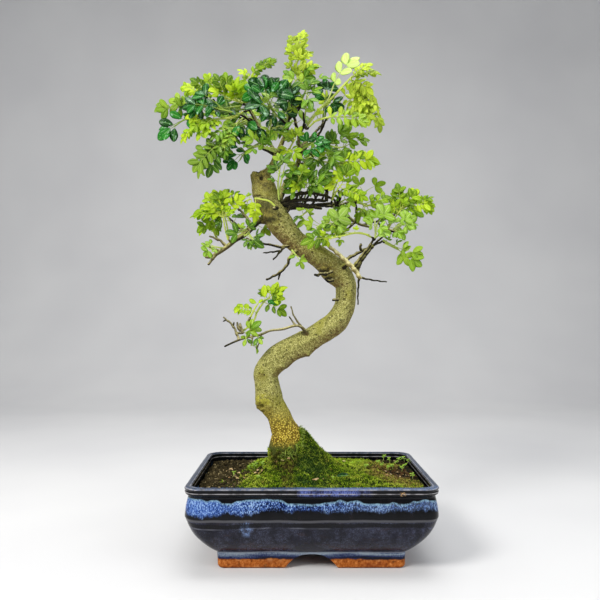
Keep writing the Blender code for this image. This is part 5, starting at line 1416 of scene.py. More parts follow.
def glaze_rim(g, colour, fine, speck, ragged):
    """A violet streak, painted highlight lines on the rim's edges, a brown chip and a painted sheen on the
    lip.
    """
    x, y, z = g.axes()
    streak = g.spread(g.noise(70, 3, 0.6, vector=g.place((1, 1, 0.5))), 0.42, 0.6, 0, 0.85)
    streak = streak * g.near(x, y, *VIOLET_SPOT) * g.spread(z, 0.08, 0.085)
    colour = g.mix(streak, colour, g.ramp(fine, (0.38, rgb(22, 28, 74)), (0.62, rgb(104, 120, 190))))
    # Painted highlight lines on the rim's top edge and lower ridge
    rim_highlight = g.between(z, *RIM_HIGHLIGHT_BAND)
    ridge_highlight = g.between(z, *RIDGE_HIGHLIGHT_BAND)
    thin = g.math("MAXIMUM", rim_highlight, ridge_highlight) * g.spread(ragged, 0.35, 0.6, 0.3, 0.8)
    colour = g.mix(thin, colour, rgba(158, 156, 158))
    chip = g.near(x, z, *CHIP_SPOT) * g.spread(y, -0.085, -0.09)
    chip = chip * g.spread(g.noise(480, 2, 0.6), 0.46, 0.54)
    colour = g.mix(chip, colour, g.ramp(speck, (0.4, rgb(120, 84, 46)), (0.6, rgb(206, 172, 124))))
    # Painted sheen on the front of the lip
    lip = g.spread(z, 0.0882, 0.0896) * g.spread(y, -0.078, -0.084)
    lip = lip * g.spread(x, -0.02, 0.03, 0.15, 1.0)
    colour = g.mix(lip * g.spread(fine, 0.4, 0.6, 0.1, 0.8), colour, rgba(104, 126, 164))
    crown = g.spread(z, 0.0876, 0.089) * g.spread(fine, 0.42, 0.6, 0.05, 0.55)
    return g.mix(crown, colour, rgba(74, 96, 132))


def glaze_waist(g, colour, z):
    """A dim line and a painted highlight line across the wall's lower half."""
    wave = z + (g.noise(18, 2) - 0.5) * 0.008
    dim = g.between(wave, *WAIST_DIM)
    dim = dim * g.spread(g.noise(14, 1), 0.38, 0.52, 0.1, 0.85)
    colour = g.mix(dim, colour, rgba(10, 10, 13))
    # A painted highlight line under the dim band
    waist_highlight = g.between(wave, *WAIST_HIGHLIGHT_BAND)
    return g.mix(waist_highlight * g.spread(g.noise(30, 2), 0.45, 0.62, 0, 0.55), colour, rgba(112, 114, 124))


def glaze_foot(g, colour, z, level, fine, ragged):
    """Blue bands on the foot, with a painted highlight line along their top edge."""
    band = g.spread(level, 0.0185, 0.0175) * g.spread(z, 0.008, 0.0095)
    bands = g.noise(75, 3, 0.6, vector=g.place((0.3, 1, 3)))
    bands = g.spread(z, 0.009, 0.017, -0.28, 0.2) + bands + (fine - 0.5) * 0.5
    foot = g.ramp(bands, (0.22, rgb(12, 14, 26)), (0.42, rgb(32, 42, 84)), (0.58, rgb(84, 98, 126)),
                  (0.74, rgb(148, 162, 176)))
    colour = g.mix(band * 0.92, colour, foot)
    # A painted highlight line along the top of the foot's band
    foot_highlight = g.between(level, *FOOT_HIGHLIGHT_BAND)
    return g.mix(foot_highlight * g.spread(ragged, 0.35, 0.55, 0.2, 0.8), colour, rgba(124, 128, 136))


def clay_colour(g, z, brim):
    """Bare clay, rusty and stained."""
    clay = g.ramp(g.noise(330, 4, 0.7), (0.3, rgb(92, 38, 8)), (0.48, rgb(160, 84, 26)),
                  (0.7, rgb(208, 136, 72)))
    clay = g.mix(g.spread(g.noise(60, 3, 0.6, vector=g.place((0.5, 1, 1))), 0.45, 0.65, 0, 0.55), clay,
                 rgba(112, 46, 14))
    clay = g.mix(g.spread(g.noise(85, 2, 0.5), 0.56, 0.68, 0, 0.55), clay, rgba(206, 146, 92))
    clay = g.mix(g.spread(g.noise(120, 3, 0.7), 0.60, 0.70, 0, 0.7), clay, rgba(44, 26, 14))
    clay = g.mix(g.spread(brim, 0.0088, 0.0100, 0, 0.7), clay, rgba(60, 28, 12))
    clay = g.mix(g.spread(z, 0.0020, 0.0004, 0, 0.7), clay, rgba(70, 34, 14))
    return g.mix(g.spread(g.cells(520), 0.16, 0.06, 0, 0.6), clay, rgba(70, 34, 14))


def glaze_material():
    """Blue-black glaze: a speckled cobalt run under the rim, a grey lower body, a bare clay foot."""
    g = Graph("glaze", Roughness=0.12, Specular_IOR_Level=0.14, Coat_Weight=COAT, Coat_Roughness=0.03)
    x, _, z = g.axes()
    slow = g.noise(26, 2)
    ragged = g.noise(150, 3, 0.6, vector=g.place((1, 1, 0.5)))
    fine = g.noise(760, 2, 0.7, vector=g.place((1, 1, 0.6)))
    speck = g.noise(1400, 1, 0.6)
    level = z + (slow - 0.5) * 0.0035
    drips = g.noise(75, 2, 0.5, vector=g.place((1, 1, 0.3)))
    edge = level + (ragged - 0.5) * 0.01 + (drips - 0.5) * 0.012
    edge += g.spread(x, -0.045 + POT_X, -0.105 + POT_X, 0, 0.0045)
    dark = g.ramp(ragged, (0.30, rgb(3, 4, 6)), (0.55, rgb(7, 8, 12)), (0.75, rgb(20, 16, 19)))
    body = glaze_body(g, x, z, fine, speck)
    cobalt = glaze_cobalt(g, x, level, fine, speck, drips)
    scallop = g.spread(g.noise(34, 2, vector=g.place((1, 1, 0.2))), 0.42, 0.60, 0, 0.0042)
    crest = level + scallop
    colour = g.mix(g.spread(level, 0.0560, 0.0590), body, dark)
    belly = g.between(level, *BELLY_LINE)
    colour = g.mix(belly * 0.8, colour, rgba(84, 84, 88))
    run = g.spread(edge, 0.0655, 0.07) * g.spread(crest, 0.079, 0.0776)
    colour = g.mix(run, colour, cobalt)
    line = g.between(crest, *RUN_LINE)
    colour = g.mix(line * g.spread(fine, 0.35, 0.6, 0.1, 0.7), colour, rgba(122, 156, 172))
    colour = glaze_rim(g, colour, fine, speck, ragged)
    colour = glaze_waist(g, colour, z)
    colour = glaze_foot(g, colour, z, level, fine, ragged)
    brim = z + (ragged - 0.5) * 0.0034 + (g.noise(30, 2) - 0.5) * 0.005
    bare = g.spread(brim, 0.0103, 0.0098)
    down = g.axes(g.add("NewGeometry", {}, "True Normal"))[2]
    under = g.spread(down, -0.55, -0.8) * g.spread(z, 0.0165, 0.0155)
    bare = g.math("MAXIMUM", bare, under)
    colour = g.mix(bare, colour, clay_colour(g, z, brim))
    g.set("Base Color", colour)
    g.set("Roughness", g.spread(bare, 0, 1, 0.15, 0.85))
    g.set("Coat Weight", g.math("SUBTRACT", COAT, bare * COAT, clamp=True))
    g.bump(slow * 0.6 + g.noise(420, 3, 0.6) * 0.5, 0.0006, 0.35)
    return g.material


# Wood

# Branches at least this thick, in mm, are grown into one skin with the trunk.
MERGED_RADIUS = 3.0
TRUNK_VOXEL = 0.00087
SKIN_STEPS = 5
SKIN_SIDES = 40
BRANCH_SIDES = 14

# How many of the nearest wood points are looked at for a point of the bark, and how far from them it may
# lie: in radii, and in metres beyond that
GIRTH_POINTS = 24
GIRTH_REACH = 1.3
GIRTH_SLACK = 0.0004

# Lumps all over the bark: how close together, height in mm
BARK_LUMPS = ((55, 0.55), (160, 0.25), (520, 0.13))

# Thin branches: the distance from bud to bud, the sides and steps of their tubes, the reach in metres and
# the rise as a share of knots and of the flare at their start, and their kinks in metres
TWIG_NODE = 0.009
TWIG_SIDES = 9
TWIG_STEP = 0.0011
KNOT_REACH = 0.0011
KNOT_RISE = 0.26
FLARE_REACH = 0.0025
FLARE_RISE = 0.35
KINK = 0.00025
STURDY_SCALE = 1.3
TWIG_SEED = 5

# The bright knob low on the trunk: column and row, its height and its reach across and up in metres
KNOB_PLACE = (264, 398)
KNOB_HEIGHT = 0.169
KNOB_REACH = (0.011, 0.009)

# Small swellings and hollows of the bark: column, row, rise and reach in mm
NUBS = (
    (260, 400, 1.8, 3.5), (266, 396, 1.2, 3.0), (270, 405, 1.4, 2.6), (258, 407, 1.2, 2.4),
    (262.5, 405.5, -3.2, 1.9), (264, 411, -1.4, 2.2), (267, 400, 0.9, 2.0), (257, 403, 1.4, 1.8),
    (283, 366, 2.6, 2.4), (308, 354, 2.8, 2.4), (270, 358, 1.0, 3.5), (262, 372, 1.2, 3.0),
    (340, 321, 1.2, 1.8), (331, 332, -0.8, 1.6), (322, 270, 1.6, 2.8), (327, 277, 2.2, 2.6),
    (333, 280, 1.8, 2.4), (318, 264, 1.6, 2.2), (335, 262, 1.6, 3.0), (313, 262, 1.2, 2.2),
    (270, 222, 1.6, 3.0), (276, 228, 1.2, 2.6), (280, 218, -1.2, 2.6), (268, 213, -1.4, 2.4),
    (255, 190, 1.6, 3.0), (262, 180, -1.2, 2.2), (256, 177, 1.8, 2.6), (266, 176, 1.2, 2.2),
    (268, 196, 1.6, 3.2), (260, 201, 1.0, 2.6), (296, 232, 0.8, 4.0), (289, 245, 1.4, 2.4),
    (296, 418, -2.6, 7.0), (290, 408, -1.2, 6.0), (303, 432, 1.8, 5.0), (264.5, 171.5, 2.6, 2.0),
    (254, 175, 1.4, 2.2), (259, 173, -1.6, 1.8), (253, 198.5, -1.3, 1.5), (257, 198.5, -1.3, 1.5),
    (261, 198, -1.0, 1.5), (266, 219, 1.6, 3.0), (268, 224, -1.4, 2.4), (274, 222, -1.2, 2.2),
    (349, 296, 0.7, 3.0), (338, 300, 0.6, 3.0), (300, 333, 0.9, 3.5), (318, 346, 0.8, 3.0),
)

# Craggy stretches of bark: column, row, reach in mm
RUGGED = ((262, 180, 16), (268, 216, 12), (327, 272, 12), (262, 403, 9))

# Small dark spots: painted shade in four hollows of the bark, and one dark thorn. Column, row, reach in mm
HOLLOW_SHADE_AND_THORN_SPOTS = ((262.5, 405.5, 3.2), (340, 320, 1.8), (280, 218, 3.5), (262, 181, 3.0), (331, 333, 1.6))

# Darker areas of bark: most are painted shade on the top stub, in its crease and hollows and round the
# hollow low on the trunk, the rest dark crust, knots and darker bark. Column, row, half width and half height
# in the front view, share, colour
SHADE_AND_DARK_BARK_ZONES = (
    (266, 207, 10, 9, 0.72, (44, 42, 18)), (268, 190, 7, 7, 0.45, (70, 62, 32)),
    (270, 223, 11, 4, 0.85, (34, 24, 10)), (257, 198.5, 8, 1.6, 0.9, (34, 28, 12)),
    (262, 412, 8, 3.2, 0.8, (40, 34, 12)), (258, 408, 3, 3, 0.7, (34, 28, 12)),
    (259, 174, 3, 3, 0.8, (24, 20, 10)), (300, 240, 6, 9, 0.3, (70, 62, 30)),
    (326, 276, 10, 7, 0.5, (76, 72, 20)), (270, 213, 12, 14, 0.45, (58, 62, 24)),
    (316, 258, 18, 8, 0.35, (74, 74, 28)), (322, 272, 9, 3.5, 0.9, (22, 20, 8)),
    (329, 279, 7, 2.5, 0.95, (18, 16, 6)), (305, 333, 5, 3.5, 0.8, (48, 36, 16)),
)


def smooth_line(line, steps):
    """A branch's centre points in metres and radii in mm, smoothed between its given points."""
    rows = catmull([(*front(*step[:3]), step[3]) for step in line], steps)
    return rows[:, :3], rows[:, 3]


def wood_tree():
    """Finds the wood that lies nearest to a point."""
    tree = KDTree(len(WOOD))
    for i, (point, _, _) in enumerate(WOOD):
        tree.insert(point, i)
    tree.balance()
    return tree


def girth_at(point):
    """The radius in mm of the thickest wood that this point of the bark lies on."""
    found = [(WOOD[i][1], far) for _, i, far in WOOD_TREE.find_n(point, GIRTH_POINTS)]
    near = [radius for radius, far in found if far < GIRTH_REACH * radius + GIRTH_SLACK]
    return (max(near) if near else found[0][0]) / MM


def trunk_solid():
    """The trunk and the thick branches as tubes, grown into one skin with soft forks."""
    skins = [loft(trunk_rings(SKIN_STEPS, SKIN_SIDES))]
    for line in BRANCHES.values():
        if max(step[3] for step in line) >= MERGED_RADIUS:
            centres, radii = smooth_line(line, 4)
            points, groups = sweep(centres, radii * MM, BRANCH_SIDES)
            skins.append((points, [tuple(face) for group in groups for face in group]))
    points = []
    faces = []
    for part_points, part_faces in skins:
        faces += [tuple(i + len(points) for i in face) for face in part_faces]
        points += [tuple(p) for p in part_points]
    trunk = solid_object("bark_trunk", points, faces)
    remesh = trunk.modifiers.new("grow", "REMESH")
    remesh.mode = "VOXEL"
    remesh.voxel_size = TRUNK_VOXEL
    soften = trunk.modifiers.new("soften", "SMOOTH")
    soften.factor = 0.5
    soften.iterations = 3
    apply_modifiers(trunk)
    return trunk


def closeness(points, column, row, reach):
    """For each point 1 at this place of the front view, falling off over the reach in mm."""
    spot = front(column, row)
    far = np.hypot(points[:, 0] - spot.x, points[:, 2] - spot.z) / (reach * MM)
    return np.exp(-far ** 2)


def carve_bark(points, normals, girth):
    """Moves the bark's points for its lumps, crags and nubs, and gives how craggy it is at each."""
    rough = np.clip(girth / 9, 0.25, 1)
    for scale, height in BARK_LUMPS:
        points += normals * (noise_at(points, scale, 5) * rough * height * MM)[:, None]
    rugged = np.zeros(len(points))
    for place in RUGGED:
        rugged = np.maximum(rugged, closeness(points, *place))
    crags = 1.3 * noise_at(points, 170, 11) + 0.6 * noise_at(points, 420, 12)
    points += normals * (crags * rugged * rough * MM)[:, None]
    facing = np.clip(0.55 - normals[:, 1], 0, 1)
    for column, row, rise, reach in NUBS:
        points += normals * (rise * MM * closeness(points, column, row, reach) * facing)[:, None]
    return rugged


def make_trunk():
    """The trunk and the thick branches, with a pored bark."""
    trunk = trunk_solid()
    mesh = trunk.data
    points = read_points(mesh)
    girth = np.array([girth_at(p) for p in points])
    rugged = carve_bark(points, read_normals(mesh), girth)
    set_points(mesh, points)
    set_grain(mesh, np.stack([girth, np.zeros(len(points)), rugged], 1))
    mesh.transform(Matrix.Translation((POT_X, 0, 0)))
    mesh.shade_smooth()
    mesh.materials.clear()
    mesh.materials.append(bark_material())
    return piece(trunk, "bark", "trunk")


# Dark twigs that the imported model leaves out: column, row, depth in mm, radius in mm
MORE_TWIGS = (
    ((280, 204, -6, 2.4), (290, 197, -10, 2.2), (300, 193.5, -12, 2.1), (314, 193, -12, 1.9),
     (325, 196, -10, 1.4)),
    ((279, 205, -5, 3.0), (290, 204, -8, 2.9), (306, 206, -10, 2.6), (315, 207, -10, 2.0),
     (322, 209, -10, 1.3)),
    ((294, 204, -9, 1.4), (298, 194, -11, 1.2)), ((304, 205, -10, 1.3), (309, 194, -12, 1.1)),
    ((312, 205, -10, 1.3), (318, 194, -12, 1.1)), ((291, 206, -9, 1.6), (287, 213, -9, 1.1)),
    ((325, 196, -10, 1.3), (333, 199, -10, 1.2), (338, 206, -9, 1.1), (345, 212, -8, 0.9)),
    ((325, 196, -10, 1.2), (328, 188, -11, 1.1), (331, 181, -12, 1.3)),
    ((361, 251.5, -5, 1.0), (360.5, 247, -6, 1.4), (361, 243.5, -6, 1.7)),
    ((299, 136, -2, 1.9), (296, 124, -4, 1.5), (294, 116, -4, 1.8)),
    ((288, 120, 2, 1.6), (292, 110, 0, 1.4), (291, 104, 0, 1.1)),
    ((318, 136, -2, 1.2), (323, 126, -3, 1.0), (327, 118, -3, 0.8)),
    ((233, 326, -8, 0.9), (234, 322, -9, 0.7)), ((226, 320, -8, 0.8), (223, 321.5, -9, 0.7)),
    ((219, 251, -5, 1.4), (214, 249, -8, 1.2), (209, 247, -9, 0.9)),
    ((246, 120, -3, 1.2), (238, 117, -8, 1.0), (228, 113, -10, 0.8)),
    ((340, 299, 0, 1.5), (334, 300, -4, 1.4), (332.5, 300.5, -5, 1.5)),
    ((326, 274, -12, 1.8), (320, 274, -16, 1.4), (318, 275.5, -17, 1.6), (314, 275, -17, 1.0)),
    ((333, 280, -8, 1.6), (328, 281, -12, 1.5), (325, 278.5, -13, 1.3)),
    ((296, 112, -8, 1.2), (302, 106, -14, 1.0), (306, 100, -17, 0.8)),
    ((300, 135, -3, 1.6), (304, 124, -12, 1.2), (303, 112, -15, 0.9)),
    ((290, 110, 0, 2.6), (289, 116, -3, 2.9), (291, 119, -3, 2.2)),
    ((336, 205, -6, 1.6), (340, 198, -11, 1.5), (338, 190, -13, 1.3)),
    ((285, 201, -7, 1.8), (300, 200, -11, 2.0), (314, 200, -12, 1.8), (326, 201, -10, 1.5)),
    ((300, 200, -11, 1.2), (303, 194, -12, 1.0)), ((316, 201, -11, 1.2), (314, 193, -12, 1.0)),
    ((322, 201, -10, 1.2), (324, 194, -11, 1.0)), ((289, 200, -8, 1.2), (293, 194, -10, 1.0)),
    ((326, 201, -10, 1.8), (327, 193, -11, 1.8), (326, 186, -12, 2.2), (330, 180, -12, 1.6)),
    ((326, 188, -12, 1.6), (332, 185, -12, 1.5), (335, 180, -12, 1.0)),
    ((383, 229, -6, 1.6), (390, 230, -8, 1.8), (396, 233, -8, 1.2)),
    ((243, 333, -9, 1.6), (241, 328, -10, 1.5), (240, 323, -10, 1.3)),
    ((241, 331, -9, 1.5), (238, 327, -10, 1.3), (237, 322, -10, 1.1)),
    ((247, 325, -9, 1.4), (249, 320, -10, 1.3), (250, 317, -10, 1.5)),
    ((372, 246, -3, 2.2), (366, 254, -5, 2.2), (360, 263, -5, 2.2), (356, 274, -4, 2.6)),
)

# How far a twig is painted towards the pale colour of the cut branch: partly its pale bark, partly painted
# light
PALE_TWIG_SHARES = {"low_twig_c": 0.3, "low_twig_a": 0.3, "left_twig_up": 0.4, "dark_chain": 0.35}

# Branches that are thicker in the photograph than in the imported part
STURDY = ("low_left", "low_twig_c", "left_twig_up", "bare_d", "right_dark", "dark_chain", "dark_up")


def twig_lines():
    """The thin branches and the shoots' spurs: name, centres in metres and radii in mm."""
    lines = [(name, *smooth_line(line, 5)) for name, line in BRANCHES.items()
             if max(step[3] for step in line) < MERGED_RADIUS]
    lines += [("twig", *smooth_line(line, 5)) for line in MORE_TWIGS]
    for name, (_, shoot, _) in SPRAYS.items():
        path, radii = spur_path(name, shoot)
        rows = catmull([(*p, r) for p, r in zip(path, radii)], 4)
        lines.append((name, rows[:, :3], rows[:, 3]))
    return lines


def knotted(centres, radii, phase, scale):
    """The line in short steps, flared where it starts, with a knot at each bud and a slight kink."""
    length = np.linalg.norm(np.diff(centres, axis=0), axis=1).cumsum()
    length = np.concatenate([[0], length])
    steps = max(4, int(length[-1] / TWIG_STEP))
    marks = np.linspace(0, length[-1], steps)
    centres = np.stack([np.interp(marks, length, centres[:, k]) for k in range(3)], 1)
    radii = np.interp(marks, length, radii) * scale
    knots = KNOT_RISE * np.exp(-((((marks + phase) % TWIG_NODE) - TWIG_NODE / 2) / KNOT_REACH) ** 2)
    flare = FLARE_RISE * np.exp(-marks / FLARE_REACH)
    taper = np.where(np.arange(steps) == steps - 1, 0.55, 1.0)
    radii = radii * (1 + knots + flare + 0.05 * np.sin(marks * 2400 + phase * 900)) * taper
    kink = KINK * np.stack([np.sin(marks * 700 + phase * k * 900) for k in (1, 2, 3)], 1)
    kink[0] = kink[-1] = 0
    return centres + kink, radii


def make_twigs(material):
    """The thin branches and the spurs that carry the shoots, knotted where buds sat."""
    skin = Skin()
    draw = random.Random(TWIG_SEED)
    for name, centres, radii in twig_lines():
        scale = STURDY_SCALE if name in STURDY else 1
        centres, radii = knotted(centres, radii, draw.uniform(0, TWIG_NODE), scale)
        points, faces = sweep(centres, radii * MM, TWIG_SIDES)
        tone = draw.uniform(0, 1)
        pale = 1.0 if name.startswith("pale") else PALE_TWIG_SHARES.get(name, 0.0)
        values = np.stack([radii, np.full(len(radii), pale), np.full(len(radii), tone)], 1)
        skin.add(points, faces, np.repeat(values, TWIG_SIDES, axis=0))
    return piece(skin.make("twigs", material), "bark")


# The dark branches behind the trunk, painted near black: their dark bark and painted shade. Column, row,
# reach across and up
SHADED_DARK_BRANCHES = (303, 203, 34, 13)

# Thin wood painted pale, partly its pale bark and partly painted light: column, row, reach across and up,
# share
PALE_WOOD_ZONES = ((270, 332, 46, 18, 0.5), (228, 246, 42, 30, 0.35))


def bark_marks(g, colour, medium):
    """Painted shade and dark crust on areas of the trunk's bark, painted shade in its small hollows, and a
    dark thorn.
    """
    _, y, _ = g.axes()
    # Painted shade, and dark crust and knots, on areas of the bark
    for column, row, wide, tall, share, shade in SHADE_AND_DARK_BARK_ZONES:
        mark = g.patch(column, row, wide, tall) * g.spread(medium, 0.66, 0.4, 0.5 * share, share)
        colour = g.mix(mark, colour, rgba(*shade))
    # Painted shade in small hollows of the bark, and one dark thorn
    for column, row, reach in HOLLOW_SHADE_AND_THORN_SPOTS:
        mark = g.patch(column, row, reach * MM / GRID, reach * MM / GRID) * g.spread(y, 0.0, -0.003)
        colour = g.mix(mark * g.spread(medium, 0.62, 0.42, 0.3, 1), colour, rgba(34, 28, 12))
    return colour


def lower_bark(g, colour, z, fine, medium, low, granule):
    """The trunk's lower end: greener, then golden and granular, then darker at the foot."""
    lower = g.spread(z + medium * 0.03, 0.205, 0.15, 0, 0.55)
    colour = g.mix(lower, colour, g.ramp(fine, (0.35, rgb(110, 102, 24)), (0.6, rgb(170, 160, 56))))
    gold = g.ramp(granule, (0.10, rgb(244, 224, 116)), (0.36, rgb(190, 166, 54)), (0.58, rgb(104, 82, 16)))
    colour = g.mix(low, colour, gold)
    # Darker at the trunk's foot
    dark_foot = g.spread(z + medium * 0.016, 0.133, 0.122)
    return g.mix(dark_foot, colour, g.ramp(fine, (0.3, rgb(34, 40, 10)), (0.7, rgb(92, 100, 30))))


def thin_wood(g, colour, girth, tone, down, fine):
    """Dark twigs with painted light on top, painted shade under thick branches and on the dark wood behind
    the trunk.
    """
    thin = g.spread(girth, 3.0, 1.4)
    # Painted light on the twigs' upper side
    upper = g.spread(down, -0.45, 0.4, 0, 0.5) * g.spread(girth, 0.9, 1.8, 0.2, 1.0)
    light = fine * 0.55 + tone * 0.12 + upper
    twig = g.ramp(light, (0.40, rgb(8, 7, 4)), (0.55, rgb(36, 31, 18)), (0.72, rgb(124, 114, 70)),
                  (0.86, rgb(192, 184, 132)))
    # The dark branches behind the trunk, painted near black: dark bark and painted shade
    black = g.patch(*SHADED_DARK_BRANCHES) * g.spread(girth, 6.5, 4.5)
    colour = g.mix(thin * 0.92, colour, twig)
    # Painted shade on the undersides of the thick branches
    under = g.spread(down, 0.1, -0.35) * g.spread(girth, 8.0, 5.5, 0, 0.92)
    colour = g.mix(under, colour, rgba(18, 14, 8))
    return g.mix(black, colour, g.ramp(fine, (0.36, rgb(10, 9, 5)), (0.56, rgb(36, 32, 18)),
                                       (0.76, rgb(88, 80, 46))))


def bark_material():
    """Olive-tan bark with pale pores and dark specks, golden and green low down, dark on thin wood."""
    g = Graph("bark", Roughness=0.88, Specular_IOR_Level=0.25)
    x, _, z = g.axes()
    girth, pale, tone = g.grain()
    for column, row, wide, tall, share in PALE_WOOD_ZONES:
        mark = g.patch(column, row, wide, tall) * g.spread(girth, 3.6, 2.4, 0, share)
        pale = g.math("MAXIMUM", pale, mark)
    fine = g.noise(1000, 3, 0.65)
    medium = g.noise(300, 3, 0.6)
    slow = g.noise(48, 2)
    down = g.axes(g.add("NewGeometry", {}, "Normal"))[2]
    colour = g.ramp(fine, (0.30, rgb(58, 56, 20)), (0.43, rgb(120, 117, 56)), (0.56, rgb(174, 171, 98)),
                    (0.72, rgb(226, 222, 156)))
    colour = g.mix(g.spread(medium, 0.48, 0.66, 0, 0.8), colour, rgba(90, 90, 34))
    colour = g.mix(g.spread(slow, 0.48, 0.66, 0, 0.6), colour, rgba(138, 136, 50))
    pore = g.spread(g.cells(330, g.place((1, 1, 1.5))), 0.24, 0.14)
    colour = g.mix(pore * g.spread(medium, 0.4, 0.55, 0.15, 0.7), colour, rgba(208, 200, 138))
    speck = g.spread(g.cells(190), 0.26, 0.14) * g.spread(slow, 0.3, 0.52, 0.25, 1)
    pit = g.spread(g.cells(430), 0.3, 0.16) * g.spread(g.noise(120, 2), 0.38, 0.56, 0.2, 0.8)
    colour = g.mix(pit, colour, rgba(84, 74, 28))
    colour = g.mix(speck * 0.85, colour, rgba(52, 44, 16))
    shade = g.spread(down, 0.15, -0.75) * g.spread(medium, 0.35, 0.6, 0.45, 1.0)
    colour = g.mix(shade * 0.8, colour, g.ramp(fine, (0.35, rgb(50, 38, 16)), (0.65, rgb(122, 82, 48))))
    bright = g.near(x, z, (front(*KNOB_PLACE).x + POT_X, KNOB_HEIGHT), KNOB_REACH)
    bright = bright * g.spread(medium, 0.42, 0.56, 0, 0.5)
    craggy = g.ramp(medium * 0.6 + fine * 0.4, (0.38, rgb(40, 34, 12)), (0.5, rgb(112, 98, 44)),
                    (0.62, rgb(168, 158, 72)))
    colour = g.mix(tone * g.spread(girth, 3.0, 6.0, 0, 0.85), colour, craggy)
    colour = bark_marks(g, colour, medium)
    colour = g.mix(bright, colour, g.ramp(fine, (0.35, rgb(128, 124, 10)), (0.6, rgb(206, 204, 66))))
    low = g.spread(z + medium * 0.022, 0.178, 0.142)
    granule = g.cells(520)
    colour = lower_bark(g, colour, z, fine, medium, low, granule)
    colour = thin_wood(g, colour, girth, tone, down, fine)
    # The pale cut branch's colour, with painted light on its upper side
    cut = g.ramp(fine * 0.6 + g.spread(down, -0.6, 0.6, 0, 0.3), (0.3, rgb(136, 122, 66)),
                 (0.6, rgb(238, 230, 170)))
    colour = g.mix(pale * 0.85, colour, cut)
    g.set("Base Color", colour)
    g.set("Roughness", g.spread(fine, 0.3, 0.7, 0.78, 0.95))
    height = fine * 0.5 + medium * 0.7 - speck * 0.8 - granule * low * 1.4
    g.bump(height, 0.0009, 0.9)
    return g.material


# Leaves

# How a colour's leaflets grow: more pairs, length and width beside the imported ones, fold and droop
LOOKS = {
    "young": dict(pairs=1.7, long=0.80, wide=0.54, fold=0.34, droop=0.22, curl=0.10, blunt=0.75),
    "mid": dict(pairs=1.25, long=0.92, wide=0.54, fold=0.26, droop=0.20, curl=0.06, blunt=0.85),
    "pale": dict(pairs=1.1, long=0.98, wide=0.64, fold=0.18, droop=0.14, curl=0.05, blunt=0.95),
    "dark": dict(pairs=0.9, long=1.06, wide=0.60, fold=0.18, droop=0.12, curl=0.04, blunt=1.0),
}

# Where a leaflet's rows lie along it, and the sizes of blades, stems and stalks in metres
BLADE_ROWS = (0.0, 0.07, 0.18, 0.32, 0.47, 0.62, 0.76, 0.88, 0.96, 1.0)
BLADE_THICK = 0.00030
STEM_RADIUS = 0.00115
STEM_TAPER = 0.35
STEM_END = 0.6
STEM_SIDES = 8
STEM_STEPS = 6
STALK_THICK = 0.00062
STALK_TAPER = 0.00030
STALK_FOOT = 0.0009
STALK_STEPS = 12
MORE_SEED = 23

# How leaflets differ: factors of fold and droop, then twist in radians, ripple, phase and bend
FOLD_RANGE = (0.6, 1.4)
DROOP_RANGE = (0.3, 1.5)
LEAFLET_TWIST = 0.35
RIPPLE_RANGE = (0.03, 0.08)
PHASE_RANGE = (0, 6.28)
LEAFLET_BEND = 0.10

# How they differ on a leaf: lean in degrees, size, rise above the rib, tilt, place on the rib and tone
LEAN_RANGE = 9
SIZE_RANGE = (0.86, 1.06)
RISE_RANGE = (-0.12, 0.25)
TILT = 0.3
SLIP = 0.012
TONE_RANGE = 0.25
LEAFLET_GAP = 0.0002

# Leaves of the second table: drift of the tip in mm, then roll in degrees and lift, for leaves with pairs of
# leaflets and for single leaflets
MORE_DRIFT = 2
MORE_ROLL = 30
MORE_LIFT = (0.1, 0.7)
SINGLE_ROLL = 12
SINGLE_LIFT = 0.15


def blade_half(u, blunt):
    """Half the width of a leaflet at this share of its length: pointed, or broad beyond the middle."""
    pointed = math.sin(math.pi * u ** 0.85) ** 0.9
    broad = math.sin(math.pi * u ** 1.25) ** 0.62
    return (pointed + (broad - pointed) * blunt) * (1 if u < 1 else 0)


def leaflet_rows(root, way, above, long, wide, look, draw):
    """Five points across a leaflet at each of its rows, folded along the midrib, drooping and rippled."""
    across = way.cross(above).normalized()
    fold = look["fold"] * draw.uniform(*FOLD_RANGE)
    droop = look["droop"] * draw.uniform(*DROOP_RANGE)
    twist = draw.uniform(-LEAFLET_TWIST, LEAFLET_TWIST)
    ripple = draw.uniform(*RIPPLE_RANGE)
    phase = draw.uniform(*PHASE_RANGE)
    bend = draw.uniform(-LEAFLET_BEND, LEAFLET_BEND)
    rows = []
    for u in BLADE_ROWS:
        half = wide * blade_half(u, look["blunt"])
        turn = twist * u
        side = across * math.cos(turn) + above * math.sin(turn)
        lift = above * math.cos(turn) - across * math.sin(turn)
        spine = root + way * long * (u - 0.10 * droop * u * u) - above * long * droop * u * u
        spine += across * long * bend * u * u
        row = []
        for v in (-1, -0.5, 0, 0.5, 1):
            wave = ripple * math.sin(9 * u + phase + (2 if v > 0 else 0)) * v * v
            rise = fold * abs(v) - look["curl"] * v * v + wave
            row.append((spine + side * half * v + lift * half * rise, u, v))
        rows.append(row)
    return rows


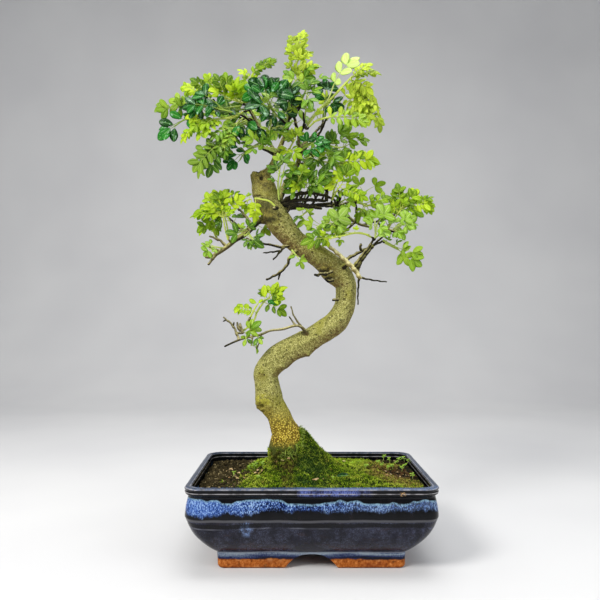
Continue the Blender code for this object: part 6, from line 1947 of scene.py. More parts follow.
def add_leaflet(skin, root, way, above, long, wide, look, draw, tone):
    """One thin closed leaflet."""
    rows = leaflet_rows(root, way, above, long, wide, look, draw)
    points = []
    values = []

    def add(point, u, v):
        points.append(point)
        values.append((u, v, tone))
        return len(points) - 1

    top = [[add(*spot) for spot in row] for row in rows[:-1]]
    tip = add(rows[-1][2][0], 1, 0)
    under = [list(line) for line in top]
    for line, row in zip(under[1:], rows[1:]):
        for c in (1, 2, 3):
            point, u, v = row[c]
            deep = BLADE_THICK * (1.9 if c == 2 else 1.0)
            line[c] = add(point - above * deep, u, v)
    quads = []
    triangles = []
    for r in range(len(top) - 1):
        for c in range(4):
            quads.append((top[r][c], top[r + 1][c], top[r + 1][c + 1], top[r][c + 1]))
            quads.append((under[r][c], under[r][c + 1], under[r + 1][c + 1], under[r + 1][c]))
    for c in range(4):
        triangles.append((top[-1][c], tip, top[-1][c + 1]))
        triangles.append((under[-1][c], under[-1][c + 1], tip))
    skin.add([tuple(p) for p in points], [quads, triangles], values)


def add_stalk(skin, rib, end, shade):
    """The leaf's rib as a thin flat tube up to its end leaflet."""
    shares = [i / STALK_STEPS for i in range(STALK_STEPS + 1)]
    thick = [STALK_THICK - STALK_TAPER * share for share in shares]
    thick[0] = STALK_FOOT
    centres = [rib.at(end * i / STALK_STEPS) for i in range(STALK_STEPS + 1)]
    points, faces = sweep(centres, thick, 6, 0.75, rib.up)
    skin.add(points, faces, (0, 0, 2 + shade))


def add_leaf(skin, leaf, look, draw):
    """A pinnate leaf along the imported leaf's rib, with its leaflets in pairs and one at the end."""
    base, tip, up, pairs, leaflet, _ = leaf
    rib = Rib(base, tip, up, leaflet, LONGEST_LEAFLET if pairs else END_LEAFLET)
    pairs = max(1, min(pairs, rib.room)) if pairs else 0
    fine = round(pairs * look["pairs"])
    spots = rib.spots(fine)
    end = spots[-1] if spots else max(rib.last, 0.05)
    shade = draw.uniform(0, 1)
    add_stalk(skin, rib, end, shade)
    for index, t in enumerate(spots):
        along, side, above = rib.frame(t)
        for sign in (1, -1):
            lean = LEAN - LEAN_LOSS * index / max(fine - 1, 1) + draw.uniform(-LEAN_RANGE, LEAN_RANGE)
            lean = math.radians(lean)
            scale = (LEAFLET_LEAST + LEAFLET_GROWTH * (index + 1) / fine) * draw.uniform(*SIZE_RANGE)
            way = along * math.cos(lean) + side * sign * math.sin(lean)
            way = (way + above * draw.uniform(*RISE_RANGE)).normalized()
            over = above + side * draw.uniform(-TILT, TILT) + along * draw.uniform(-TILT, TILT)
            over = square(over, way)
            root = rib.at(t + draw.uniform(-SLIP, SLIP)) + way * LEAFLET_GAP
            tone = min(max(shade + draw.uniform(-TONE_RANGE, TONE_RANGE), 0), 1)
            long = rib.size * look["long"] * scale
            add_leaflet(skin, root, way, over, long, long * look["wide"] / 2, look, draw, tone)
    root = rib.at(end)
    way = (tip - root).normalized()
    long = rib.size * END_SCALE
    add_leaflet(skin, root, way, square(rib.up, way), long, long * look["wide"] / 2, look, draw, shade)


def add_shoot(skin, shoot, draw):
    """A smooth round stem along the shoot."""
    centres = catmull([tuple(front(*step)) for step in shoot], STEM_STEPS)
    count = len(centres)
    radii = [STEM_RADIUS * (1 - STEM_TAPER * i / (count - 1)) for i in range(count)]
    radii[-1] *= STEM_END
    points, faces = sweep(centres, radii, STEM_SIDES)
    skin.add(points, faces, (0, 0, 2 + draw.uniform(0, 1)))


def facing_leaf(stem, leaf, blunt, draw):
    """A leaf from the table of more leaves, with its upper side turned towards the front."""
    column, row, tip_column, tip_row, depth, pairs, leaflet = leaf
    base = front(*min(stem, key=lambda step: math.hypot(step[0] - column, step[1] - row)))
    tip = front(tip_column, tip_row, depth + draw.uniform(-MORE_DRIFT, MORE_DRIFT))
    way = (tip - base).normalized()
    most = MORE_ROLL if pairs else SINGLE_ROLL
    roll = Matrix.Rotation(math.radians(draw.uniform(-most, most)), 3, way)
    up = roll @ Vector((0, -FACING, draw.uniform(*MORE_LIFT) if pairs else SINGLE_LIFT))
    return base, tip, up, pairs, leaflet, blunt


def make_leaves(wood):
    """A piece of fine leaves for each packed shoot, on a smooth round stem, and one more of each colour."""
    placed = place_leaves(wood)
    materials = {colour: leaf_material(colour) for colour in LOOKS}
    draw = random.Random(MORE_SEED)
    for name, (colour, shoot, _) in SPRAYS.items():
        skin = Skin()
        add_shoot(skin, shoot, draw)
        for leaf in placed[name]:
            add_leaf(skin, leaf, LOOKS[colour], draw)
        leaves = skin.make(name.replace("spray_", "leaves_"), materials[colour])
        piece(leaves, "leaf_" + colour, name)
    for wanted in LOOKS:
        skin = Skin()
        for colour, shoot, leaves in MORE:
            if colour != wanted:
                continue
            add_shoot(skin, shoot, draw)
            stem = shoot_points(shoot)
            for leaf in leaves:
                add_leaf(skin, facing_leaf(stem, leaf, colour in BLUNT, draw), LOOKS[colour], draw)
        piece(skin.make("more_leaves_" + wanted, materials[wanted]), "leaf_" + wanted)


LEAF_COLOURS = {
    # deep, middle, light, vein, stem, roughness, coat, light that comes through
    "young": (rgb(66, 118, 0), rgb(160, 202, 2), rgb(208, 232, 36), rgb(222, 240, 96), rgb(196, 212, 84),
              0.5, 0.0, 0.42),
    "mid": (rgb(34, 92, 0), rgb(100, 156, 4), rgb(176, 208, 54), rgb(196, 226, 100), rgb(176, 196, 84),
            0.42, 0.1, 0.34),
    "pale": (rgb(140, 186, 40), rgb(186, 218, 84), rgb(216, 238, 136), rgb(228, 244, 170), rgb(200, 216, 118),
             0.45, 0.05, 0.36),
    "dark": (rgb(1, 38, 3), rgb(6, 74, 9), rgb(34, 118, 28), rgb(128, 184, 104), rgb(140, 166, 66),
             0.30, 0.12, 0.08),
    "dry": (rgb(84, 54, 22), rgb(160, 122, 70), rgb(222, 196, 146), rgb(232, 208, 164), rgb(120, 84, 40),
            0.75, 0.0, 0.1),
}


# Tints on parts of the middle green: place and reach in the front view in metres, share and colour
MID_TINTS = (
    ((0.088, 0.412), (0.04, 0.024), 0.8, (186, 220, 40)),
    ((-0.099, 0.442), (0.03, 0.032), 0.55, (52, 112, 12)),
    ((-0.027, 0.286), (0.036, 0.034), 0.6, (168, 210, 24)),
)


def leaf_tint(g, colour, base):
    """Sets some leaves apart by where they are: sunlit, yellower or darker."""
    x, _, z = g.axes()
    if colour == "young":
        sunlit = g.spread(x, -0.03, 0.01, 0, 0.6) * g.spread(z, 0.44, 0.5)
        base = g.mix(sunlit, base, rgba(226, 240, 84))
    if colour == "mid":
        base = g.mix(g.spread(x, 0.045, 0.065, 0, 0.5), base, rgba(156, 198, 30))
        for place, reach, share, tint in MID_TINTS:
            base = g.mix(g.near(x, z, place, reach) * share, base, rgba(*tint))
    if colour == "pale":
        base = g.mix(g.spread(z, 0.46, 0.42, 0, 0.68), base, rgba(146, 194, 16))
    return base


def leaf_material(colour, name=None):
    """A leaf with veins beside its midrib, that lets some light through."""
    deep, middle, light, vein, stem, rough, coat, through = LEAF_COLOURS[colour]
    shine = 0.10 if colour == "dark" else 0.35
    g = Graph("leaf_" + (name or colour), Roughness=rough, Specular_IOR_Level=shine, Coat_Weight=coat,
              Coat_Roughness=0.12)
    along, across, tone = g.grain()
    slow = g.noise(60, 2)
    fine = g.noise(900, 2, 0.6)
    mixed = tone * 0.66 + slow * 0.34
    base = g.ramp(mixed, (0.20, deep), (0.48, middle), (0.78, light))
    base = g.mix(g.spread(fine, 0.45, 0.7, 0, 0.25), base, (*light, 1))
    base = leaf_tint(g, colour, base)
    out = g.math("ABSOLUTE", across)
    rank = along * 9.0 - out * 1.6
    wave = g.math("ABSOLUTE", g.math("FRACT", rank) - 0.5)
    side = g.spread(wave, 0.09, 0.02) * g.spread(out, 1.0, 0.75)
    rib = g.spread(out, 0.10, 0.04)
    base = g.mix(side * 0.35, base, (*vein, 1))
    base = g.mix(rib * 0.75, base, (*vein, 1))
    base = g.mix(g.spread(out, 0.86, 1.0) * 0.3, base, (*deep, 1))
    if colour == "dark":
        glint = g.spread(g.noise(240, 2), 0.57, 0.66, 0, 0.6) * g.spread(out, 0.75, 0.35)
        base = g.mix(glint, base, rgba(166, 204, 176))
    stalk = g.spread(tone, 1.4, 1.6)
    base = g.mix(stalk, base, g.ramp(fine, (0.35, tuple(0.7 * c for c in stem)), (0.65, stem)))
    g.set("Base Color", base)
    height = slow * 0.4 - g.math("MAXIMUM", side * 0.5, rib)
    g.bump(height + fine * 0.25, 0.00025, 0.7)
    glow = g.add("BsdfTranslucent", {"Color": g.mix(0.5, base, (*light, 1))})
    share = (1.0 - stalk) * through
    out_node = next(node for node in g.tree.nodes if node.type == "OUTPUT_MATERIAL")
    g.put(out_node.inputs[0], g.add("MixShader", {0: share, 1: Value(g, g.shader.outputs[0]), 2: glow}))
    return g.material


# Soil, moss and what lies on it

# How finely the ground is made and its sizes in metres. The moss's hem starts at a share of its reach and
# loses a share of its thickness.
MOSS_SIDES = 132
MOSS_STEPS = 34
MOSS_BODY = 0.0012
MOSS_SINK = 0.0062
WALL_HEIGHT = 0.078
MOSS_INNER_GAP = 0.0002
MOSS_WALL_GAP = 0.0012
HEM = 0.9
HEM_LOSS = 0.9
SOIL_SIDES = 150
SOIL_STEPS = 44
SOIL_INNER_GAP = 0.0004
SOIL_WALL_GAP = 0.0006
SOIL_SIDE_GAP = 0.0009
SOIL_SINK = 0.0004
CRUMB_RISE = 0.0010
CRUMB_SINK = 0.0006
MOSS_SEED = 3
GRIT_SEED = 8

# Moss leaflets on the cushion and on the trunk's foot, blades of moss and grains of grit
SPIKE_COUNT = 28200
FOOT_SPIKES = 7800
FOOT_ZONE = (0.098, 0.140)
FOOT_TOP = 0.1150
FOOT_RIGHT = 0.0215
FOOT_LEFT = 0.007
FOOT_RAGGED = 0.012
GRIT_COUNT = 3800
GRIT_SMALL = (0.0006, 0.0013)
GRIT_LARGE = (0.0013, 0.0024)
SOIL_RINGS = (0.060, 0.040, 0.0275, FLOOR_TOP + GAP)
STRAND_COUNT = 1500
STRAND_LONG = (0.0035, 0.0085)
STRAND_RADII = (0.00036, 0.00036, 0.00028, 0.00008)
SPIKE_TALL = (0.0014, 0.0032)
SPIKE_WIDE = (0.00028, 0.00050)
SPIKE_FACES = ((0, 1, 3), (1, 2, 3), (2, 0, 3), (0, 2, 1))

# The moss's rise against the trunk at the right and its dip at the left, in metres, the rise's direction as
# an angle, and how far it leans to the trunk as a share of its height
COLLAR_HIGH = 0.025
COLLAR_REACH = 0.0262
COLLAR_TURN = 0.2
COLLAR_LEAN = 0.16
DIP_DEEP = 0.0045
DIP_PLACE = 0.010
DIP_REACH = 0.014

# Where the moss is bare or brown as seen from above, and how far that reaches, in metres
BARE_LEFT = -0.070
BARE_SOFT = 0.006
BARE_BACK = (0.098, 0.070)
BACK_REACH = (0.026, 0.018)
BROWN_SPOT = (0.099, 0.0)
BARE_REACH = (0.020, 0.030)
BROWN_REACH = (0.046, 0.085)
RED_REACH = (0.040, 0.070)
BROWN_BITS = ((-0.058, -0.018), (0.0044, -0.044), (0.066, 0.010))
BITS_REACH = (0.007, 0.009)

# Spots of the moss in the front view: place and reach in metres
# Painted shade on the moss slope right of the trunk's foot
MOSS_SHADE_SPOT = ((0.0196, 0.098), (0.024, 0.024))
# Painted shade, dark brown, in the hollow at the trunk's foot
HOLLOW_SHADE_SPOT = ((-0.012, 0.105), (0.022, 0.013))
ROOT_SPOT = ((-0.006, 0.09), (0.009, 0.021))


def moss_point(angle, share):
    """The moss's surface at this share of the way to its edge, without its fine growth."""
    inner = HOLE_RADIUS + MOSS_INNER_GAP
    reach = wall_reach(angle, WALL_HEIGHT) - MOSS_WALL_GAP
    outer = inner + (reach - inner) * moss_reach(angle)
    along = inner + (outer - inner) * share
    x = TRUNK_X + math.cos(angle) * along
    y = math.sin(angle) * along
    thick = moss_thickness(x, y, share)
    if share > HEM:
        thick *= 1 - ((share - HEM) / (1 - HEM)) ** 2 * HEM_LOSS
    collar = COLLAR_HIGH * math.exp(-(((along - inner) / COLLAR_REACH) ** 2))
    collar *= max(math.cos(angle - COLLAR_TURN), 0) ** 3
    dip = math.exp(-((along - inner - DIP_PLACE) / DIP_REACH) ** 2)
    thick -= DIP_DEEP * dip * max(-math.cos(angle), 0)
    return Vector((x - COLLAR_LEAN * collar, y, soil_height(x, y) + thick + collar))


def bare_share(x, y):
    """How bare the soil is here, from 0 under full moss to 1: a patch at the left and one at the right."""
    spot = Vector((x, y, 0.4))
    patchy = 0.5 * noise.noise(spot * 110) + 0.35 * noise.noise(spot * 40)

    def spread(a, b, wide, deep):
        return math.exp(-((x - a) / wide) ** 2 - ((y - b) / deep) ** 2)

    left = 1 / (1 + math.exp((x - BARE_LEFT) / BARE_SOFT))
    right = spread(*BROWN_SPOT, *BARE_REACH)
    back = spread(*BARE_BACK, *BACK_REACH)
    specks = sum(spread(*bit, *BITS_REACH) for bit in BROWN_BITS)
    return min(max(1.2 * max(left, right, 0.8 * back) + 1.1 * specks + patchy - 0.15, 0), 1)


def moss_lumps(point):
    """How far the cushion is raised here."""
    return 0.0016 * noise.noise(point * 95) + 0.0010 * noise.noise(point * 230 + Vector((3, 1, 0)))


def moss_cushion():
    """The cushion's top as a grid of points, and the faces of its closed body."""
    rings = [[moss_point(2 * math.pi * j / MOSS_SIDES, i / MOSS_STEPS) for j in range(MOSS_SIDES)]
             for i in range(MOSS_STEPS + 1)]
    points = np.array([tuple(p) for ring in rings for p in ring])
    bare = np.array([bare_share(x, y) for x, y, _ in points])
    lumps = np.array([moss_lumps(Vector(p)) for p in points])
    points[:, 2] += lumps - MOSS_BODY - MOSS_SINK * bare
    quads = []
    for i in range(MOSS_STEPS):
        for j in range(MOSS_SIDES):
            k = (j + 1) % MOSS_SIDES
            quads.append((i * MOSS_SIDES + j, (i + 1) * MOSS_SIDES + j,
                          (i + 1) * MOSS_SIDES + k, i * MOSS_SIDES + k))
    count = len(points)
    quads += [tuple(count + n for n in reversed(quad)) for quad in quads]
    last = MOSS_STEPS * MOSS_SIDES
    for j in range(MOSS_SIDES):
        k = (j + 1) % MOSS_SIDES
        quads.append((j, k, count + k, count + j))
        quads.append((last + k, last + j, count + last + j, count + last + k))
    return points, quads


def make_moss(trunk):
    """A cushion with a felt of small pointed leaflets standing out of it, up onto the trunk's foot."""
    skin = Skin()
    points, quads = moss_cushion()
    skin.add(np.concatenate([points, points - np.array((0, 0, MOSS_BODY))]), [quads], (0.10, 0, 0))
    draw = random.Random(MOSS_SEED)
    add_spikes(skin, felt_roots(points.reshape(MOSS_STEPS + 1, MOSS_SIDES, 3), draw), draw)
    foot = foot_roots(trunk, draw)
    add_spikes(skin, foot, draw)
    add_strands(skin, foot, draw)
    return piece(skin.make("moss_felt", moss_material()), "moss", "moss")


def felt_roots(grid, draw):
    """Places for moss over the cushion, even by area and few where the soil is bare."""
    a = grid[:-1]
    b = grid[1:]
    c = np.roll(b, -1, axis=1)
    d = np.roll(a, -1, axis=1)
    outs = np.cross(b - a, d - a)
    areas = np.linalg.norm(outs, axis=2)
    a, b, c, d, outs = (part.reshape(-1, 3) for part in (a, b, c, d, outs))
    roots = []
    for i in draw.choices(range(len(a)), weights=areas.ravel(), k=SPIKE_COUNT * 3):
        u = draw.random()
        v = draw.random()
        spot = Vector((a[i] * (1 - u) + b[i] * u) * (1 - v) + (d[i] * (1 - u) + c[i] * u) * v)
        if draw.random() > bare_share(spot.x, spot.y):
            out = Vector(outs[i]).normalized()
            roots.append((spot - out * 0.0003, (out + Vector((0, 0, 0.5))).normalized()))
        if len(roots) == SPIKE_COUNT:
            break
    return roots


def add_strands(skin, roots, draw):
    """Thin long blades of moss hanging out over the foot and the slope at its right."""
    for _ in range(STRAND_COUNT):
        root, out = draw.choice(roots)
        if out.x < -0.2:
            continue
        stray = Vector((draw.gauss(0.2, 0.5), draw.gauss(-0.1, 0.4), draw.gauss(0, 0.7)))
        way = (out * 0.5 + stray).normalized()
        long = draw.uniform(*STRAND_LONG)
        steps = [root + way * long * t + Vector((0, 0, -0.35 * long * t * t)) for t in (0, 0.35, 0.7, 1)]
        points, faces = sweep(steps, STRAND_RADII, 4)
        skin.add(points, faces, (1.0, draw.random(), 2.0))


def foot_roots(trunk, draw):
    """Places for moss on the trunk's foot, higher on its right side than in front."""
    points = read_points(trunk.data) - np.array((POT_X, 0, 0))
    normals = read_normals(trunk.data)
    low = [i for i in range(len(points)) if FOOT_ZONE[0] < points[i, 2] < FOOT_ZONE[1]]
    roots = []
    for _ in range(FOOT_SPIKES * 6):
        i = draw.choice(low)
        point = Vector(points[i])
        out = Vector(normals[i])
        right = max(out.x - 0.45, 0) / 0.55
        top = FOOT_TOP + FOOT_RIGHT * right ** 1.2 - FOOT_LEFT * max(-out.x, 0)
        top += FOOT_RAGGED * noise.noise(point * 130)
        if point.z < top and draw.random() < 0.35 + 0.65 * min((top - point.z) / 0.006, 1):
            spread = out * draw.uniform(-0.0006, 0.0002 + 0.0022 * right * min((top - point.z) / 0.012, 1))
            roots.append((point + spread, (out + Vector((0, 0, 0.6))).normalized()))
        if len(roots) >= FOOT_SPIKES:
            break
    return roots


def add_spikes(skin, roots, draw):
    """A small pointed leaflet, a thin tetrahedron, at each root."""
    points = []
    faces = []
    values = []
    turns = [(math.cos(2.094 * i), math.sin(2.094 * i)) for i in range(3)]
    for root, up in roots:
        lumps = noise.noise(root * 90)
        tuft = noise.noise(root * 330 + Vector((5, 2, 1)))
        tall = draw.uniform(*SPIKE_TALL) * (1 + 0.4 * lumps + 0.8 * tuft)
        wide = draw.uniform(*SPIKE_WIDE)
        lean = (up + Vector((draw.gauss(0, 0.42), draw.gauss(0, 0.42), draw.gauss(0, 0.2)))).normalized()
        side = lean.orthogonal().normalized()
        other = lean.cross(side)
        start = len(points)
        own = draw.random()
        for cx, cy in turns:
            points.append(tuple(root + (side * cx + other * cy) * wide))
            values.append((0.0, own, tuft))
        points.append(tuple(root + lean * tall))
        values.append((1.0, own, tuft))
        faces += [(start + a, start + b, start + c) for a, b, c in SPIKE_FACES]
    skin.add(points, [faces], values)


def moss_material():
    """Moss dark at its roots, partly own colour and partly painted shade, yellow-green at its tips, brown
    where dry.
    """
    g = Graph("moss", Roughness=0.85, Specular_IOR_Level=0.08)
    x, y, z = g.axes()
    high, own, lumps = g.grain()
    patch = g.noise(30, 3, 0.6)
    fine = g.noise(900, 2, 0.6)
    tips = g.ramp(patch * 0.7 + own * 0.3, (0.3, rgb(70, 106, 4)), (0.47, rgb(136, 172, 20)),
                  (0.66, rgb(212, 224, 84)))
    tips = g.mix(g.spread(lumps, 0.15, -0.3, 0, 0.75), tips,
                 g.ramp(own, (0.2, rgb(24, 40, 6)), (0.8, rgb(72, 100, 24))))
    # Dark roots: the moss's own darker base and painted shade between its leaflets
    roots = g.ramp(fine, (0.3, rgb(6, 11, 1)), (0.7, rgb(34, 52, 6)))
    colour = g.mix(g.spread(high, 0.05, 0.85), roots, tips)
    dry = g.spread(g.noise(75, 3, 0.6), 0.56, 0.68) * g.spread(own, 0.2, 0.8, 0.2, 0.9)
    brown = g.ramp(own, (0.3, rgb(72, 60, 18)), (0.7, rgb(152, 138, 54)))
    colour = g.mix(dry, colour, brown)
    broken = g.noise(160, 3, 0.7)
    # Painted shade on the moss slope right of the trunk's foot
    dim = g.near(x, z, *MOSS_SHADE_SPOT) * g.spread(broken, 0.4, 0.56, 0, 0.7)
    colour = g.mix(dim, colour, g.ramp(own, (0.3, rgb(18, 40, 8)), (0.8, rgb(58, 92, 44))))
    # Dark brown in the hollow at the trunk's foot, darkened as painted shade
    hollow = g.near(x, z, *HOLLOW_SHADE_SPOT) * g.spread(broken, 0.36, 0.54, 0.1, 0.9)
    root = g.near(x, z, *ROOT_SPOT) * g.spread(broken, 0.42, 0.58, 0, 0.8)
    colour = g.mix(hollow, colour, g.ramp(own, (0.3, rgb(16, 12, 3)), (0.7, rgb(60, 50, 16)),
                                          (0.9, rgb(128, 112, 60))))
    colour = g.mix(root, colour, g.ramp(own, (0.3, rgb(50, 42, 16)), (0.8, rgb(118, 104, 50))))
    colour = g.mix(g.spread(lumps, 1.4, 1.6), colour,
                   g.ramp(own, (0.2, rgb(46, 74, 24)), (0.8, rgb(164, 184, 84))))
    side = g.near(x, y, (BROWN_SPOT[0] + POT_X, BROWN_SPOT[1]), BROWN_REACH)
    side = side * g.spread(broken, 0.36, 0.52, 0, 0.95)
    colour = g.mix(side, colour, g.ramp(own, (0.2, rgb(58, 42, 18)), (0.6, rgb(120, 92, 44)),
                                        (0.9, rgb(168, 148, 84))))
    g.set("Base Color", colour)
    return g.material


def soil_point(angle, share):
    """The soil's surface at this share of the way from the trunk to the pot's wall."""
    inner = HOLE_RADIUS - SOIL_INNER_GAP
    outer = wall_reach(angle, WALL_HEIGHT) - SOIL_WALL_GAP
    along = inner + (outer - inner) * share
    x = TRUNK_X + math.cos(angle) * along
    y = math.sin(angle) * along
    return Vector((x, y, soil_height(x, y) - SOIL_SINK))


def make_soil():
    """The soil's body with a crumbly top, and the grit, crumbs and small stones that lie on it."""
    turns = [2 * math.pi * j / SOIL_SIDES for j in range(SOIL_SIDES)]
    tops = [[soil_point(turn, i / SOIL_STEPS) for turn in turns] for i in range(SOIL_STEPS + 1)]
    for ring in tops:
        for point in ring:
            point.z += CRUMB_RISE * noise.fractal(point * 190, 0.6, 2.0, 3) - CRUMB_SINK
    rings = [[Vector((p.x, p.y, TRUNK_FOOT - 0.002)) for p in tops[0]], *tops]
    for height in SOIL_RINGS:
        reaches = [wall_reach(turn, height) - SOIL_SIDE_GAP for turn in turns]
        rings.append([Vector((TRUNK_X + reach * math.cos(turn), reach * math.sin(turn), height + 0.0002))
                      for turn, reach in zip(turns, reaches)])
    soil = solid_object("soil_body", *loft(rings))
    cut(soil, [sheet_recess(side) for side in (-1, 1)])
    soil.data.transform(Matrix.Translation((POT_X, 0, 0)))
    earth = soil_material()
    soil.data.materials.append(earth)
    skin = Skin()
    add_grit(skin, random.Random(GRIT_SEED))
    piece(skin.make("soil_grit", earth, smooth=False), "soil")
    return piece(soil, "soil", "soil")


def sheet_recess(side):
    """The hollow in the soil's underside where a drainage mesh lies."""
    half = SHEET_SIZE / 2 + GAP
    low = FLOOR_TOP - 0.005
    high = FLOOR_TOP + SHEET_THICK + 2 * GAP
    corners = ((-half, -half), (half, -half), (half, half), (-half, half))
    rings = [[Vector((side * DRAIN_X + x, y, z)) for x, y in corners] for z in (low, high)]
    return solid_object("recess", *loft(rings))


def grain_ball():
    """The points and faces of a small ball."""
    work = bmesh.new()
    bmesh.ops.create_icosphere(work, subdivisions=1, radius=1)
    points = np.array([tuple(v.co) for v in work.verts])
    faces = np.array([[v.index for v in face.verts] for face in work.faces])
    work.free()
    return points, faces


def add_grit(skin, draw):
    """Grains of grit, most of them where the soil is bare."""
    ball, faces = grain_ball()
    for _ in range(GRIT_COUNT * 2):
        angle = draw.uniform(0, 2 * math.pi)
        share = math.sqrt(draw.random())
        spot = soil_point(angle, share * 0.985)
        if draw.random() > 0.15 + bare_share(spot.x, spot.y):
            continue
        size = draw.uniform(*(GRIT_SMALL if draw.random() < 0.8 else GRIT_LARGE))
        long = 2.6 if draw.random() < 0.25 else 1.2
        squash = np.array([draw.uniform(0.8, long), draw.uniform(0.6, 1.1), draw.uniform(0.4, 0.8)])
        jitter = 1 + 0.22 * np.array([draw.uniform(-1, 1) for _ in ball])[:, None]
        turn = Matrix.Rotation(draw.uniform(0, 6.28), 3, "Z")
        turn = np.array(turn @ Matrix.Rotation(draw.gauss(0, 0.4), 3, "Y"))
        points = (ball * jitter * squash * size) @ turn.T + np.array((spot.x, spot.y, spot.z + size * 0.1))
        skin.add(points, [faces], (1, draw.random(), 0))


# Seedlings, in metres: radii up the stem and its bend, the least height and what a lower one gets, the
# length of a leaflet, and its width as a share of that
SEEDLING_RADII = (0.0004, 0.0003, 0.00025)
SEEDLING_BEND = 0.0006
SEEDLING_LEAST = 0.004
SEEDLING_TALL = 0.006
SEEDLING_LEAF = (0.0018, 0.0034)
SEEDLING_WIDE = 0.34
SEEDLING_SEED = 31

# Seedlings on the ground: column, row and depth of the top in the front view, and the count of leaflets
SEEDLINGS = (
    (384, 453, 50, 4), (389, 456, 44, 3), (378, 459, 40, 4), (382, 463, 22, 5), (388, 466, 14, 4),
    (392, 463, 24, 4), (399, 456, 46, 4), (403, 455, 48, 3), (405, 462, 24, 5), (402, 468, 8, 4),
    (408, 459, 40, 3), (366, 467, 12, 4), (359, 459, 34, 4), (351, 463, 20, 3), (396, 459, 40, 3),
    (412, 476, -16, 3), (249, 467, 2, 4), (254, 468, -2, 4), (256, 463, 10, 3), (258, 478, -24, 4),
    (262, 472, -8, 3), (234, 472, -10, 2), (319, 463, 4, 3), (312, 473, -16, 4), (345, 466, 10, 3),
    (332, 477, -26, 3),
)


def make_seedlings():
    """Seedlings that stand in the moss and soil."""
    skin = Skin()
    draw = random.Random(SEEDLING_SEED)
    look = LOOKS["pale"]
    for column, row, depth, count in SEEDLINGS:
        top = front(column, row + 2, depth)
        foot = Vector((top.x + draw.uniform(-0.002, 0.002), top.y, soil_height(top.x, top.y)))
        if top.z < foot.z + SEEDLING_LEAST:
            top.z = foot.z + SEEDLING_TALL
        middle = foot.lerp(top, 0.5) + Vector((SEEDLING_BEND, 0, 0))
        points, faces = sweep([foot, middle, top], SEEDLING_RADII, 5)
        skin.add(points, faces, (0, 0, 2.5))
        for i in range(count * 2):
            turn = 2.4 * i + draw.uniform(-0.4, 0.4)
            way = Vector((math.cos(turn), math.sin(turn), draw.uniform(-0.1, 0.6))).normalized()
            above = square(Vector((0, -0.5, 1)), way)
            root = foot.lerp(top, 1 - 0.45 * i / (count * 2))
            long = draw.uniform(*SEEDLING_LEAF)
            wide = long * SEEDLING_WIDE
            add_leaflet(skin, root, way, above, long, wide, look, draw, draw.uniform(0, 0.5))
    piece(skin.make("seedlings", leaf_material("pale", "seedling")), "leaf_pale")


# Dry flakes and crumbs on the ground, by column and row in the front view
LITTER = (
    (226, 475), (229, 472), (232, 476), (235, 473), (237, 477), (239, 479), (231, 479), (236, 470),
    (243, 478), (228, 478), (233, 471), (240, 474), (222, 477), (259, 470), (261, 473), (263, 470),
    (260, 476), (257, 473), (312, 480), (316, 481), (323, 480), (319, 479), (283, 457), (280, 453),
    (287, 459), (290, 457), (284, 461), (386, 472), (392, 475), (398, 473), (395, 478), (389, 476),
    (401, 477), (333, 476), (346, 462), (276, 462),
)

# Flakes: length in metres, width as a share of it
FLAKE_LONG = (0.0028, 0.0060)
FLAKE_WIDE = (0.20, 0.36)
LITTER_SEED = 12

# The fallen leaflet: its base and tip in the front view, and half its width
FALLEN = ((336.0, 477.5), (351.5, 475.5))
FALLEN_WIDE = 0.0036


def seen_at(grounds, column, row):
    """The point of the ground that is seen at this place in the front view."""
    shift = Vector((POT_X, 0, 0))
    eye = Vector((GRID_X, -EYE, GRID_Z)) + shift
    way = (front(column, row) + shift - eye).normalized()
    hits = [hit for hit in (ground.ray_cast(eye, way)[0] for ground in grounds) if hit]
    return min(hits, key=lambda hit: (hit - eye).length) - shift


def make_litter(*grounds):
    """Dry flakes on the soil and moss, and one fallen leaflet."""
    graph = bpy.context.evaluated_depsgraph_get()
    grounds = [BVHTree.FromObject(ground, graph) for ground in grounds]
    draw = random.Random(LITTER_SEED)
    skin = Skin()
    for column, row in LITTER:
        root = seen_at(grounds, column, row) + Vector((0, 0, 0.0006))
        turn = draw.uniform(0, 2 * math.pi)
        way = Vector((math.cos(turn), math.sin(turn), draw.uniform(0, 0.4))).normalized()
        above = square(Vector((draw.gauss(0, 0.3), draw.gauss(-0.4, 0.3), 1)), way)
        long = draw.uniform(*FLAKE_LONG)
        wide = long * draw.uniform(*FLAKE_WIDE)
        add_leaflet(skin, root, way, above, long, wide, LOOKS["young"], draw, draw.uniform(0.1, 1.0))
    piece(skin.make("dry_flakes", leaf_material("dry")), "soil")
    fallen = Skin()
    root, tip = (seen_at(grounds, *spot) + Vector((0, -0.001, 0.0016)) for spot in FALLEN)
    way = (tip - root).normalized()
    above = square(Vector((0.1, -0.6, 0.8)), way)
    add_leaflet(fallen, root, way, above, (tip - root).length, FALLEN_WIDE, LOOKS["dark"], draw, 0.0)
    piece(fallen.make("fallen_leaflet", leaf_material("dark", "fallen")), "leaf_dark")


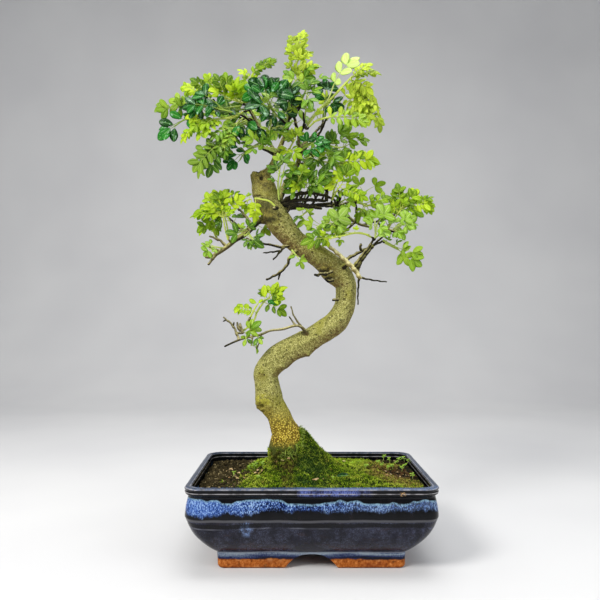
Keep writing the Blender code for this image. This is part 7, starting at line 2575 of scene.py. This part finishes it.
def soil_material():
    """Dark crumbly soil with brown and pale grains."""
    g = Graph("soil", Roughness=0.92, Specular_IOR_Level=0.1)
    kind, own, _ = g.grain()
    x, y, _ = g.axes()
    fine = g.noise(800, 3, 0.65)
    slow = g.noise(60, 3)
    colour = g.ramp(fine * 0.7 + slow * 0.3, (0.3, rgb(5, 4, 1)), (0.5, rgb(15, 13, 5)),
                    (0.7, rgb(36, 32, 15)))
    green = g.spread(g.noise(55, 3), 0.46, 0.60, 0, 0.7)
    colour = g.mix(green, colour, rgba(26, 34, 5))
    stone = g.ramp(own, (0.1, rgb(8, 6, 2)), (0.5, rgb(24, 19, 8)), (0.86, rgb(56, 46, 24)),
                   (0.98, rgb(206, 186, 136)))
    red = g.near(x, y, (BROWN_SPOT[0] + POT_X, BROWN_SPOT[1]), RED_REACH)
    stone = g.mix(red * g.spread(own, 0.2, 0.8, 0.9, 0.3), stone, rgba(112, 66, 36))
    colour = g.mix(kind, colour, g.mix(g.spread(fine, 0.3, 0.6), stone, rgba(60, 52, 30)))
    g.set("Base Color", colour)
    g.bump(fine, 0.0006, 0.8)
    return g.material


# Stage

# The photograph's size, and its focal length and shift in its own units
PHOTO_SIZE = 600
PHOTO_FOCUS = 624
PHOTO_SHIFT = (3, 28)

# The floor behind and under the object, in metres
FLOOR_FRONT = -6.0
FLOOR_BACK = 1.2
FLOOR_CURVE = 0.8
FLOOR_TALL = 6.0
FLOOR_HALF = 8.0

# Lamps: place, size, power, colour
LAMPS = {
    "key": ((-0.9, -1.0, 1.25), (0.5, 0.5), 27, (1.0, 0.98, 0.95)),
    "top": ((0.1, 0.1, 1.7), (1.2, 1.0), 19, (1.0, 1.0, 1.0)),
    "fill": ((1.2, -0.9, 0.7), (0.9, 0.9), 8, (0.96, 0.98, 1.0)),
}
LAMP_AIM = (0, 0, 0.28)
SKY_COLOUR = (0.94, 0.96, 1.0, 1)
SKY_POWER = 0.38


def plastic_material():
    """Black plastic with a little dust."""
    g = Graph("black_plastic", Roughness=0.45)
    fine = g.noise(700, 3, 0.6)
    g.set("Base Color", g.ramp(fine, (0.3, rgb(16, 16, 17)), (0.6, rgb(34, 34, 35)), (0.8, rgb(62, 56, 44))))
    g.bump(fine, 0.0002, 0.4)
    return g.material


def dress_packed():
    """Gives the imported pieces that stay, the meshes over the drainage holes, their material."""
    plastic = plastic_material()
    for obj in list(bpy.context.scene.objects):
        if obj.name.startswith("drainage_mesh"):
            obj.data.materials.clear()
            obj.data.materials.append(plastic)


def make_stage():
    """A pale floor that curves up far behind."""
    mesh = bpy.data.meshes.new("floor")
    rows = [(FLOOR_FRONT, 0.0), (FLOOR_BACK, 0.0)]
    for degrees in range(10, 91, 10):
        turn = math.radians(degrees)
        rows.append((FLOOR_BACK + FLOOR_CURVE * math.sin(turn), FLOOR_CURVE - FLOOR_CURVE * math.cos(turn)))
    rows.append((FLOOR_BACK + FLOOR_CURVE, FLOOR_TALL))
    points = [(x, y, z) for y, z in rows for x in (-FLOOR_HALF, FLOOR_HALF)]
    faces = [(2 * i, 2 * i + 1, 2 * i + 3, 2 * i + 2) for i in range(len(rows) - 1)]
    mesh.from_pydata(points, [], faces)
    mesh.shade_smooth()
    floor = linked("floor", mesh)
    g = Graph("floor", Roughness=0.75)
    g.set("Base Color", g.ramp(g.noise(2.5, 2), (0.3, rgb(206, 206, 207)), (0.7, rgb(214, 214, 214))))
    mesh.materials.append(g.material)


def make_lights():
    """Large soft lamps and a pale sky."""
    for name, (place, size, power, colour) in LAMPS.items():
        data = bpy.data.lights.new(name, "AREA")
        data.shape = "RECTANGLE"
        data.size, data.size_y = size
        data.energy = power
        data.color = colour
        obj = linked(name, data)
        obj.location = place
        obj.rotation_euler = (Vector(LAMP_AIM) - Vector(place)).to_track_quat("-Z", "Y").to_euler()
    world = bpy.data.worlds.new("studio")
    world.use_nodes = True
    sky = world.node_tree.nodes["Background"]
    sky.inputs[0].default_value = SKY_COLOUR
    sky.inputs[1].default_value = SKY_POWER
    bpy.context.scene.world = world


def make_camera():
    """The camera stands where the photo was taken, level, looking square at the pot's front."""
    data = bpy.data.cameras.new("camera")
    data.sensor_width = 36
    data.lens = 36 * PHOTO_FOCUS / PHOTO_SIZE
    data.shift_x = PHOTO_SHIFT[0] / PHOTO_SIZE
    data.shift_y = PHOTO_SHIFT[1] / PHOTO_SIZE
    data.clip_start = 0.01
    obj = linked("camera", data)
    obj.location = (GRID_X + POT_X, -EYE, GRID_Z)
    obj.rotation_euler = (math.pi / 2, 0, 0)
    bpy.context.scene.camera = obj
    bpy.context.scene.view_settings.view_transform = "Standard"


def wood_trees():
    """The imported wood's solids, which leaves are placed clear of, as in the part's source."""
    points, faces = loft(trunk_rings(1, TRUNK_SIDES))
    made = [("trunk", BVHTree.FromPolygons(points, faces))]
    lines = []
    for name, line in BRANCHES.items():
        thick = max(step[3] for step in line)
        resolution = 2 if thick > 3.9 else 0 if thick < 1.75 else 1
        lines.append((name, [front(*step[:3]) for step in line], [step[3] for step in line], resolution))
    for name, (_, shoot, _) in SPRAYS.items():
        lines.append((name, *spur_path(name, shoot), 0))
    for name, points, radii, resolution in lines:
        obj = tube(name, points, radii, resolution)
        made.append((name, BVHTree.FromObject(obj, bpy.context.evaluated_depsgraph_get())))
        bpy.data.objects.remove(obj, do_unlink=True)
    return made


def main():
    """Makes the pot, ground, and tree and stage."""
    make_pot()
    soil = make_soil()
    trunk = make_trunk()
    moss = make_moss(trunk)
    make_twigs(trunk.data.materials[0])
    make_leaves(wood_trees())
    make_seedlings()
    make_litter(soil, moss)
    dress_packed()
    make_stage()
    make_lights()
    make_camera()


# Worked out once from the tables
TRUNK_X = front(*TRUNK[0][:2]).x
WOOD = wood_points()
WOOD_TREE = wood_tree()

main()
